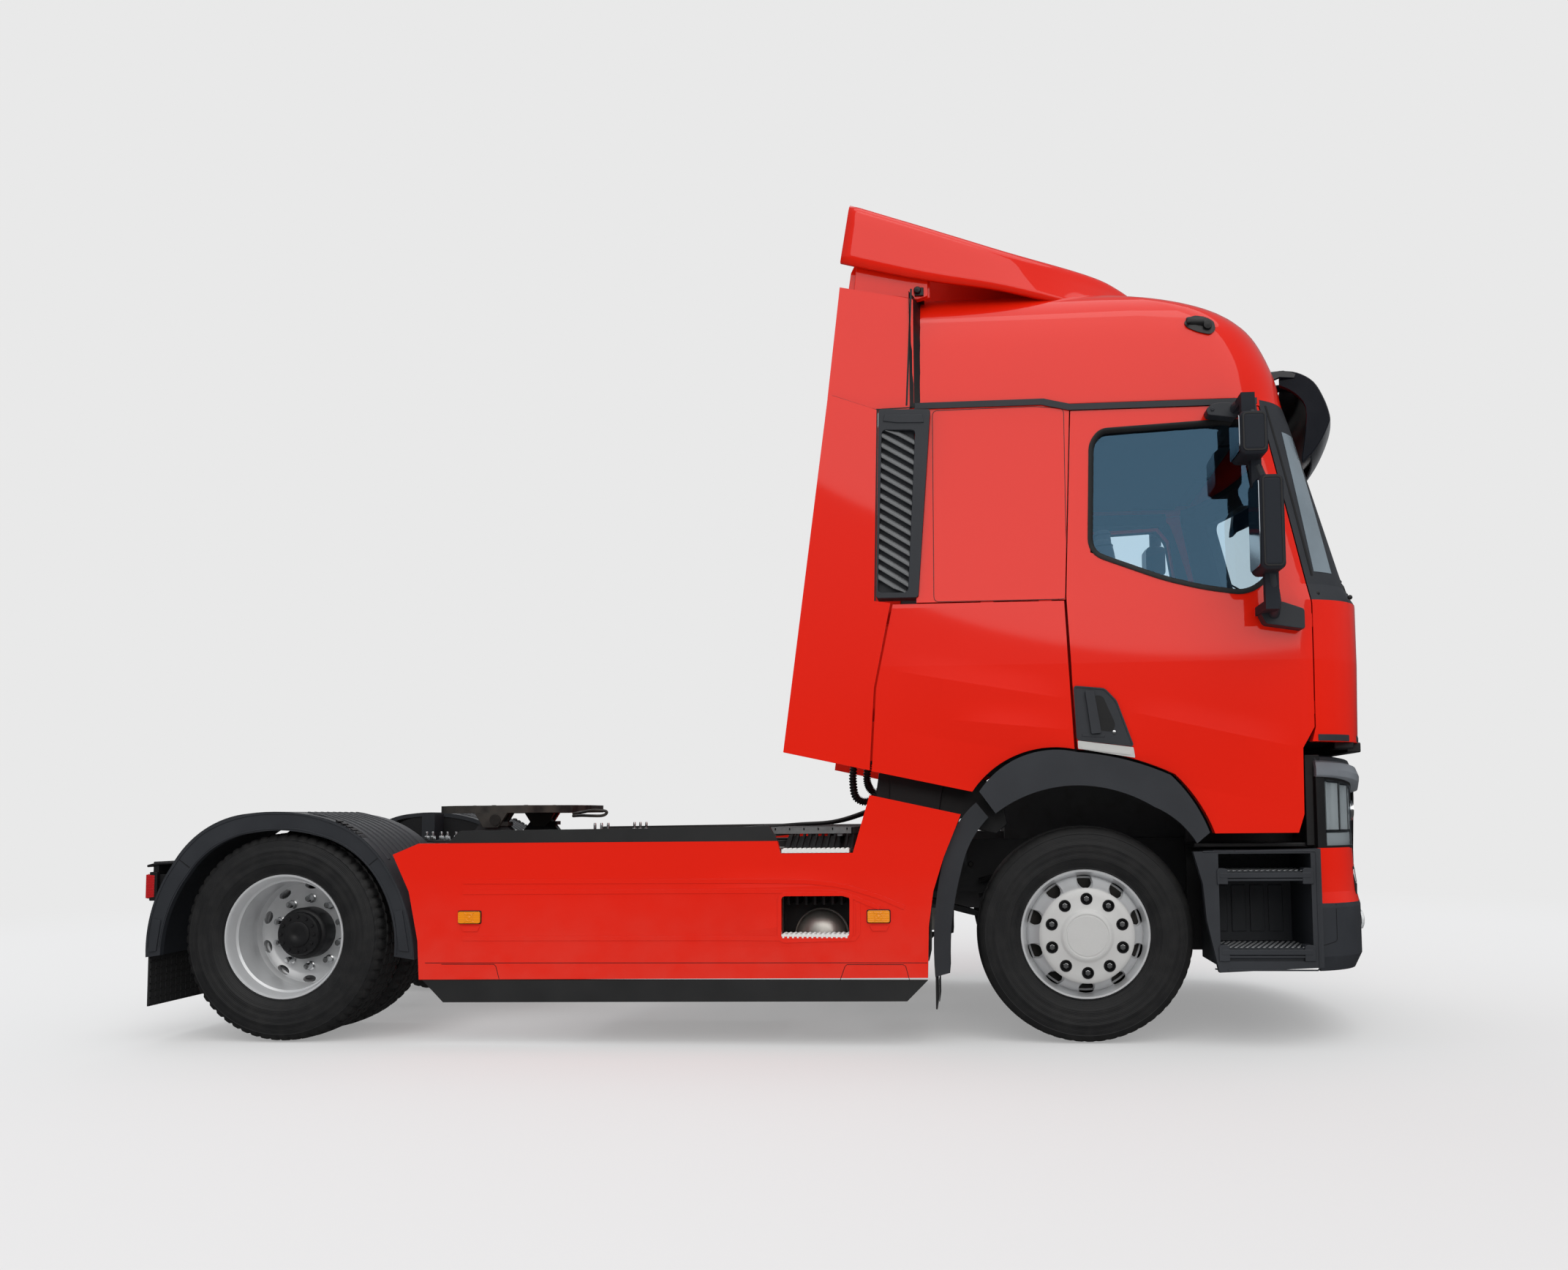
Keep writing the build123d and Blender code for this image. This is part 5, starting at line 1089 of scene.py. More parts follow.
def deflector_skin():
    rings = []
    for x, wide, narrow, top, low in smooth_rows(DEFLECTOR_LINES, 5):
        slant = 0.16 * max(0.0, 1.0 - (x - 430) / 500)
        eave = top - DEFLECTOR_ROUND
        foot = wide + (narrow - wide) * (low - DEFLECTOR_FOOT_Z) / (eave - DEFLECTOR_FOOT_Z)
        half = between((foot, low), (narrow, eave), 5)
        half += [(narrow - 7, top - 38), (narrow - 24, top - 18), (narrow - 48, top - 6), (narrow - 90, top)]
        half += [(narrow * 0.75, top + 2), (narrow * 0.5, top + 4), (narrow * 0.25, top + 5), (0, top + 5)]
        line = [(x + slant * (z - 3730), -y, min(z, DEFLECTOR_TOP_Z)) for y, z in half]
        rings.append(line + [(a, -b, c) for a, b, c in reversed(line[:-1])])
    made = Form().shell(rings, False, False).piece("deflector_skin", "body_paint", "cab", angle=50.0)
    thickened(made, DEFLECTOR_WALL)
    edge = Form().prism([(492, 3600), (800, 3545), (850, 3560), (850, 3650), (550, 3790), (510, 3790)],
        (-1130, -1105))
    edge.box((505, 530), (-1110, 1110), (3760, 3800))
    edge.pair("deflector_foot", "body_paint", "cab", bevel=3)
    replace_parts(made, "roof_deflector")


def visor_skin():
    loop = smooth_rows(VISOR_OUTER, 4) + smooth_rows(VISOR_INNER, 3)
    angles = [VISOR_SWING * (k / 18 - 1) for k in range(37)]
    visor = Form().shell([[visor_point(x, z, a) for x, z in loop] for a in angles])
    cheek = smooth_rows(VISOR_OUTER, 4) + smooth_rows(VISOR_CHEEK, 3)
    for way in (-1, 1):
        visor.shell([[visor_point(x, z, way * a) for x, z in cheek]
            for a in (VISOR_SWING - 0.7, VISOR_SWING + 0.02)])
    for y in (-860, -650, 0, 650, 860):
        lug = [(-520, 115), (-520, 170), (-420, 222), (-300, 232), (-240, 212), (-248, 190), (-320, 196)]
        visor.prism([(CAB_FRONT_X + x - bow(y), SEAM_Z + z) for x, z in lug], (y - 11, y + 11))
    made = visor.piece("visor_skin", "visor_gloss", "cab", bevel=4, angle=40.0)
    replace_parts(made, "sun_visor")


class TRACTOR_OT_cab_skins(bpy.types.Operator):
    """Smooth roof, roof deflector and gloss visor"""

    bl_idname = "tractor.cab_skins"
    bl_label = "Cab skins"

    def execute(self, context):
        roof_skin()
        deflector_skin()
        visor_skin()
        return {"FINISHED"}


# ---- Cab trim ----
GRILLE_FRAME = [(611, 2978), (857, 2970), (790, 2073), (591, 2073)]
GRILLE_MOUTH = [(626, 2877), (784, 2872), (742, 2098), (600, 2098)]
MOUTH_FOOT_Z, MOUTH_TOP_Z = 2098, 2877
SLAT_FIRST_Z, SLAT_LOW_Z, SLAT_HIGH_Z, SLAT_DROP = 2925, 2090, 2884, 95
SLAT_SECTION = ((0, -1203), (-5, -1213), (-12, -1222), (-21, -1227), (-29, -1226), (-31, -1220), (-14, -1205))
AIR_HOSES = (((430, -620, 1330), (440, -640, 1150), (560, -640, 1180)),
             ((500, -600, 1320), (512, -610, 1190), (585, -610, 1215)))
HANDLE_PLATE = [(1503, 1642), (1640, 1628), (1692, 1572), (1765, 1364), (1513, 1397)]
HANDLE_HOLLOW = [(1592, 1600), (1632, 1596), (1688, 1462), (1672, 1430), (1600, 1438)]
HANDLE_BAR = [(1550, 1620), (1592, 1618), (1622, 1425), (1576, 1420)]
HANDLE_STRIP = [(1514, 1392), (1766, 1358), (1773, 1309), (1515, 1354)]
GLASS_BACK, GLASS_FOOT_Z, GLASS_HEIGHT, GLASS_LEAN = 54, 2130, 730, 209
MIRROR_FOOT = [(2333, 1968), (2380, 2002), (2432, 2008), (2534, 1971), (2534, 1878), (2362, 1906)]
MIRROR_BRACKET = [(2129, 2915), (2160, 2940), (2201, 2945), (2317, 2933), (2341, 2872),
    (2290, 2866), (2136, 2887)]


def ringed(form, outer, inner, y_out, y_in):
    """A flat frame between two outlines with as many points."""
    rows = [(outer, y_in), (outer, y_out), (inner, y_out), (inner, y_in)]
    rings = [[(x, y, z) for x, z in line] for line, y in rows]
    return form.shell(rings + [rings[0]], True, False)


def grille_frames():
    frame_form = ringed(Form(), rounded(GRILLE_FRAME, 14), rounded(GRILLE_MOUTH, 22), -1231, -1196)
    frame_form.prism([(614, 2970), (779, 2966), (779, 2078), (594, 2078)], (-1198, -1102))
    frame_form.prism([(640, 2950), (820, 2945), (826, 2905), (700, 2908), (632, 2918)], (-1236, -1230))
    made = frame_form.pair("grille_frames", "plastic", "cab", bevel=3)
    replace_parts(made, "rear_grilles")


def grille_slats():
    """Slats of the tall grilles, kept to the height of the mouth and leaning with its edges."""
    slats = Form()
    count = sizes().slats
    for k in range(count + 2):
        top = SLAT_FIRST_Z - k * (SLAT_FIRST_Z - SLAT_LOW_Z) / (count + 0.2)
        rings = []
        for t in (0.0, 0.5, 1.0):
            mid = top - SLAT_DROP * t
            share = min(max((mid - MOUTH_FOOT_Z) / (MOUTH_TOP_Z - MOUTH_FOOT_Z), 0.0), 1.0)
            low_x, high_x = 600 + 26 * share, 742 + 42 * share
            x = low_x - 4 + (high_x - low_x + 8) * t
            rings.append([(x, y, min(max(mid + dz, SLAT_LOW_Z), SLAT_HIGH_Z)) for dz, y in SLAT_SECTION])
        if top - SLAT_DROP > 2070 and top - 31 < 2960:
            slats.shell(rings)
    slats.pair("grille_slats", "slat_plastic", "cab", bevel=1.2, angle=50.0)


def roof_pods():
    pod = Form()
    base = [(2059, 3372), (2080, 3395), (2118, 3409), (2170, 3398), (2203, 3378), (2206, 3330), (2178, 3303),
        (2120, 3318), (2070, 3345)]
    Skin("cab_roof").lay(pod, rounded(base, 14), 9, 30)
    pod.turned([(0.1, -70), (26, -68), (31, -58), (31, 12), (0.1, 14)], (2140, -1128, 3372), 28, axis="x")
    pod.turned([(0.1, -16), (19, -14), (21, 0), (17, 34), (0.1, 36)], (2168, -1150, 3352), 24)
    pod.turned([(0.1, -4), (8, -3), (8, 6), (0.1, 7)], (2078, -1168, 3368), 12)
    pod.pair("roof_pods", "black_plastic", "cab", bevel=2.5)


def wipers():
    arms = Form()
    for y, reach in ((-760, 690), (-120, 690), (480, 560)):
        def on_glass(dy, z):
            back = GLASS_BACK + (z - GLASS_FOOT_Z) / GLASS_HEIGHT * GLASS_LEAN
            return (CAB_FRONT_X - back - bow(y + dy) + 14, y + dy, z)
        arms.tube([on_glass(0, 2105), on_glass(20, 2160), on_glass(reach * 0.5, 2330)], 7, 8)
        blade = [on_glass(reach * t, 2170 + 330 * t) for t in (0.05, 0.3, 0.5, 0.7, 0.98)]
        arms.tube(blade, 6, 6)
        arms.turned([(0.1, -26), (24, -22), (26, 0), (0.1, 4)], on_glass(0, 2098), 20, axis="x")
    arms.piece("wipers", "black_plastic", "cab")


def windscreen_edges():
    """Rubber strips beside the windscreen, and the dark glass that wraps round to them, made opaque with a
    grey-blue that is painted reflection.
    """
    strips = Form()
    skin = Skin("windscreen_surround")
    line = [(2428, 2960), (2478, 2740), (2532, 2480), (2600, 2140)]
    path = [p for a, b in zip(line, line[1:]) for p in between(a, b, 6)[:-1]] + [line[-1]]
    skin.ribbon(strips, path, 10, 2)
    strips.pair("pillar_strips", "seal_rubber", "cab")
    wraps = Form()
    rings = []
    for z in range(2160, 2841, 40):
        edge = 2612 - (z - 2150) * 0.155
        reach = 78 + (2850 - z) * 0.03
        row = [(edge + reach * t, z) for t in (0, 0.2, 0.4, 0.6, 0.8, 1.0)]
        face = [(x, skin.y(x, z) - 2.5, z) for x, z in row]
        rings.append(face + [(x - 3, y + 5, z) for x, y, z in face[::-1]])
    wraps.shell(rings).pair("windscreen_wraps", "glass_edge", "cab", angle=60.0)


def scuttle_filler():
    filler = Form().box((2785, 2850), (-990, 990), (1332, 1379))
    filler.box((2700, 2790), (-1090, -960), (1345, 1379)).box((2700, 2790), (960, 1090), (1345, 1379))
    filler.piece("scuttle_filler", "black_plastic", "cab", "floor_dark", bevel=6)


def rear_hoses():
    hoses = Form()
    for start, low, end in AIR_HOSES:
        turn = smooth_rows([start, ((start[0] + low[0]) / 2 - 12, start[1], 1240), low,
            ((low[0] + end[0]) / 2, low[1], low[2] - 22), end, (end[0] + 90, end[1], 1320)], 26)
        hoses.tube(turn, 21, 12, pulse=lambda k: 1.0 if k % 4 < 2 else 0.74)
    hoses.box((420, 700), (-660, -580), (1318, 1334)).box((640, 790), (-660, -580), (1318, 1334))
    hoses.piece("rear_hoses", "black_plastic", "cab", angle=60.0)


class TRACTOR_OT_cab_trim(bpy.types.Operator):
    """Tall grilles, roof pods, wipers, strips beside the windscreen, scuttle and air hoses"""

    bl_idname = "tractor.cab_trim"
    bl_label = "Cab trim"

    def execute(self, context):
        grille_frames()
        grille_slats()
        roof_pods()
        wipers()
        windscreen_edges()
        scuttle_filler()
        rear_hoses()
        return {"FINISHED"}


def window_rubber(leaf, side, way):
    window = rounded(DOOR_WINDOW, 70, 6)
    edge = [p for k in range(len(window)) for p in between(window[k - 1], window[k], 2)[:-1]]
    outer, inner = grown(edge, 13), grown(edge, -12)
    rows = ((outer, 2), (outer, -4), (edge, -6), (inner, 4), (inner, 20))
    rings = [[(x, leaf.y(*o) + dy, z) for (x, z), o in zip(line, outer)] for line, dy in rows]
    seal = Form().shell(rings, True, False).on_side(way)
    seal.piece(f"window_rubber_{side}", "seal_rubber", f"door_{side}", "rubber", angle=50.0)


def door_handle(leaf, side, way):
    body = f"door_{side}"
    plate, dark, bar, strip = Form(), Form(), Form(), Form()
    leaf.lay(plate, rounded(HANDLE_PLATE, 12), 5, 4)
    leaf.ribbon(plate, rounded(HANDLE_PLATE, 12), 7, 8, 2, closed=True)
    # The finger hollow is a flat black patch: painted shade of a recess that is not modelled.
    leaf.lay(dark, rounded(HANDLE_HOLLOW, 18), 5.6, 2)
    leaf.lay(bar, rounded(HANDLE_BAR, 7), 19, -9)
    leaf.lay(bar, rounded([(1552, 1618), (1590, 1616), (1593, 1588), (1556, 1590)], 4), 10, 2)
    leaf.lay(bar, rounded([(1574, 1450), (1616, 1452), (1622, 1425), (1576, 1420)], 4), 10, 2)
    leaf.lay(bar, rounded([(1535, 1425), (1640, 1418), (1636, 1404), (1534, 1410)], 3), 7, 2)
    leaf.lay(strip, rounded(HANDLE_STRIP, 5), 5)
    leaf.lay(strip, rounded([(1530, 1366), (1752, 1336), (1756, 1322), (1530, 1352)], 4), 7.5, 2)
    plate.on_side(way).piece(f"handle_plate_{side}", "plastic", body, bevel=1.5)
    dark.on_side(way).piece(f"handle_hollow_painted_shade_{side}", "black_plastic", body)
    bar.on_side(way).piece(f"handle_bar_{side}", "plastic", body, bevel=3)
    strip.on_side(way).piece(f"handle_strip_{side}", "strip_metal", body, bevel=2)
    lock = Form().turned([(0.1, -9), (3, -9), (8.5, -8), (9, -3), (9, 4), (0.1, 4)],
        (1680, leaf.y(1680, 1428), 1428), 20)
    lock.on_side(way).piece(f"door_lock_{side}", "bright_metal", body)


def mirror(side, way):
    body = f"door_{side}"
    fitting = Form().prism(rounded(MIRROR_FOOT, 14), (-1296, -1216))
    fitting.prism(rounded(MIRROR_BRACKET, 12), (-1262, -1189))
    for x, z in ((2158, 2912), (2310, 2900)):
        fitting.turned([(0.1, -6), (9, -5), (9, 2), (0.1, 3)], (x, -1263, z), 14)
    fitting.tube([(2362, -1420, 2120), (2368, -1420, 2060), (2385, -1390, 1985), (2400, -1290, 1950)], 25, 12)
    fitting.tube([(2310, -1420, 2600), (2325, -1420, 2560), (2352, -1420, 2500)], 24, 12)
    fitting.tube([(2300, -1420, 2830), (2296, -1400, 2905), (2270, -1300, 2915), (2255, -1220, 2912)], 26, 12)
    fitting.on_side(way).piece(f"mirror_fittings_{side}", "plastic", body, bevel=4, angle=50.0)
    glass = Form().prism(rounded(oblong((-1546, -1346), (2128, 2512)), 26), (2287.5, 2292), "x")
    glass.prism(rounded(oblong((-1546, -1346), (2634, 2800)), 22), (2212.5, 2217), "x")
    glass.on_side(way).piece(f"mirror_glass_{side}", "mirror_glass", body, bevel=1)
    band = Form()
    for x0, x1, z0, z1 in ((2302, 2388, 2120, 2518), (2227, 2328, 2632, 2803)):
        line = rounded(oblong((x0, x1), (z0, z1)), 22)
        ringed(band, line, grown(line, -7), -1560, -1552)
    band.on_side(way).piece(f"mirror_bands_{side}", "black_plastic", body)


class TRACTOR_OT_doors(bpy.types.Operator):
    """Window rubbers, handles and mirror fittings on the doors"""

    bl_idname = "tractor.doors"
    bl_label = "Door fittings"

    def execute(self, context):
        leaf = Skin("door_right")
        for side, way in SIDES:
            window_rubber(leaf, side, way)
            door_handle(leaf, side, way)
            mirror(side, way)
        return {"FINISHED"}


# ---- Front end ----
FRONT_END_HALF, FRONT_END_REAR = 1162.0, 2600.0
# Bands of the front end: rear and front height, how far back, how much narrower.
BROW_ROWS = [(1216, 1148, 40, 16), (1224, 1156, 14, 13), (1250, 1190, 8, 12),
    (1284, 1236, 24, 20), (1292, 1244, 44, 30)]
BROW_CAP_ROWS = [(1286, 1238, 46, 32), (1310, 1276, 58, 36), (1318, 1296, 110, 46), (1316, 1300, 175, 70)]
LENS_ROWS = [(893, 893, 52, 11), (1050, 1050, 50, 14), (1218, 1150, 52, 18)]
LAMP_BACK_ROWS = [(893, 893, 120, 75), (1218, 1150, 120, 80)]
LAMP_EDGE_ROWS = [(891, 891, 49, 8), (1050, 1050, 47, 11), (1222, 1154, 49, 15)]
LAMP_INNER_Y = 700.0
REFLECTORS = ((0.09, 0.22), (0.25, 0.38), (0.42, 0.56), (0.60, 0.74), (0.78, 0.90))


def front_point(t, z, back, narrower, inset=0.0):
    """Point on the front end's right half: t is 0 at its rear end and 1 near the middle."""
    centre_x = CAB_FRONT_X - back - FRONT_ARC
    corner_y = FRONT_END_HALF - narrower - CORNER
    corner_x = centre_x + sqrt((FRONT_ARC - CORNER) ** 2 - corner_y ** 2)
    end = atan2(corner_y, corner_x - centre_x)
    start = acos(min(max((FRONT_END_REAR - corner_x) / CORNER, -1.0), 1.0))
    if t < 0.5:
        a = start + (end - start) * t / 0.5
        r = CORNER - inset
        return (corner_x + r * cos(a), -corner_y - r * sin(a), z)
    a = end + (asin(LAMP_INNER_Y / FRONT_ARC) - end) * (t - 0.5) / 0.5
    r = FRONT_ARC - inset
    return (centre_x + r * cos(a), -r * sin(a), z)


def front_shell(form, rows, wall, share=(0.0, 1.0), steps=18):
    """A curved panel of the front end through rows, with a wall behind it."""
    rings = []
    for k in range(steps + 1):
        t = share[0] + (share[1] - share[0]) * k / steps
        ease = t * t * (3 - 2 * t)
        face, lining = ([front_point(t, rear + (front - rear) * ease, back, narrow, inset)
            for rear, front, back, narrow in rows] for inset in (0.0, wall))
        rings.append(face + lining[::-1])
    return form.shell(rings)


BAR_SUNK = 4.0


class FrontFace(Face):
    """Face seen from ahead."""

    first = 2.95

    def x(self, y, z):
        """Way forward of the face at a width and a height, or just above where the face ends."""
        for lift in (0, 15, 30, 45):
            hit = self.hit((4.0, y * MM, (z + lift) * MM), (-1, 0, 0))
            if hit is not None and hit.x > NEAREST_FRONT:
                self.last = hit.x
                break
        return self.last / MM

    def bar(self, form, y, z, proud, steps):
        """A bar across the face between two heights, sloping where z has four values."""
        ends = z if len(z) == 4 else (*z, *z)
        rings = []
        for k in range(steps + 1):
            t = k / steps
            at = y[0] + (y[1] - y[0]) * t
            low, high = ends[0] + (ends[2] - ends[0]) * t, ends[1] + (ends[3] - ends[1]) * t
            a, b = self.x(at, low + 1), self.x(at, high - 1)
            rings.append([(a - BAR_SUNK, at, low), (a + proud * 0.6, at, low),
                (a + proud, at, low + (high - low) * 0.3), (b + proud, at, high - (high - low) * 0.25),
                (b + proud * 0.4, at, high), (b - BAR_SUNK, at, high)])
        return form.shell(rings)


def headlights():
    """Brows, lenses and the dark housings behind them."""
    brow = front_shell(Form(), BROW_ROWS, 26)
    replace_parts(brow.pair("headlight_brow_bands", "brow_paint", bevel=3, angle=50.0), "headlight_brows")
    cap = front_shell(Form(), BROW_CAP_ROWS, 24)
    front_shell(cap, [(1150, 1140, 90, 60), (1290, 1240, 70, 55)], 15)
    cap.pair("headlight_brow_caps", "plastic", bevel=3, angle=50.0)
    lens = front_shell(Form(), LENS_ROWS, 4)
    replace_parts(lens.pair("headlight_lenses", "lamp_glass", angle=50.0), "headlights")
    back = front_shell(Form(), LAMP_BACK_ROWS, 12)
    for share in ((0.0, 0.07), (0.93, 1.0)):
        front_shell(back, LAMP_EDGE_ROWS, 60, share, 3)
    front_shell(back, [(885, 885, 50, 9), (900, 900, 48, 9)], 70)
    front_shell(back, [(1205, 1138, 50, 17), (1222, 1154, 48, 15)], 60)
    front_shell(back, [(960, 960, 66, 28), (966, 966, 64, 27)], 50)
    back.pair("headlight_housings", "black_plastic", bevel=1.5, angle=50.0)


def reflectors():
    shine = Form()
    front_shell(shine, [(900, 900, 62, 24), (958, 958, 62, 26)], 6, (0.09, 0.92))
    for low, high in REFLECTORS:
        rings = []
        for k in range(9):
            t = low + (high - low) * k / 8
            dip = 26 * sin(pi * k / 8)
            heights = (972, 1040, 1100, 1150, 1200 - 60 * t)
            front = [front_point(t, z, 60 + dip, 22 + dip * 0.6) for z in heights]
            rings.append(front + [(a - 4, b + 4, c) for a, b, c in front[::-1]])
        shine.shell(rings)
    shine.pair("headlight_reflectors", "strip_metal", angle=60.0)
    bowls = Form()
    for t in (0.58, 0.80):
        x, y, z = front_point(t, 1060, 95, 60)
        bowls.turned([(0.1, 0), (30, 3), (44, 26), (48, 44), (51, 44), (48, 22), (34, -3), (0.1, -6)],
            (x, y, z), 32, axis="x", loop=False)
    bowls.pair("headlight_bowls", "bright_metal", angle=60.0)


def bumper_trim():
    """Corner lamps, seams, slats and grille backs, the blank plate and the fog lamps."""
    face = FrontFace("bumper", "corner_panels")
    lamps, wells = Form(), Form()
    face.bar(wells, (-985, -850), (668, 800, 684, 806), 2.0, steps=6)
    face.bar(lamps, (-972, -868), (690, 786, 700, 792), 5.0, steps=6)
    wells.pair("corner_lamp_wells", "black_plastic", bevel=3)
    lamps.pair("corner_lamps", "white_lens", bevel=3)
    skin = Skin("bumper")
    seams = Form()
    line = between((2672, 636), (2672, 476), 6) + between((2664, 466), (2602, 450), 5)
    skin.ribbon(seams, line, 3.2, 0.5)
    seams.pair("bumper_seams", "black_plastic")
    slats = Form()
    for k in range(9):
        z = 720 + k * 62
        face.bar(slats, (-660, 660), (z, z + 34), 9, steps=24)
    for k in range(4):
        z = 372 + k * 26
        face.bar(slats, (-560, 560), (z, z + 12), 5, steps=20)
    slats.piece("front_slats", "slat_plastic", bevel=2)
    mesh = Form()
    face.bar(mesh, (-690, 690), (700, 1262), 1.2, steps=24)
    face.bar(mesh, (-590, 590), (366, 470), 1.2, steps=20)
    mesh.piece("front_grille_backs", "black_plastic")
    plate = Form()
    face.bar(plate, (-262, 262), (512, 626), 9, steps=4)
    plate.piece("front_plate", "disc_paint", bevel=3)
    fog = Form()
    for y in (-800, -690):
        at = (face.x(y, 540), y, 540)
        fog.turned([(0.1, 9), (38, 7), (44, 4), (44, -8), (0.1, -8)], at, 30, axis="x")
    fog.pair("fog_lamps", "white_lens", angle=50.0)


def front_panel_trim():
    """Dark bars of the service flap and the lip under the front panel."""
    flap = FrontFace("service_flap")
    bands = Form()
    for k in range(5):
        z = 1604 + k * 74
        flap.bar(bands, (-800 + k * 12, 800 - k * 12), (z, z + 52), 1.5, steps=24)
    bands.piece("flap_bars", "black_plastic", "service_flap", bevel=3)
    lip, panel = Form(), FrontFace("front_panel")
    panel.bar(lip, (-1040, 1040), (1377, 1408), 3.0, steps=40)
    skin = Skin("front_panel")
    sides = Form()
    skin.ribbon(sides, between((2596, 1392), (2760, 1392), 9), 30, 3)
    lip.join(sides.both_sides())
    lip.piece("front_panel_lip", "plastic", "cab", bevel=2)


class TRACTOR_OT_front_end(bpy.types.Operator):
    """Headlights, brows, bumper lines, front grilles and the blank plate"""

    bl_idname = "tractor.front_end"
    bl_label = "Front end"

    def execute(self, context):
        headlights()
        reflectors()
        bumper_trim()
        front_panel_trim()
        return {"FINISHED"}


# ---- Steps, skirts and tanks ----
TREAD_TOPS = (448.0, 791.0)
SKIRT_WINDOW = [(139, 687), (456, 687), (454, 500), (138, 490)]
SKIRT_RIDGES = [
    [(-1380, 760), (-26, 758), (260, 753), (370, 742), (451, 727), (595, 682), (709, 633)],
    [(-1380, 494), (-26, 494), (430, 489), (478, 492), (494, 512), (496, 600), (494, 655)],
    [(-1380, 711), (260, 711), (400, 704), (470, 684), (540, 652), (595, 632)]]
SKIRT_LINES = [
    [(-1560, 380), (426, 382)], [(812, 382), (424, 382)],
    [(411, 306), (432, 364), (442, 374), (700, 374), (712, 366), (728, 306)],
    [(-1200, 306), (-1216, 364), (-1226, 374), (-1480, 374)]]
MARKERS = ((-1398, -1292), (539, 641))


def dense(path, gap=45.0):
    """The path with more points along it."""
    made = [path[0]]
    for a, b in zip(path, path[1:]):
        steps = max(1, int(dist(a, b) / gap))
        made += between(a, b, steps)[1:]
    return made


def treads():
    studs, edges = Form(), Form()
    for top in TREAD_TOPS:
        for row in range(9):
            for k in range(16):
                x = 2146 + k * 25 + (row % 2) * 12
                if x < 2530:
                    studs.turned([(0.1, 5), (4.5, 4.6), (7.5, 0), (0.1, -1)],
                        (x, -1238 + row * 34, top), 8, "z")
        edges.box((2131, 2532), (-1257, -1249), (top - 30, top - 6))
        edges.box((2131, 2532), (-1254, -1249), (top - 44, top - 34))
        for x in (2120, 2496):
            edges.prism([(x, top - 58), (x + 48, top - 58), (x + 48, top + 8), (x + 34, top + 14),
                (x + 8, top + 14), (x, top + 6)], (-1256, -1180))
    for top, rise in ((470.0, 240), (812.0, 50)):
        edges.row(4, (86, 0, 0), (2170, 2236), (-878, -868), (top + 20, top + rise))
    studs.pair("step_studs", "slat_plastic", angle=60.0)
    edges.pair("step_edges", "plastic", bevel=3)


def step_rims():
    skin = Skin("steps")
    rim = Form()
    line = [(2110, 350), (2552, 350), (2560, 362), (2560, 872), (2552, 880), (2060, 880)]
    skin.ribbon(rim, dense(line), 7, 3)
    rim.pair("step_rims", "plastic", bevel=2)


class TRACTOR_OT_steps(bpy.types.Operator):
    """Studded treads and brackets in the step wells"""

    bl_idname = "tractor.steps"
    bl_label = "Door steps"

    def execute(self, context):
        treads()
        step_rims()
        return {"FINISHED"}


def skirt_trim():
    """Pressed ridges, seams and side markers."""
    skin = Skin("skirts")
    ridges, seams, marks, lens = Form(), Form(), Form(), Form()
    for path in SKIRT_RIDGES:
        skin.ribbon(ridges, dense(path), 20, 2.4)
    ring = rounded(SKIRT_WINDOW, 22)
    skin.ribbon(ridges, dense(grown(ring, 9) + [grown(ring, 9)[0]], 60), 17, 3.5)
    for low, high in MARKERS:
        skin.lay(ridges, rounded([(low + 8, 553), (high - 2, 553), (high - 16, 527), (low + 22, 527)], 6), 4)
        skin.lay(marks, rounded(oblong((low - 4, high + 4), (562, 625)), 10), 3)
        skin.lay(lens, rounded(oblong((low, high), (566, 621)), 9), 13)
        mid = ((low + high) / 2, 593.5)
        lens.turned([(14, -17), (20, -17), (20, -8), (14, -8)], (mid[0], skin.y(*mid) + 2, mid[1]), 28)
        lens.turned([(0.1, -18), (6, -17), (8, -12), (8, -6), (0.1, -6)],
            (mid[0], skin.y(*mid) + 2, mid[1]), 20)
        for turn in (0.25, 0.75, 1.25, 1.75):
            a = pi * turn
            spot = [(mid[0] + r * cos(a), mid[1] + r * sin(a)) for r in (20, 34)]
            skin.ribbon(lens, spot, 4, 15.5, 2)
    for path in SKIRT_LINES:
        skin.ribbon(seams, dense(path), 2.6, 0.5)
    ridges.pair("skirt_ridges", "body_paint", bevel=1.3, angle=60.0)
    seams.pair("skirt_seams", "black_plastic")
    marks.pair("marker_seats", "black_plastic", bevel=1)
    lens.pair("side_markers", "amber_lens", bevel=1.2)


def tank_treads():
    """Silver treads in the skirt's window and dark grips above the tank."""
    silver, dark = Form(), Form()
    for x, z, y in (((139, 455), (492, 512), (-1252, -1150)), ((141, 455), (886, 903), (-1252, -1165))):
        silver.box(x, y, z)
        count = 14
        for k in range(count):
            at = x[0] + (x[1] - x[0]) * (k + 0.5) / count
            for row in range(3):
                silver.turned([(0.1, 5), (4.5, 4.6), (8, 0), (0.1, -1)],
                    (at, y[0] + 12 + row * 34, z[1]), 8, "z")
            silver.box((at - 7, at + 2), (y[0] - 3, y[0]), (z[0] + 3, z[1] - 3))
    for k in range(11):
        x = 152 + k * 30
        dark.prism([(-1160, 899), (-1160, 905), (-1000, 972), (-990, 972), (-990, 950)], (x, x + 13), "x")
    dark.prism([(-1166, 884), (-1166, 897), (-1000, 960), (-985, 960), (-985, 940),
        (-1150, 884)], (139, 470), "x")
    silver.pair("silver_treads", "tread_alloy", bevel=1)
    dark.pair("tank_steps", "black_plastic", bevel=2)


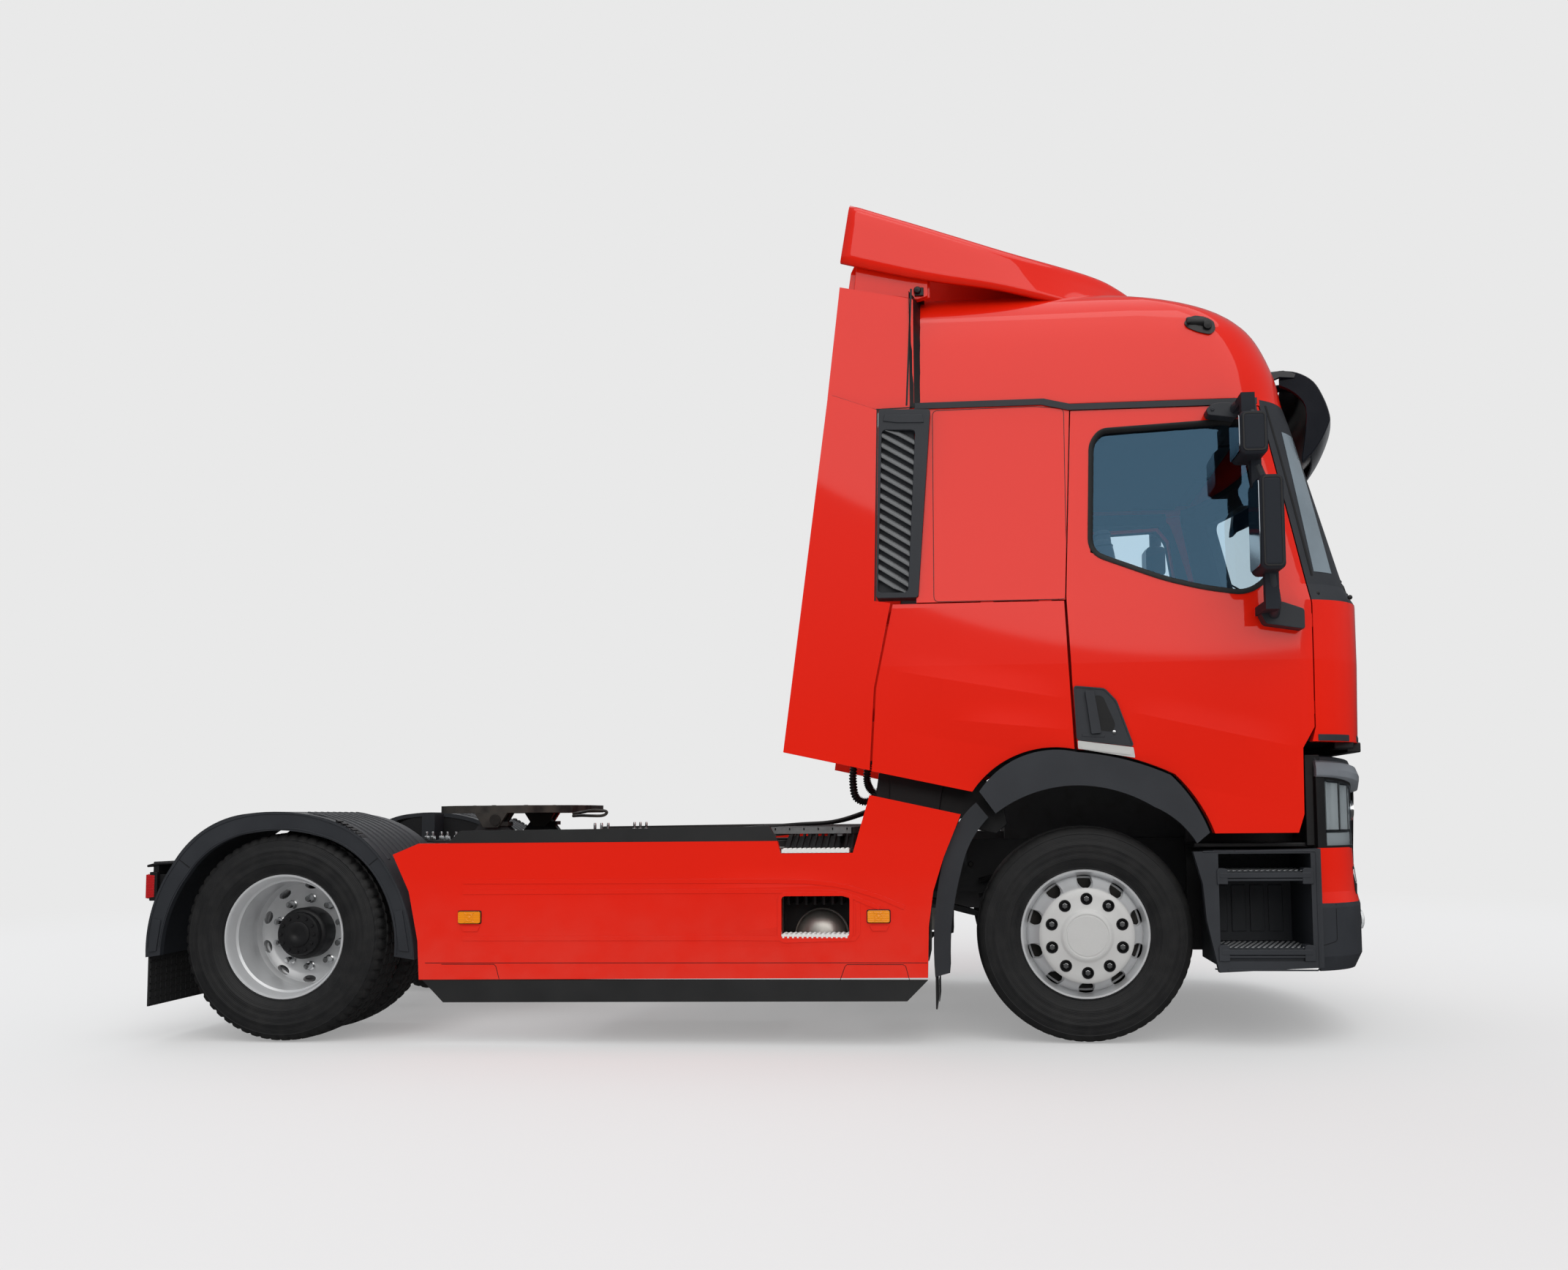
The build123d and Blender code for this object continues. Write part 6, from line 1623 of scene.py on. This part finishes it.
def inner_wings():
    inner = Form().box((113, 467), (-985, -965), (430, 860))
    inner.box((113, 467), (-1140, -985), (432, 470)).box((113, 467), (-1145, -985), (700, 716))
    inner.row(7, (42, 0, 0), (150, 166), (-1150, -985), (640, 700))
    inner.prism([(566, 955), (572, 1160), (590, 1284), (1010, 1262), (1070, 1225), (1160, 1190), (1190, 1010),
        (1140, 965), (1050, 985), (1006, 1060), (930, 1010), (905, 955)], (-1080, -1000))
    inner.prism([(630, 1000), (640, 1250), (900, 1240), (860, 1000)], (-1094, -1080))
    inner.box((2556, 2626), (-1110, -1050), (900, 1320))
    inner.box((2050, 2560), (-850, -830), (400, 1290)).box((2050, 2600), (-1090, -830), (895, 915))
    inner.pair("inner_wings", "black_plastic", bevel=5)


def air_tanks():
    dome = Form().turned([(0.1, -1098), (50, -1094), (88, -1080), (112, -1058), (124, -1025), (124, -800),
        (0.1, -800)], (303, 0, 486), 56)
    dome.turned([(124, -1020), (131, -1016), (131, -996), (124, -992)], (303, 0, 486), 56)
    dome.pair("air_tanks", "tank_metal", angle=50.0)


def arch_hoses():
    gear = Form()
    for y, z in ((-530, 640), (-515, 560), (-545, 720)):
        gear.tube(smooth_rows([(1060, y + 30, z), (1250, y, z + 40), (1420, y + 10, z - 30),
            (1540, y + 20, z - 60)], 8), 11, 8)
    gear.turned([(0.1, 0), (52, 4), (60, 20), (60, 80), (50, 94), (0.1, 96)], (1760, -556, 600), 28)
    gear.tube(smooth_rows([(1760, -520, 640), (1700, -520, 760), (1560, -510, 860),
        (1400, -500, 900)], 8), 13, 8)
    gear.pair("arch_hoses", "black_plastic", angle=50.0)


class TRACTOR_OT_skirts(bpy.types.Operator):
    """Skirt ridges, seams, markers, silver steps and what shows behind them"""

    bl_idname = "tractor.skirts"
    bl_label = "Skirts"

    def execute(self, context):
        skirt_trim()
        tank_treads()
        inner_wings()
        air_tanks()
        arch_hoses()
        return {"FINISHED"}


# ---- Rear end ----
PLATE_PIVOT_X = -1545.0
FENDER_LIP = [(-9, 174, 74), (9, 141, 62), (28, 124, 50), (50, 118, 35), (70, 104, 14), (92, 100, 10),
    (106, 116, 20), (129, 150, 48), (148, 150, 55), (170, 162, 78), (188, 177, 104)]
TYRE_RADIUS = 500.0


def on_arch(angle, gap):
    """Point round the rear wheels: angle from the front, gap outside the tyre."""
    turn = radians(angle)
    reach = TYRE_RADIUS + gap
    return (REAR_AXLE[0] + reach * cos(turn), REAR_AXLE[1] + reach * sin(turn))


def lip_gap(angle, share):
    """Gap outside the tyre across the fender's lip: share 0 is its inner edge, 1 its outer."""
    for a, b in zip(FENDER_LIP, FENDER_LIP[1:]):
        if angle <= b[0]:
            t = (angle - a[0]) / (b[0] - a[0])
            outer, inner = a[1] + (b[1] - a[1]) * t, a[2] + (b[2] - a[2]) * t
            return inner + (outer - inner) * share
    return FENDER_LIP[-1][2] + (FENDER_LIP[-1][1] - FENDER_LIP[-1][2]) * share


def fender_trim():
    """Rims, ribs and joint lines of the rear fenders, and the walls behind them."""
    skin = Skin("rear_fenders")
    lip, lines, ribs = Form(), Form(), Form()
    for share, width in ((0.90, 9), (0.10, 7)):
        skin.ribbon(lip, [on_arch(a, lip_gap(a, share)) for a in range(-8, 188, 4)], width, 3, 4)
    for angle in (38, 144):
        skin.ribbon(lines, [on_arch(angle, lip_gap(angle, s)) for s in (0.02, 0.35, 0.7, 0.98)], 4, 1.2)
    for foot, top in ((-6, 12), (172, 186)):
        skin.lay(lip, [on_arch(foot, lip_gap(foot, 0.25)), on_arch(foot, lip_gap(foot, 0.75)),
            on_arch(top, lip_gap(top, 0.75)), on_arch(top, lip_gap(top, 0.25))], 6)
    for y in range(-1190, -640, 62):
        rings = []
        for angle in range(36, 82, 3):
            a, b = on_arch(angle, lip_gap(angle, 1.0) - 1), on_arch(angle, lip_gap(angle, 1.0) + 5)
            rings.append([(a[0], y, a[1]), (b[0], y + 3, b[1]), (b[0], y + 23, b[1]), (a[0], y + 26, a[1])])
        ribs.shell(rings)
    for k in range(6):
        a, b = on_arch(50 + k * 2.6, lip_gap(50, 1.0) + 1), on_arch(51.3 + k * 2.6, lip_gap(50, 1.0) + 3)
        lines.prism([a, b, (b[0] - 4, b[1] - 10), (a[0] - 4, a[1] - 10)], (-1248, -1195))
    lip.pair("fender_rims", "fender_plastic", bevel=1.5)
    ribs.pair("fender_ribs", "fender_plastic", bevel=1.5)
    lines.pair("fender_joints", "black_plastic")
    wall = [on_arch(a, 90) for a in range(38, 146, 6)]
    backs = Form().prism(wall, (-604, -596))
    backs.pair("fender_backs", "black_plastic")


def mudflap_grids():
    grid = Form()
    for x, span, rise in ((-2941, (-1226, -604), (172, 396)), (862, (-1196, -866), (200, 300))):
        for axis, (low, high), step, wide in ((1, span, 41, 7), (2, rise, 34, 6)):
            bar = [(x, x + 3.5), span, rise]
            bar[axis] = (low, low + wide)
            grid.row(int((high - low) / step) + 1, [step * (axis == way) for way in range(3)], *bar)
    grid.pair("mudflap_grids", "flap_rubber")


def tail_lamps():
    shells, red, amber, white = Form(), Form(), Form(), Form()
    shells.prism(oblong((-1190, -860), (672, 812)), (-2982, -2942), "x")
    shells.prism([(-2998, 846), (-2948, 858), (-2852, 862), (-2852, 850), (-2944, 846),
        (-2996, 834)], (-1190, -860))
    shells.box((-2944, -2900), (-1170, -900), (690, 800))
    for form, out, within in ((red, -1182, -1080), (amber, -1072, -1000),
            (white, -992, -940), (red, -932, -868)):
        form.prism(rounded(oblong((out, within), (682, 802)), 9), (-3000, -2978), "x")
    red.prism([(-2999, 684), (-2955, 690), (-2955, 796), (-2999, 800)], (-1191.5, -1186))
    shells.both_sides().box((-2970, -2941), (-1180, 1180), (800, 862))
    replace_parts(shells.piece("tail_lamp_shells", "black_plastic", bevel=4), "tail_lamps")
    for form, colour in ((red, "red"), (amber, "amber"), (white, "white")):
        form.pair(f"tail_{colour}_lenses", f"{colour}_lens", bevel=3)


def rear_plate():
    plate = Form().prism(rounded(oblong((-260, 260), (700, 812)), 8), (-2994, -2988), "x")
    plate.piece("rear_plate", "disc_paint", bevel=2)
    holder = Form().box((-2989, -2940), (-250, 250), (706, 806))
    holder.piece("rear_plate_holder", "black_plastic", bevel=3)


class TRACTOR_OT_rear_end(bpy.types.Operator):
    """Fender ribs, mudflap grid and tail lamps"""

    bl_idname = "tractor.rear_end"
    bl_label = "Rear end"

    def execute(self, context):
        fender_trim()
        mudflap_grids()
        tail_lamps()
        rear_plate()
        return {"FINISHED"}


BOLT_LINE_Y, RAIL_SIDE_Y, RAIL_TOP_Z, BASE_TOP_Z = 418.0, 456.0, 931.0, 944.0


def walkway_grating():
    grate = Form()
    x, y, z = (27.0, 463.0), (-1150.0, 1150.0), (979.0, 1003.0)
    pitch = sizes().grating_pitch / MM
    for at in (x[0], x[1] - 5):
        grate.box((at, at + 5), y, (974, 1003))
    for at in (y[0], y[1] - 5):
        grate.box(x, (at, at + 5), (974, 1003))
    for k in range(1, int((y[1] - y[0]) / pitch)):
        at = y[0] + k * pitch
        grate.box(x, (at, at + 3.5), z)
    for k in range(1, int((x[1] - x[0]) / (pitch * 2)) + 1):
        at = x[0] + k * pitch * 2
        grate.box((at, at + 6), y, (990, 1001))
    for at in (67, 383):
        for side in (-1, 1):
            grate.box((at, at + 40), across(side, 455, 395), (930.5, 979))
        grate.box((at + 8, at + 32), (-1140, 1140), (962, 979))
    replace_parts(grate.piece("walkway_grating", "grating"), "walkway")


def frame_bolts():
    """Bolts of the coupling's base, on the rails and through their sides."""
    bolts, black = Form(), Form()
    for k in range(9):
        for dx in (0, 34):
            at = (-1915 + k * 82 + dx, BOLT_LINE_Y, BASE_TOP_Z)
            bolts.turned([(0.1, 46), (7, 44), (8, 34), (8, 0), (0.1, 0)], at, 12, "z")
            bolts.turned([(0.1, 24), (13, 23), (15, 19), (15, 2), (0.1, 0)], at, 6, "z")
    for dx in (0, 36, 72):
        bolts.turned([(0.1, 88), (6, 86), (8, 74), (8, 50), (12, 48), (12, 0), (0.1, 0)],
            (-985 + dx, BOLT_LINE_Y, BASE_TOP_Z), 12, "z")
    for k in range(4):
        tall = 20 if k else 56
        for dx in (0, 30):
            black.turned([(0.1, tall), (9, tall - 2), (10, tall * 0.7), (13, tall * 0.64), (13, 0), (0.1, 0)],
                (-1200 + k * 82 + dx, BOLT_LINE_Y, RAIL_TOP_Z), 12, "z")
    for x0 in (-2780, -2100, -1000, -300, 350, 900):
        for k in range(3):
            hexagon(black, (x0 + k * 60, RAIL_SIDE_Y, 800), 15, 14, 1)
    bolts.pair("coupling_bolts", "bright_metal", angle=40.0)
    black.pair("frame_bolts", "dark_metal", slot="frame_black", angle=40.0)


def coupling():
    """Bolts, pivots, jaws and handle on the coupling plate."""
    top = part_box("fifth_wheel_plate")[1][2] / MM
    trims, jaws = Form(), Form()
    for angle in range(20, 341, 40):
        a = radians(angle)
        at = (PLATE_PIVOT_X + 250 * cos(a), 300 * sin(a), top - 2)
        trims.turned([(0.1, 6), (12, 5), (15, 0), (0.1, -2)], at, 12, "z")
    for way in (-1, 1):
        trims.tube([(-1520, way * 440, 1050), (-1520, way * 466, 1050)], 30, 24)
        trims.box((-1590, -1450), across(way, 380, 452), (1018, 1040))
    throat = [radians(a) for a in range(100, 461, 15)]
    jaws.tube([(PLATE_PIVOT_X + 62 * cos(a), 62 * sin(a), top - 12) for a in throat], 13, 10)
    handle = [(-1130, -330, 1080), (-1040, -450, 1088), (-975, -482, 1097), (-912, -484, 1093),
        (-905, -484, 1079), (-930, -484, 1068), (-985, -482, 1068), (-1050, -450, 1070), (-1125, -350, 1068)]
    jaws.tube(smooth_rows(handle, 5), 8, 10)
    trims.piece("coupling_trims", "dark_metal", "fifth_wheel", "greased_steel", angle=40.0)
    jaws.piece("coupling_jaws", "greased_steel", "fifth_wheel")


def frame_pipes():
    lines = Form()
    for k in range(4):
        y = -120 + k * 80
        drop = [(700, y * 0.6, 1180), (560, y, 1120), (300, y * 1.1, 1030), (60, y, 1010),
            (-300, y * 0.8, 985), (-700, y * 0.7, 950), (-1050, y * 0.6, 935)]
        lines.tube(smooth_rows(drop, 8), 11, 8)
    for x0 in (-760, -200, 250):
        lines.box((x0, x0 + 24), (-150, 150), (900, 1000 if x0 > 0 else 950))
    for y in (-330, 330):
        lines.tube([(-2900, y, 850), (900, y, 850)], 14, 8)
    lines.turned([(0.1, 0), (118, 10), (128, 40), (128, 560), (118, 590), (0.1, 600)],
        (-560, 0, 780), 32, "x")
    lines.piece("frame_pipes", "black_plastic", angle=50.0)


class TRACTOR_OT_deck(bpy.types.Operator):
    """Walkway grating, coupling plate fittings, bolts and hoses on the frame"""

    bl_idname = "tractor.deck"
    bl_label = "Deck and coupling"

    def execute(self, context):
        walkway_grating()
        frame_bolts()
        coupling()
        frame_pipes()
        return {"FINISHED"}


# ---- Seams ----
def cab_seams():
    sides, fins = Form(), Form()
    skin = Skin("cab_sides", "locker_lid_right", "cab_back_wall")
    edge = rounded([(862, 2052), (1480, 2052), (1484, 2964), (1340, 2978), (866, 2974)], 26)
    skin.ribbon(sides, dense(edge, 60), 3.0, 0.5, closed=True)
    deflector = Skin("side_deflectors")
    deflector.ribbon(fins, dense([(388, 3060), (590, 2986), (776, 2990)]), 6.0, 0.6)
    deflector.ribbon(fins, dense([(744, 3000), (772, 3570)]), 9.0, 0.6)
    deflector.ribbon(fins, dense([(586, 2060), (606, 2980)]), 7.0, 0.6)
    sides.pair("cab_seams", "black_plastic", "cab")
    fins.pair("deflector_seams", "black_plastic", "cab")


def deflector_supports():
    """Seals, webs and brackets that carry the side and roof deflectors."""
    seal = []
    for z, _, half in ROOF_LINES[:7]:
        seal.append([(760, -1208, z + 6), (760, -1196, z + 6), (812, 14 - half, z + 6),
            (812, 2 - half, z + 6)])
    Form().shell(seal).pair("deflector_seals", "black_plastic", "cab")
    web = Form().prism([(452, 3540), (476, 3700), (520, 3790), (860, 3720), (860, 3560), (800, 3545)],
        (-1108, -1090))
    web.pair("deflector_webs", "body_paint", "cab", bevel=3)
    dark = Form()
    dark.turned([(0.1, -16), (15, -14), (18, -6), (18, 8), (0.1, 8)], (800, -1140, 3585), 20)
    dark.box((786, 830), (-1140, -1000), (3560, 3600))
    for x, z in ((2790, 2048), (2620, 2056)):
        dark.turned([(0.1, -10), (10, -8), (12, 0), (0.1, 2)], (x, -1190 + (x - 2620) * 0.5, z), 14)
    dark.pair("roof_brackets", "black_plastic", "cab", bevel=2)


class TRACTOR_OT_seams(bpy.types.Operator):
    """Panel seams of the cab and the deflector's supports"""

    bl_idname = "tractor.seams"
    bl_label = "Cab seams"

    def execute(self, context):
        cab_seams()
        deflector_supports()
        return {"FINISHED"}


# ---- Inside the cab ----
SEAT_SIDE_Y = 560.0
PIPING_RADIUS = 4.0


def pad(form, centre, half, tilt, square, crown=0.0, steps=(20, 44)):
    """A crowned cushion: sides pull in between the corners, faces swell."""

    def power(value, exponent):
        return copysign(abs(value) ** exponent, value)

    rings = []
    for i in range(1, steps[0]):
        v = -pi / 2 + pi * i / steps[0]
        ring = []
        for k in range(steps[1]):
            u = 2 * pi * k / steps[1]
            x = power(cos(v), square) * power(cos(u), square)
            y = power(cos(v), square) * power(sin(u), square)
            z = power(sin(v), square * 1.25)
            swell = crown * (1 - min(1.0, x * x)) * (1 - min(1.0, y * y)) / max(half[2], 1.0)
            pinch = 1 - 0.025 * (sin(2 * u) ** 2)
            p = Vector((x * half[0] * pinch, y * half[1] * pinch, z * half[2] * (1 + swell)))
            c, s = cos(radians(tilt)), sin(radians(tilt))
            ring.append((centre[0] + p.x * c + p.z * s, centre[1] + p.y, centre[2] - p.x * s + p.z * c))
        rings.append(ring)
    form.shell(rings)
    return rings


def piping(form, rings, rows):
    """Sewn piping along rows of a cushion."""
    for row in rows:
        form.tube(rings[row], PIPING_RADIUS, 8, closed=True)
    return form


def seat(side, way):
    crown = sizes().crown / MM
    y = way * SEAT_SIDE_Y
    seams = Form()
    padded = (("cushion", (2010, y, 1772), (238, 205, 66), 4.0, crown),
        ("back", (1742, y, 2110), (56, 195, 330), -7.0, crown * 0.5),
        ("headrest", (1712, y, 2440), (42, 130, 52), -6.0, crown * 0.3))
    for part, centre, half, tilt, swell in padded:
        form = Form()
        rings = pad(form, centre, half, tilt, 0.30, swell)
        piping(seams, rings, (6, 14) if part != "headrest" else (10,))
        made = form.piece(f"seat_{part}_{side}", "cloth", "cab", angle=80.0)
        if part == "cushion" and way < 0:
            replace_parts(made, "seats")
    for part, x, z, half in (("wing", 2010, 1800, (215, 34, 46)), ("side", 1765, 2080, (44, 34, 235))):
        form = Form()
        for edge in (-1, 1):
            pad(form, (x, y + edge * 212, z), half, 4.0 if part == "wing" else -7.0, 0.42)
        made = form.piece(f"seat_{part}_{side}", "seat_edge", "cab", angle=80.0)
    seams.piece(f"seat_piping_{side}", "seal_rubber", "cab")
    frame_form = Form().box((1850, 2150), (y - 160, y + 160), (1361, 1420))
    for k in range(5):
        ends = (1862 + k % 2 * 8, 2138 - k % 2 * 8)
        frame_form.prism(rounded(oblong(ends, (y - 148, y + 148)), 30), (1420 + k * 50, 1466 + k * 50), "z")
    frame_form.box((1800, 2200), (y - 190, y + 190), (1672, 1704))
    for edge in (-1, 1):
        frame_form.tube([(1790, y + edge * 236, 1960), (2090, y + edge * 236, 1975)], 24, 12)
    frame_form.piece(f"seat_frame_{side}", "black_plastic", "cab", bevel=4)


def door_lining(side, way):
    lining = Form().prism([(1512, 1380), (1512, 2040), (1590, 2044), (2100, 2030), (2300, 2000), (2480, 2030),
        (2480, 1380)], across(way, 1152, 1144))
    lining.prism([(1512, 2036), (1512, 2950), (2330, 2950), (2480, 2420), (2480, 2040), (2434, 2050),
        (2330, 2800), (2262, 2888), (1648, 2862), (1594, 2790), (1582, 2036)], across(way, 1128, 1120))
    lining.prism([(1700, 1640), (2300, 1700), (2320, 1760), (1690, 1720)], across(way, 1142, 1085))
    lining.prism(oblong((1640, 2450), (1400, 1520)), across(way, 1142, 1100))
    lining.piece(f"door_lining_{side}", "cab_lining", f"door_{side}", bevel=6)


def bunk():
    crown = sizes().crown / MM
    mattress = Form()
    rings = pad(mattress, (1150, 0, 1838), (284, 1078, 60), 0.0, 0.24, crown * 0.6, (20, 72))
    made = mattress.piece("mattress", "mattress_cloth", "cab", angle=80.0)
    piping(Form(), rings, (4, 15)).piece("mattress_piping", "seal_rubber", "cab")
    pillow = Form()
    pad(pillow, (1150, 820, 1948), (200, 170, 52), 0.0, 0.5, crown)
    made = pillow.piece("pillow", "mattress_cloth", "cab", angle=80.0)
    base = Form().box((862, 1438), (-1086, 1086), (1362, 1774))
    base.row(3, (0, 700, 0), (1436, 1446), (-1020, -380), (1420, 1720))
    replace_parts(base.piece("bunk_base", "cab_lining", "cab", bevel=8), "bunk")


# Walls and roof lining inside the cab; their finish is darkened as painted shade inside the cab.
def headlining():
    walls = Form().box((850, 1472), (1118, 1126), (1400, 2975)).box((900, 2300), (1040, 1130), (2890, 2960))
    walls.box((1380, 1470), (1096, 1118), (1780, 2890)).both_sides()
    walls.box((846, 2360), (-1060, 1060), (2988, 3000)).box((842, 850), (-1140, 1140), (1380, 2980))
    walls.row(3, (0, 680, 0), (2080, 2440), (-1000, -360), (2996, 3160))
    walls.row(3, (0, 680, 0), (850, 1180), (-1000, -360), (2600, 2900))
    walls.piece("headlining", "headlining", "cab", bevel=10)


def dashboard():
    dash = Form()
    dash.prism([(2490, 2010), (2520, 2075), (2600, 2092), (2740, 2052), (2740, 2036),
        (2500, 1990)], (340, 780))
    dash.prism([(2490, 1960), (2496, 2050), (2560, 2062), (2600, 2040)], (60, 320))
    dash.box((2486, 2500), (-900, -420), (1820, 1960))
    for y in range(-1050, 631, 560):
        dash.row(4, (0, 0, 22), (2480, 2502), (y, y + 100), (1900, 1912))
    dash.piece("dash_details", "cab_lining", "cab", bevel=5)
    screens = Form().prism([(2494, 1975), (2498, 2045), (2502, 2045), (2498, 1975)], (90, 290))
    screens.prism([(2505, 2010), (2528, 2068), (2531, 2066), (2508, 2008)], (380, 740))
    screens.piece("dash_screens", "visor_gloss", "cab", "glass")


class TRACTOR_OT_interior(bpy.types.Operator):
    """Seats, mattress, linings and dashboard details"""

    bl_idname = "tractor.interior"
    bl_label = "Interior"

    def execute(self, context):
        for side, way in SIDES:
            seat(side, way)
            door_lining(side, way)
        bunk()
        headlining()
        dashboard()
        return {"FINISHED"}


# ---- Panel and run ----
class TRACTOR_PT_panel(bpy.types.Panel):
    """Lists the steps that build the looks"""

    bl_label = "Road tractor"
    bl_idname = "TRACTOR_PT_panel"
    bl_space_type = "VIEW_3D"
    bl_region_type = "UI"
    bl_category = "Road tractor"

    def draw(self, context):
        for step in STEPS:
            self.layout.operator(step.bl_idname)
        for group in (context.scene.tractor_colours, context.scene.tractor_sizes):
            for key in group.__annotations__:
                self.layout.prop(group, key)


STEPS = (TRACTOR_OT_stage, TRACTOR_OT_finishes, TRACTOR_OT_front_wheels, TRACTOR_OT_rear_wheels,
         TRACTOR_OT_cab_skins, TRACTOR_OT_cab_trim, TRACTOR_OT_doors, TRACTOR_OT_front_end,
         TRACTOR_OT_steps, TRACTOR_OT_skirts, TRACTOR_OT_rear_end, TRACTOR_OT_deck, TRACTOR_OT_seams,
         TRACTOR_OT_interior)
GROUPS = (TractorColours, TractorSizes)


def register():
    for kind in (*GROUPS, *STEPS, TRACTOR_PT_panel):
        bpy.utils.register_class(kind)
    bpy.types.Scene.tractor_colours = PointerProperty(type=TractorColours)
    bpy.types.Scene.tractor_sizes = PointerProperty(type=TractorSizes)


def unregister():
    del bpy.types.Scene.tractor_sizes, bpy.types.Scene.tractor_colours
    for kind in reversed((*GROUPS, *STEPS, TRACTOR_PT_panel)):
        bpy.utils.unregister_class(kind)


def main():
    register()
    for step in STEPS:
        group, name = step.bl_idname.split(".")
        getattr(getattr(bpy.ops, group), name)()


if __name__ == "__main__":
    main()
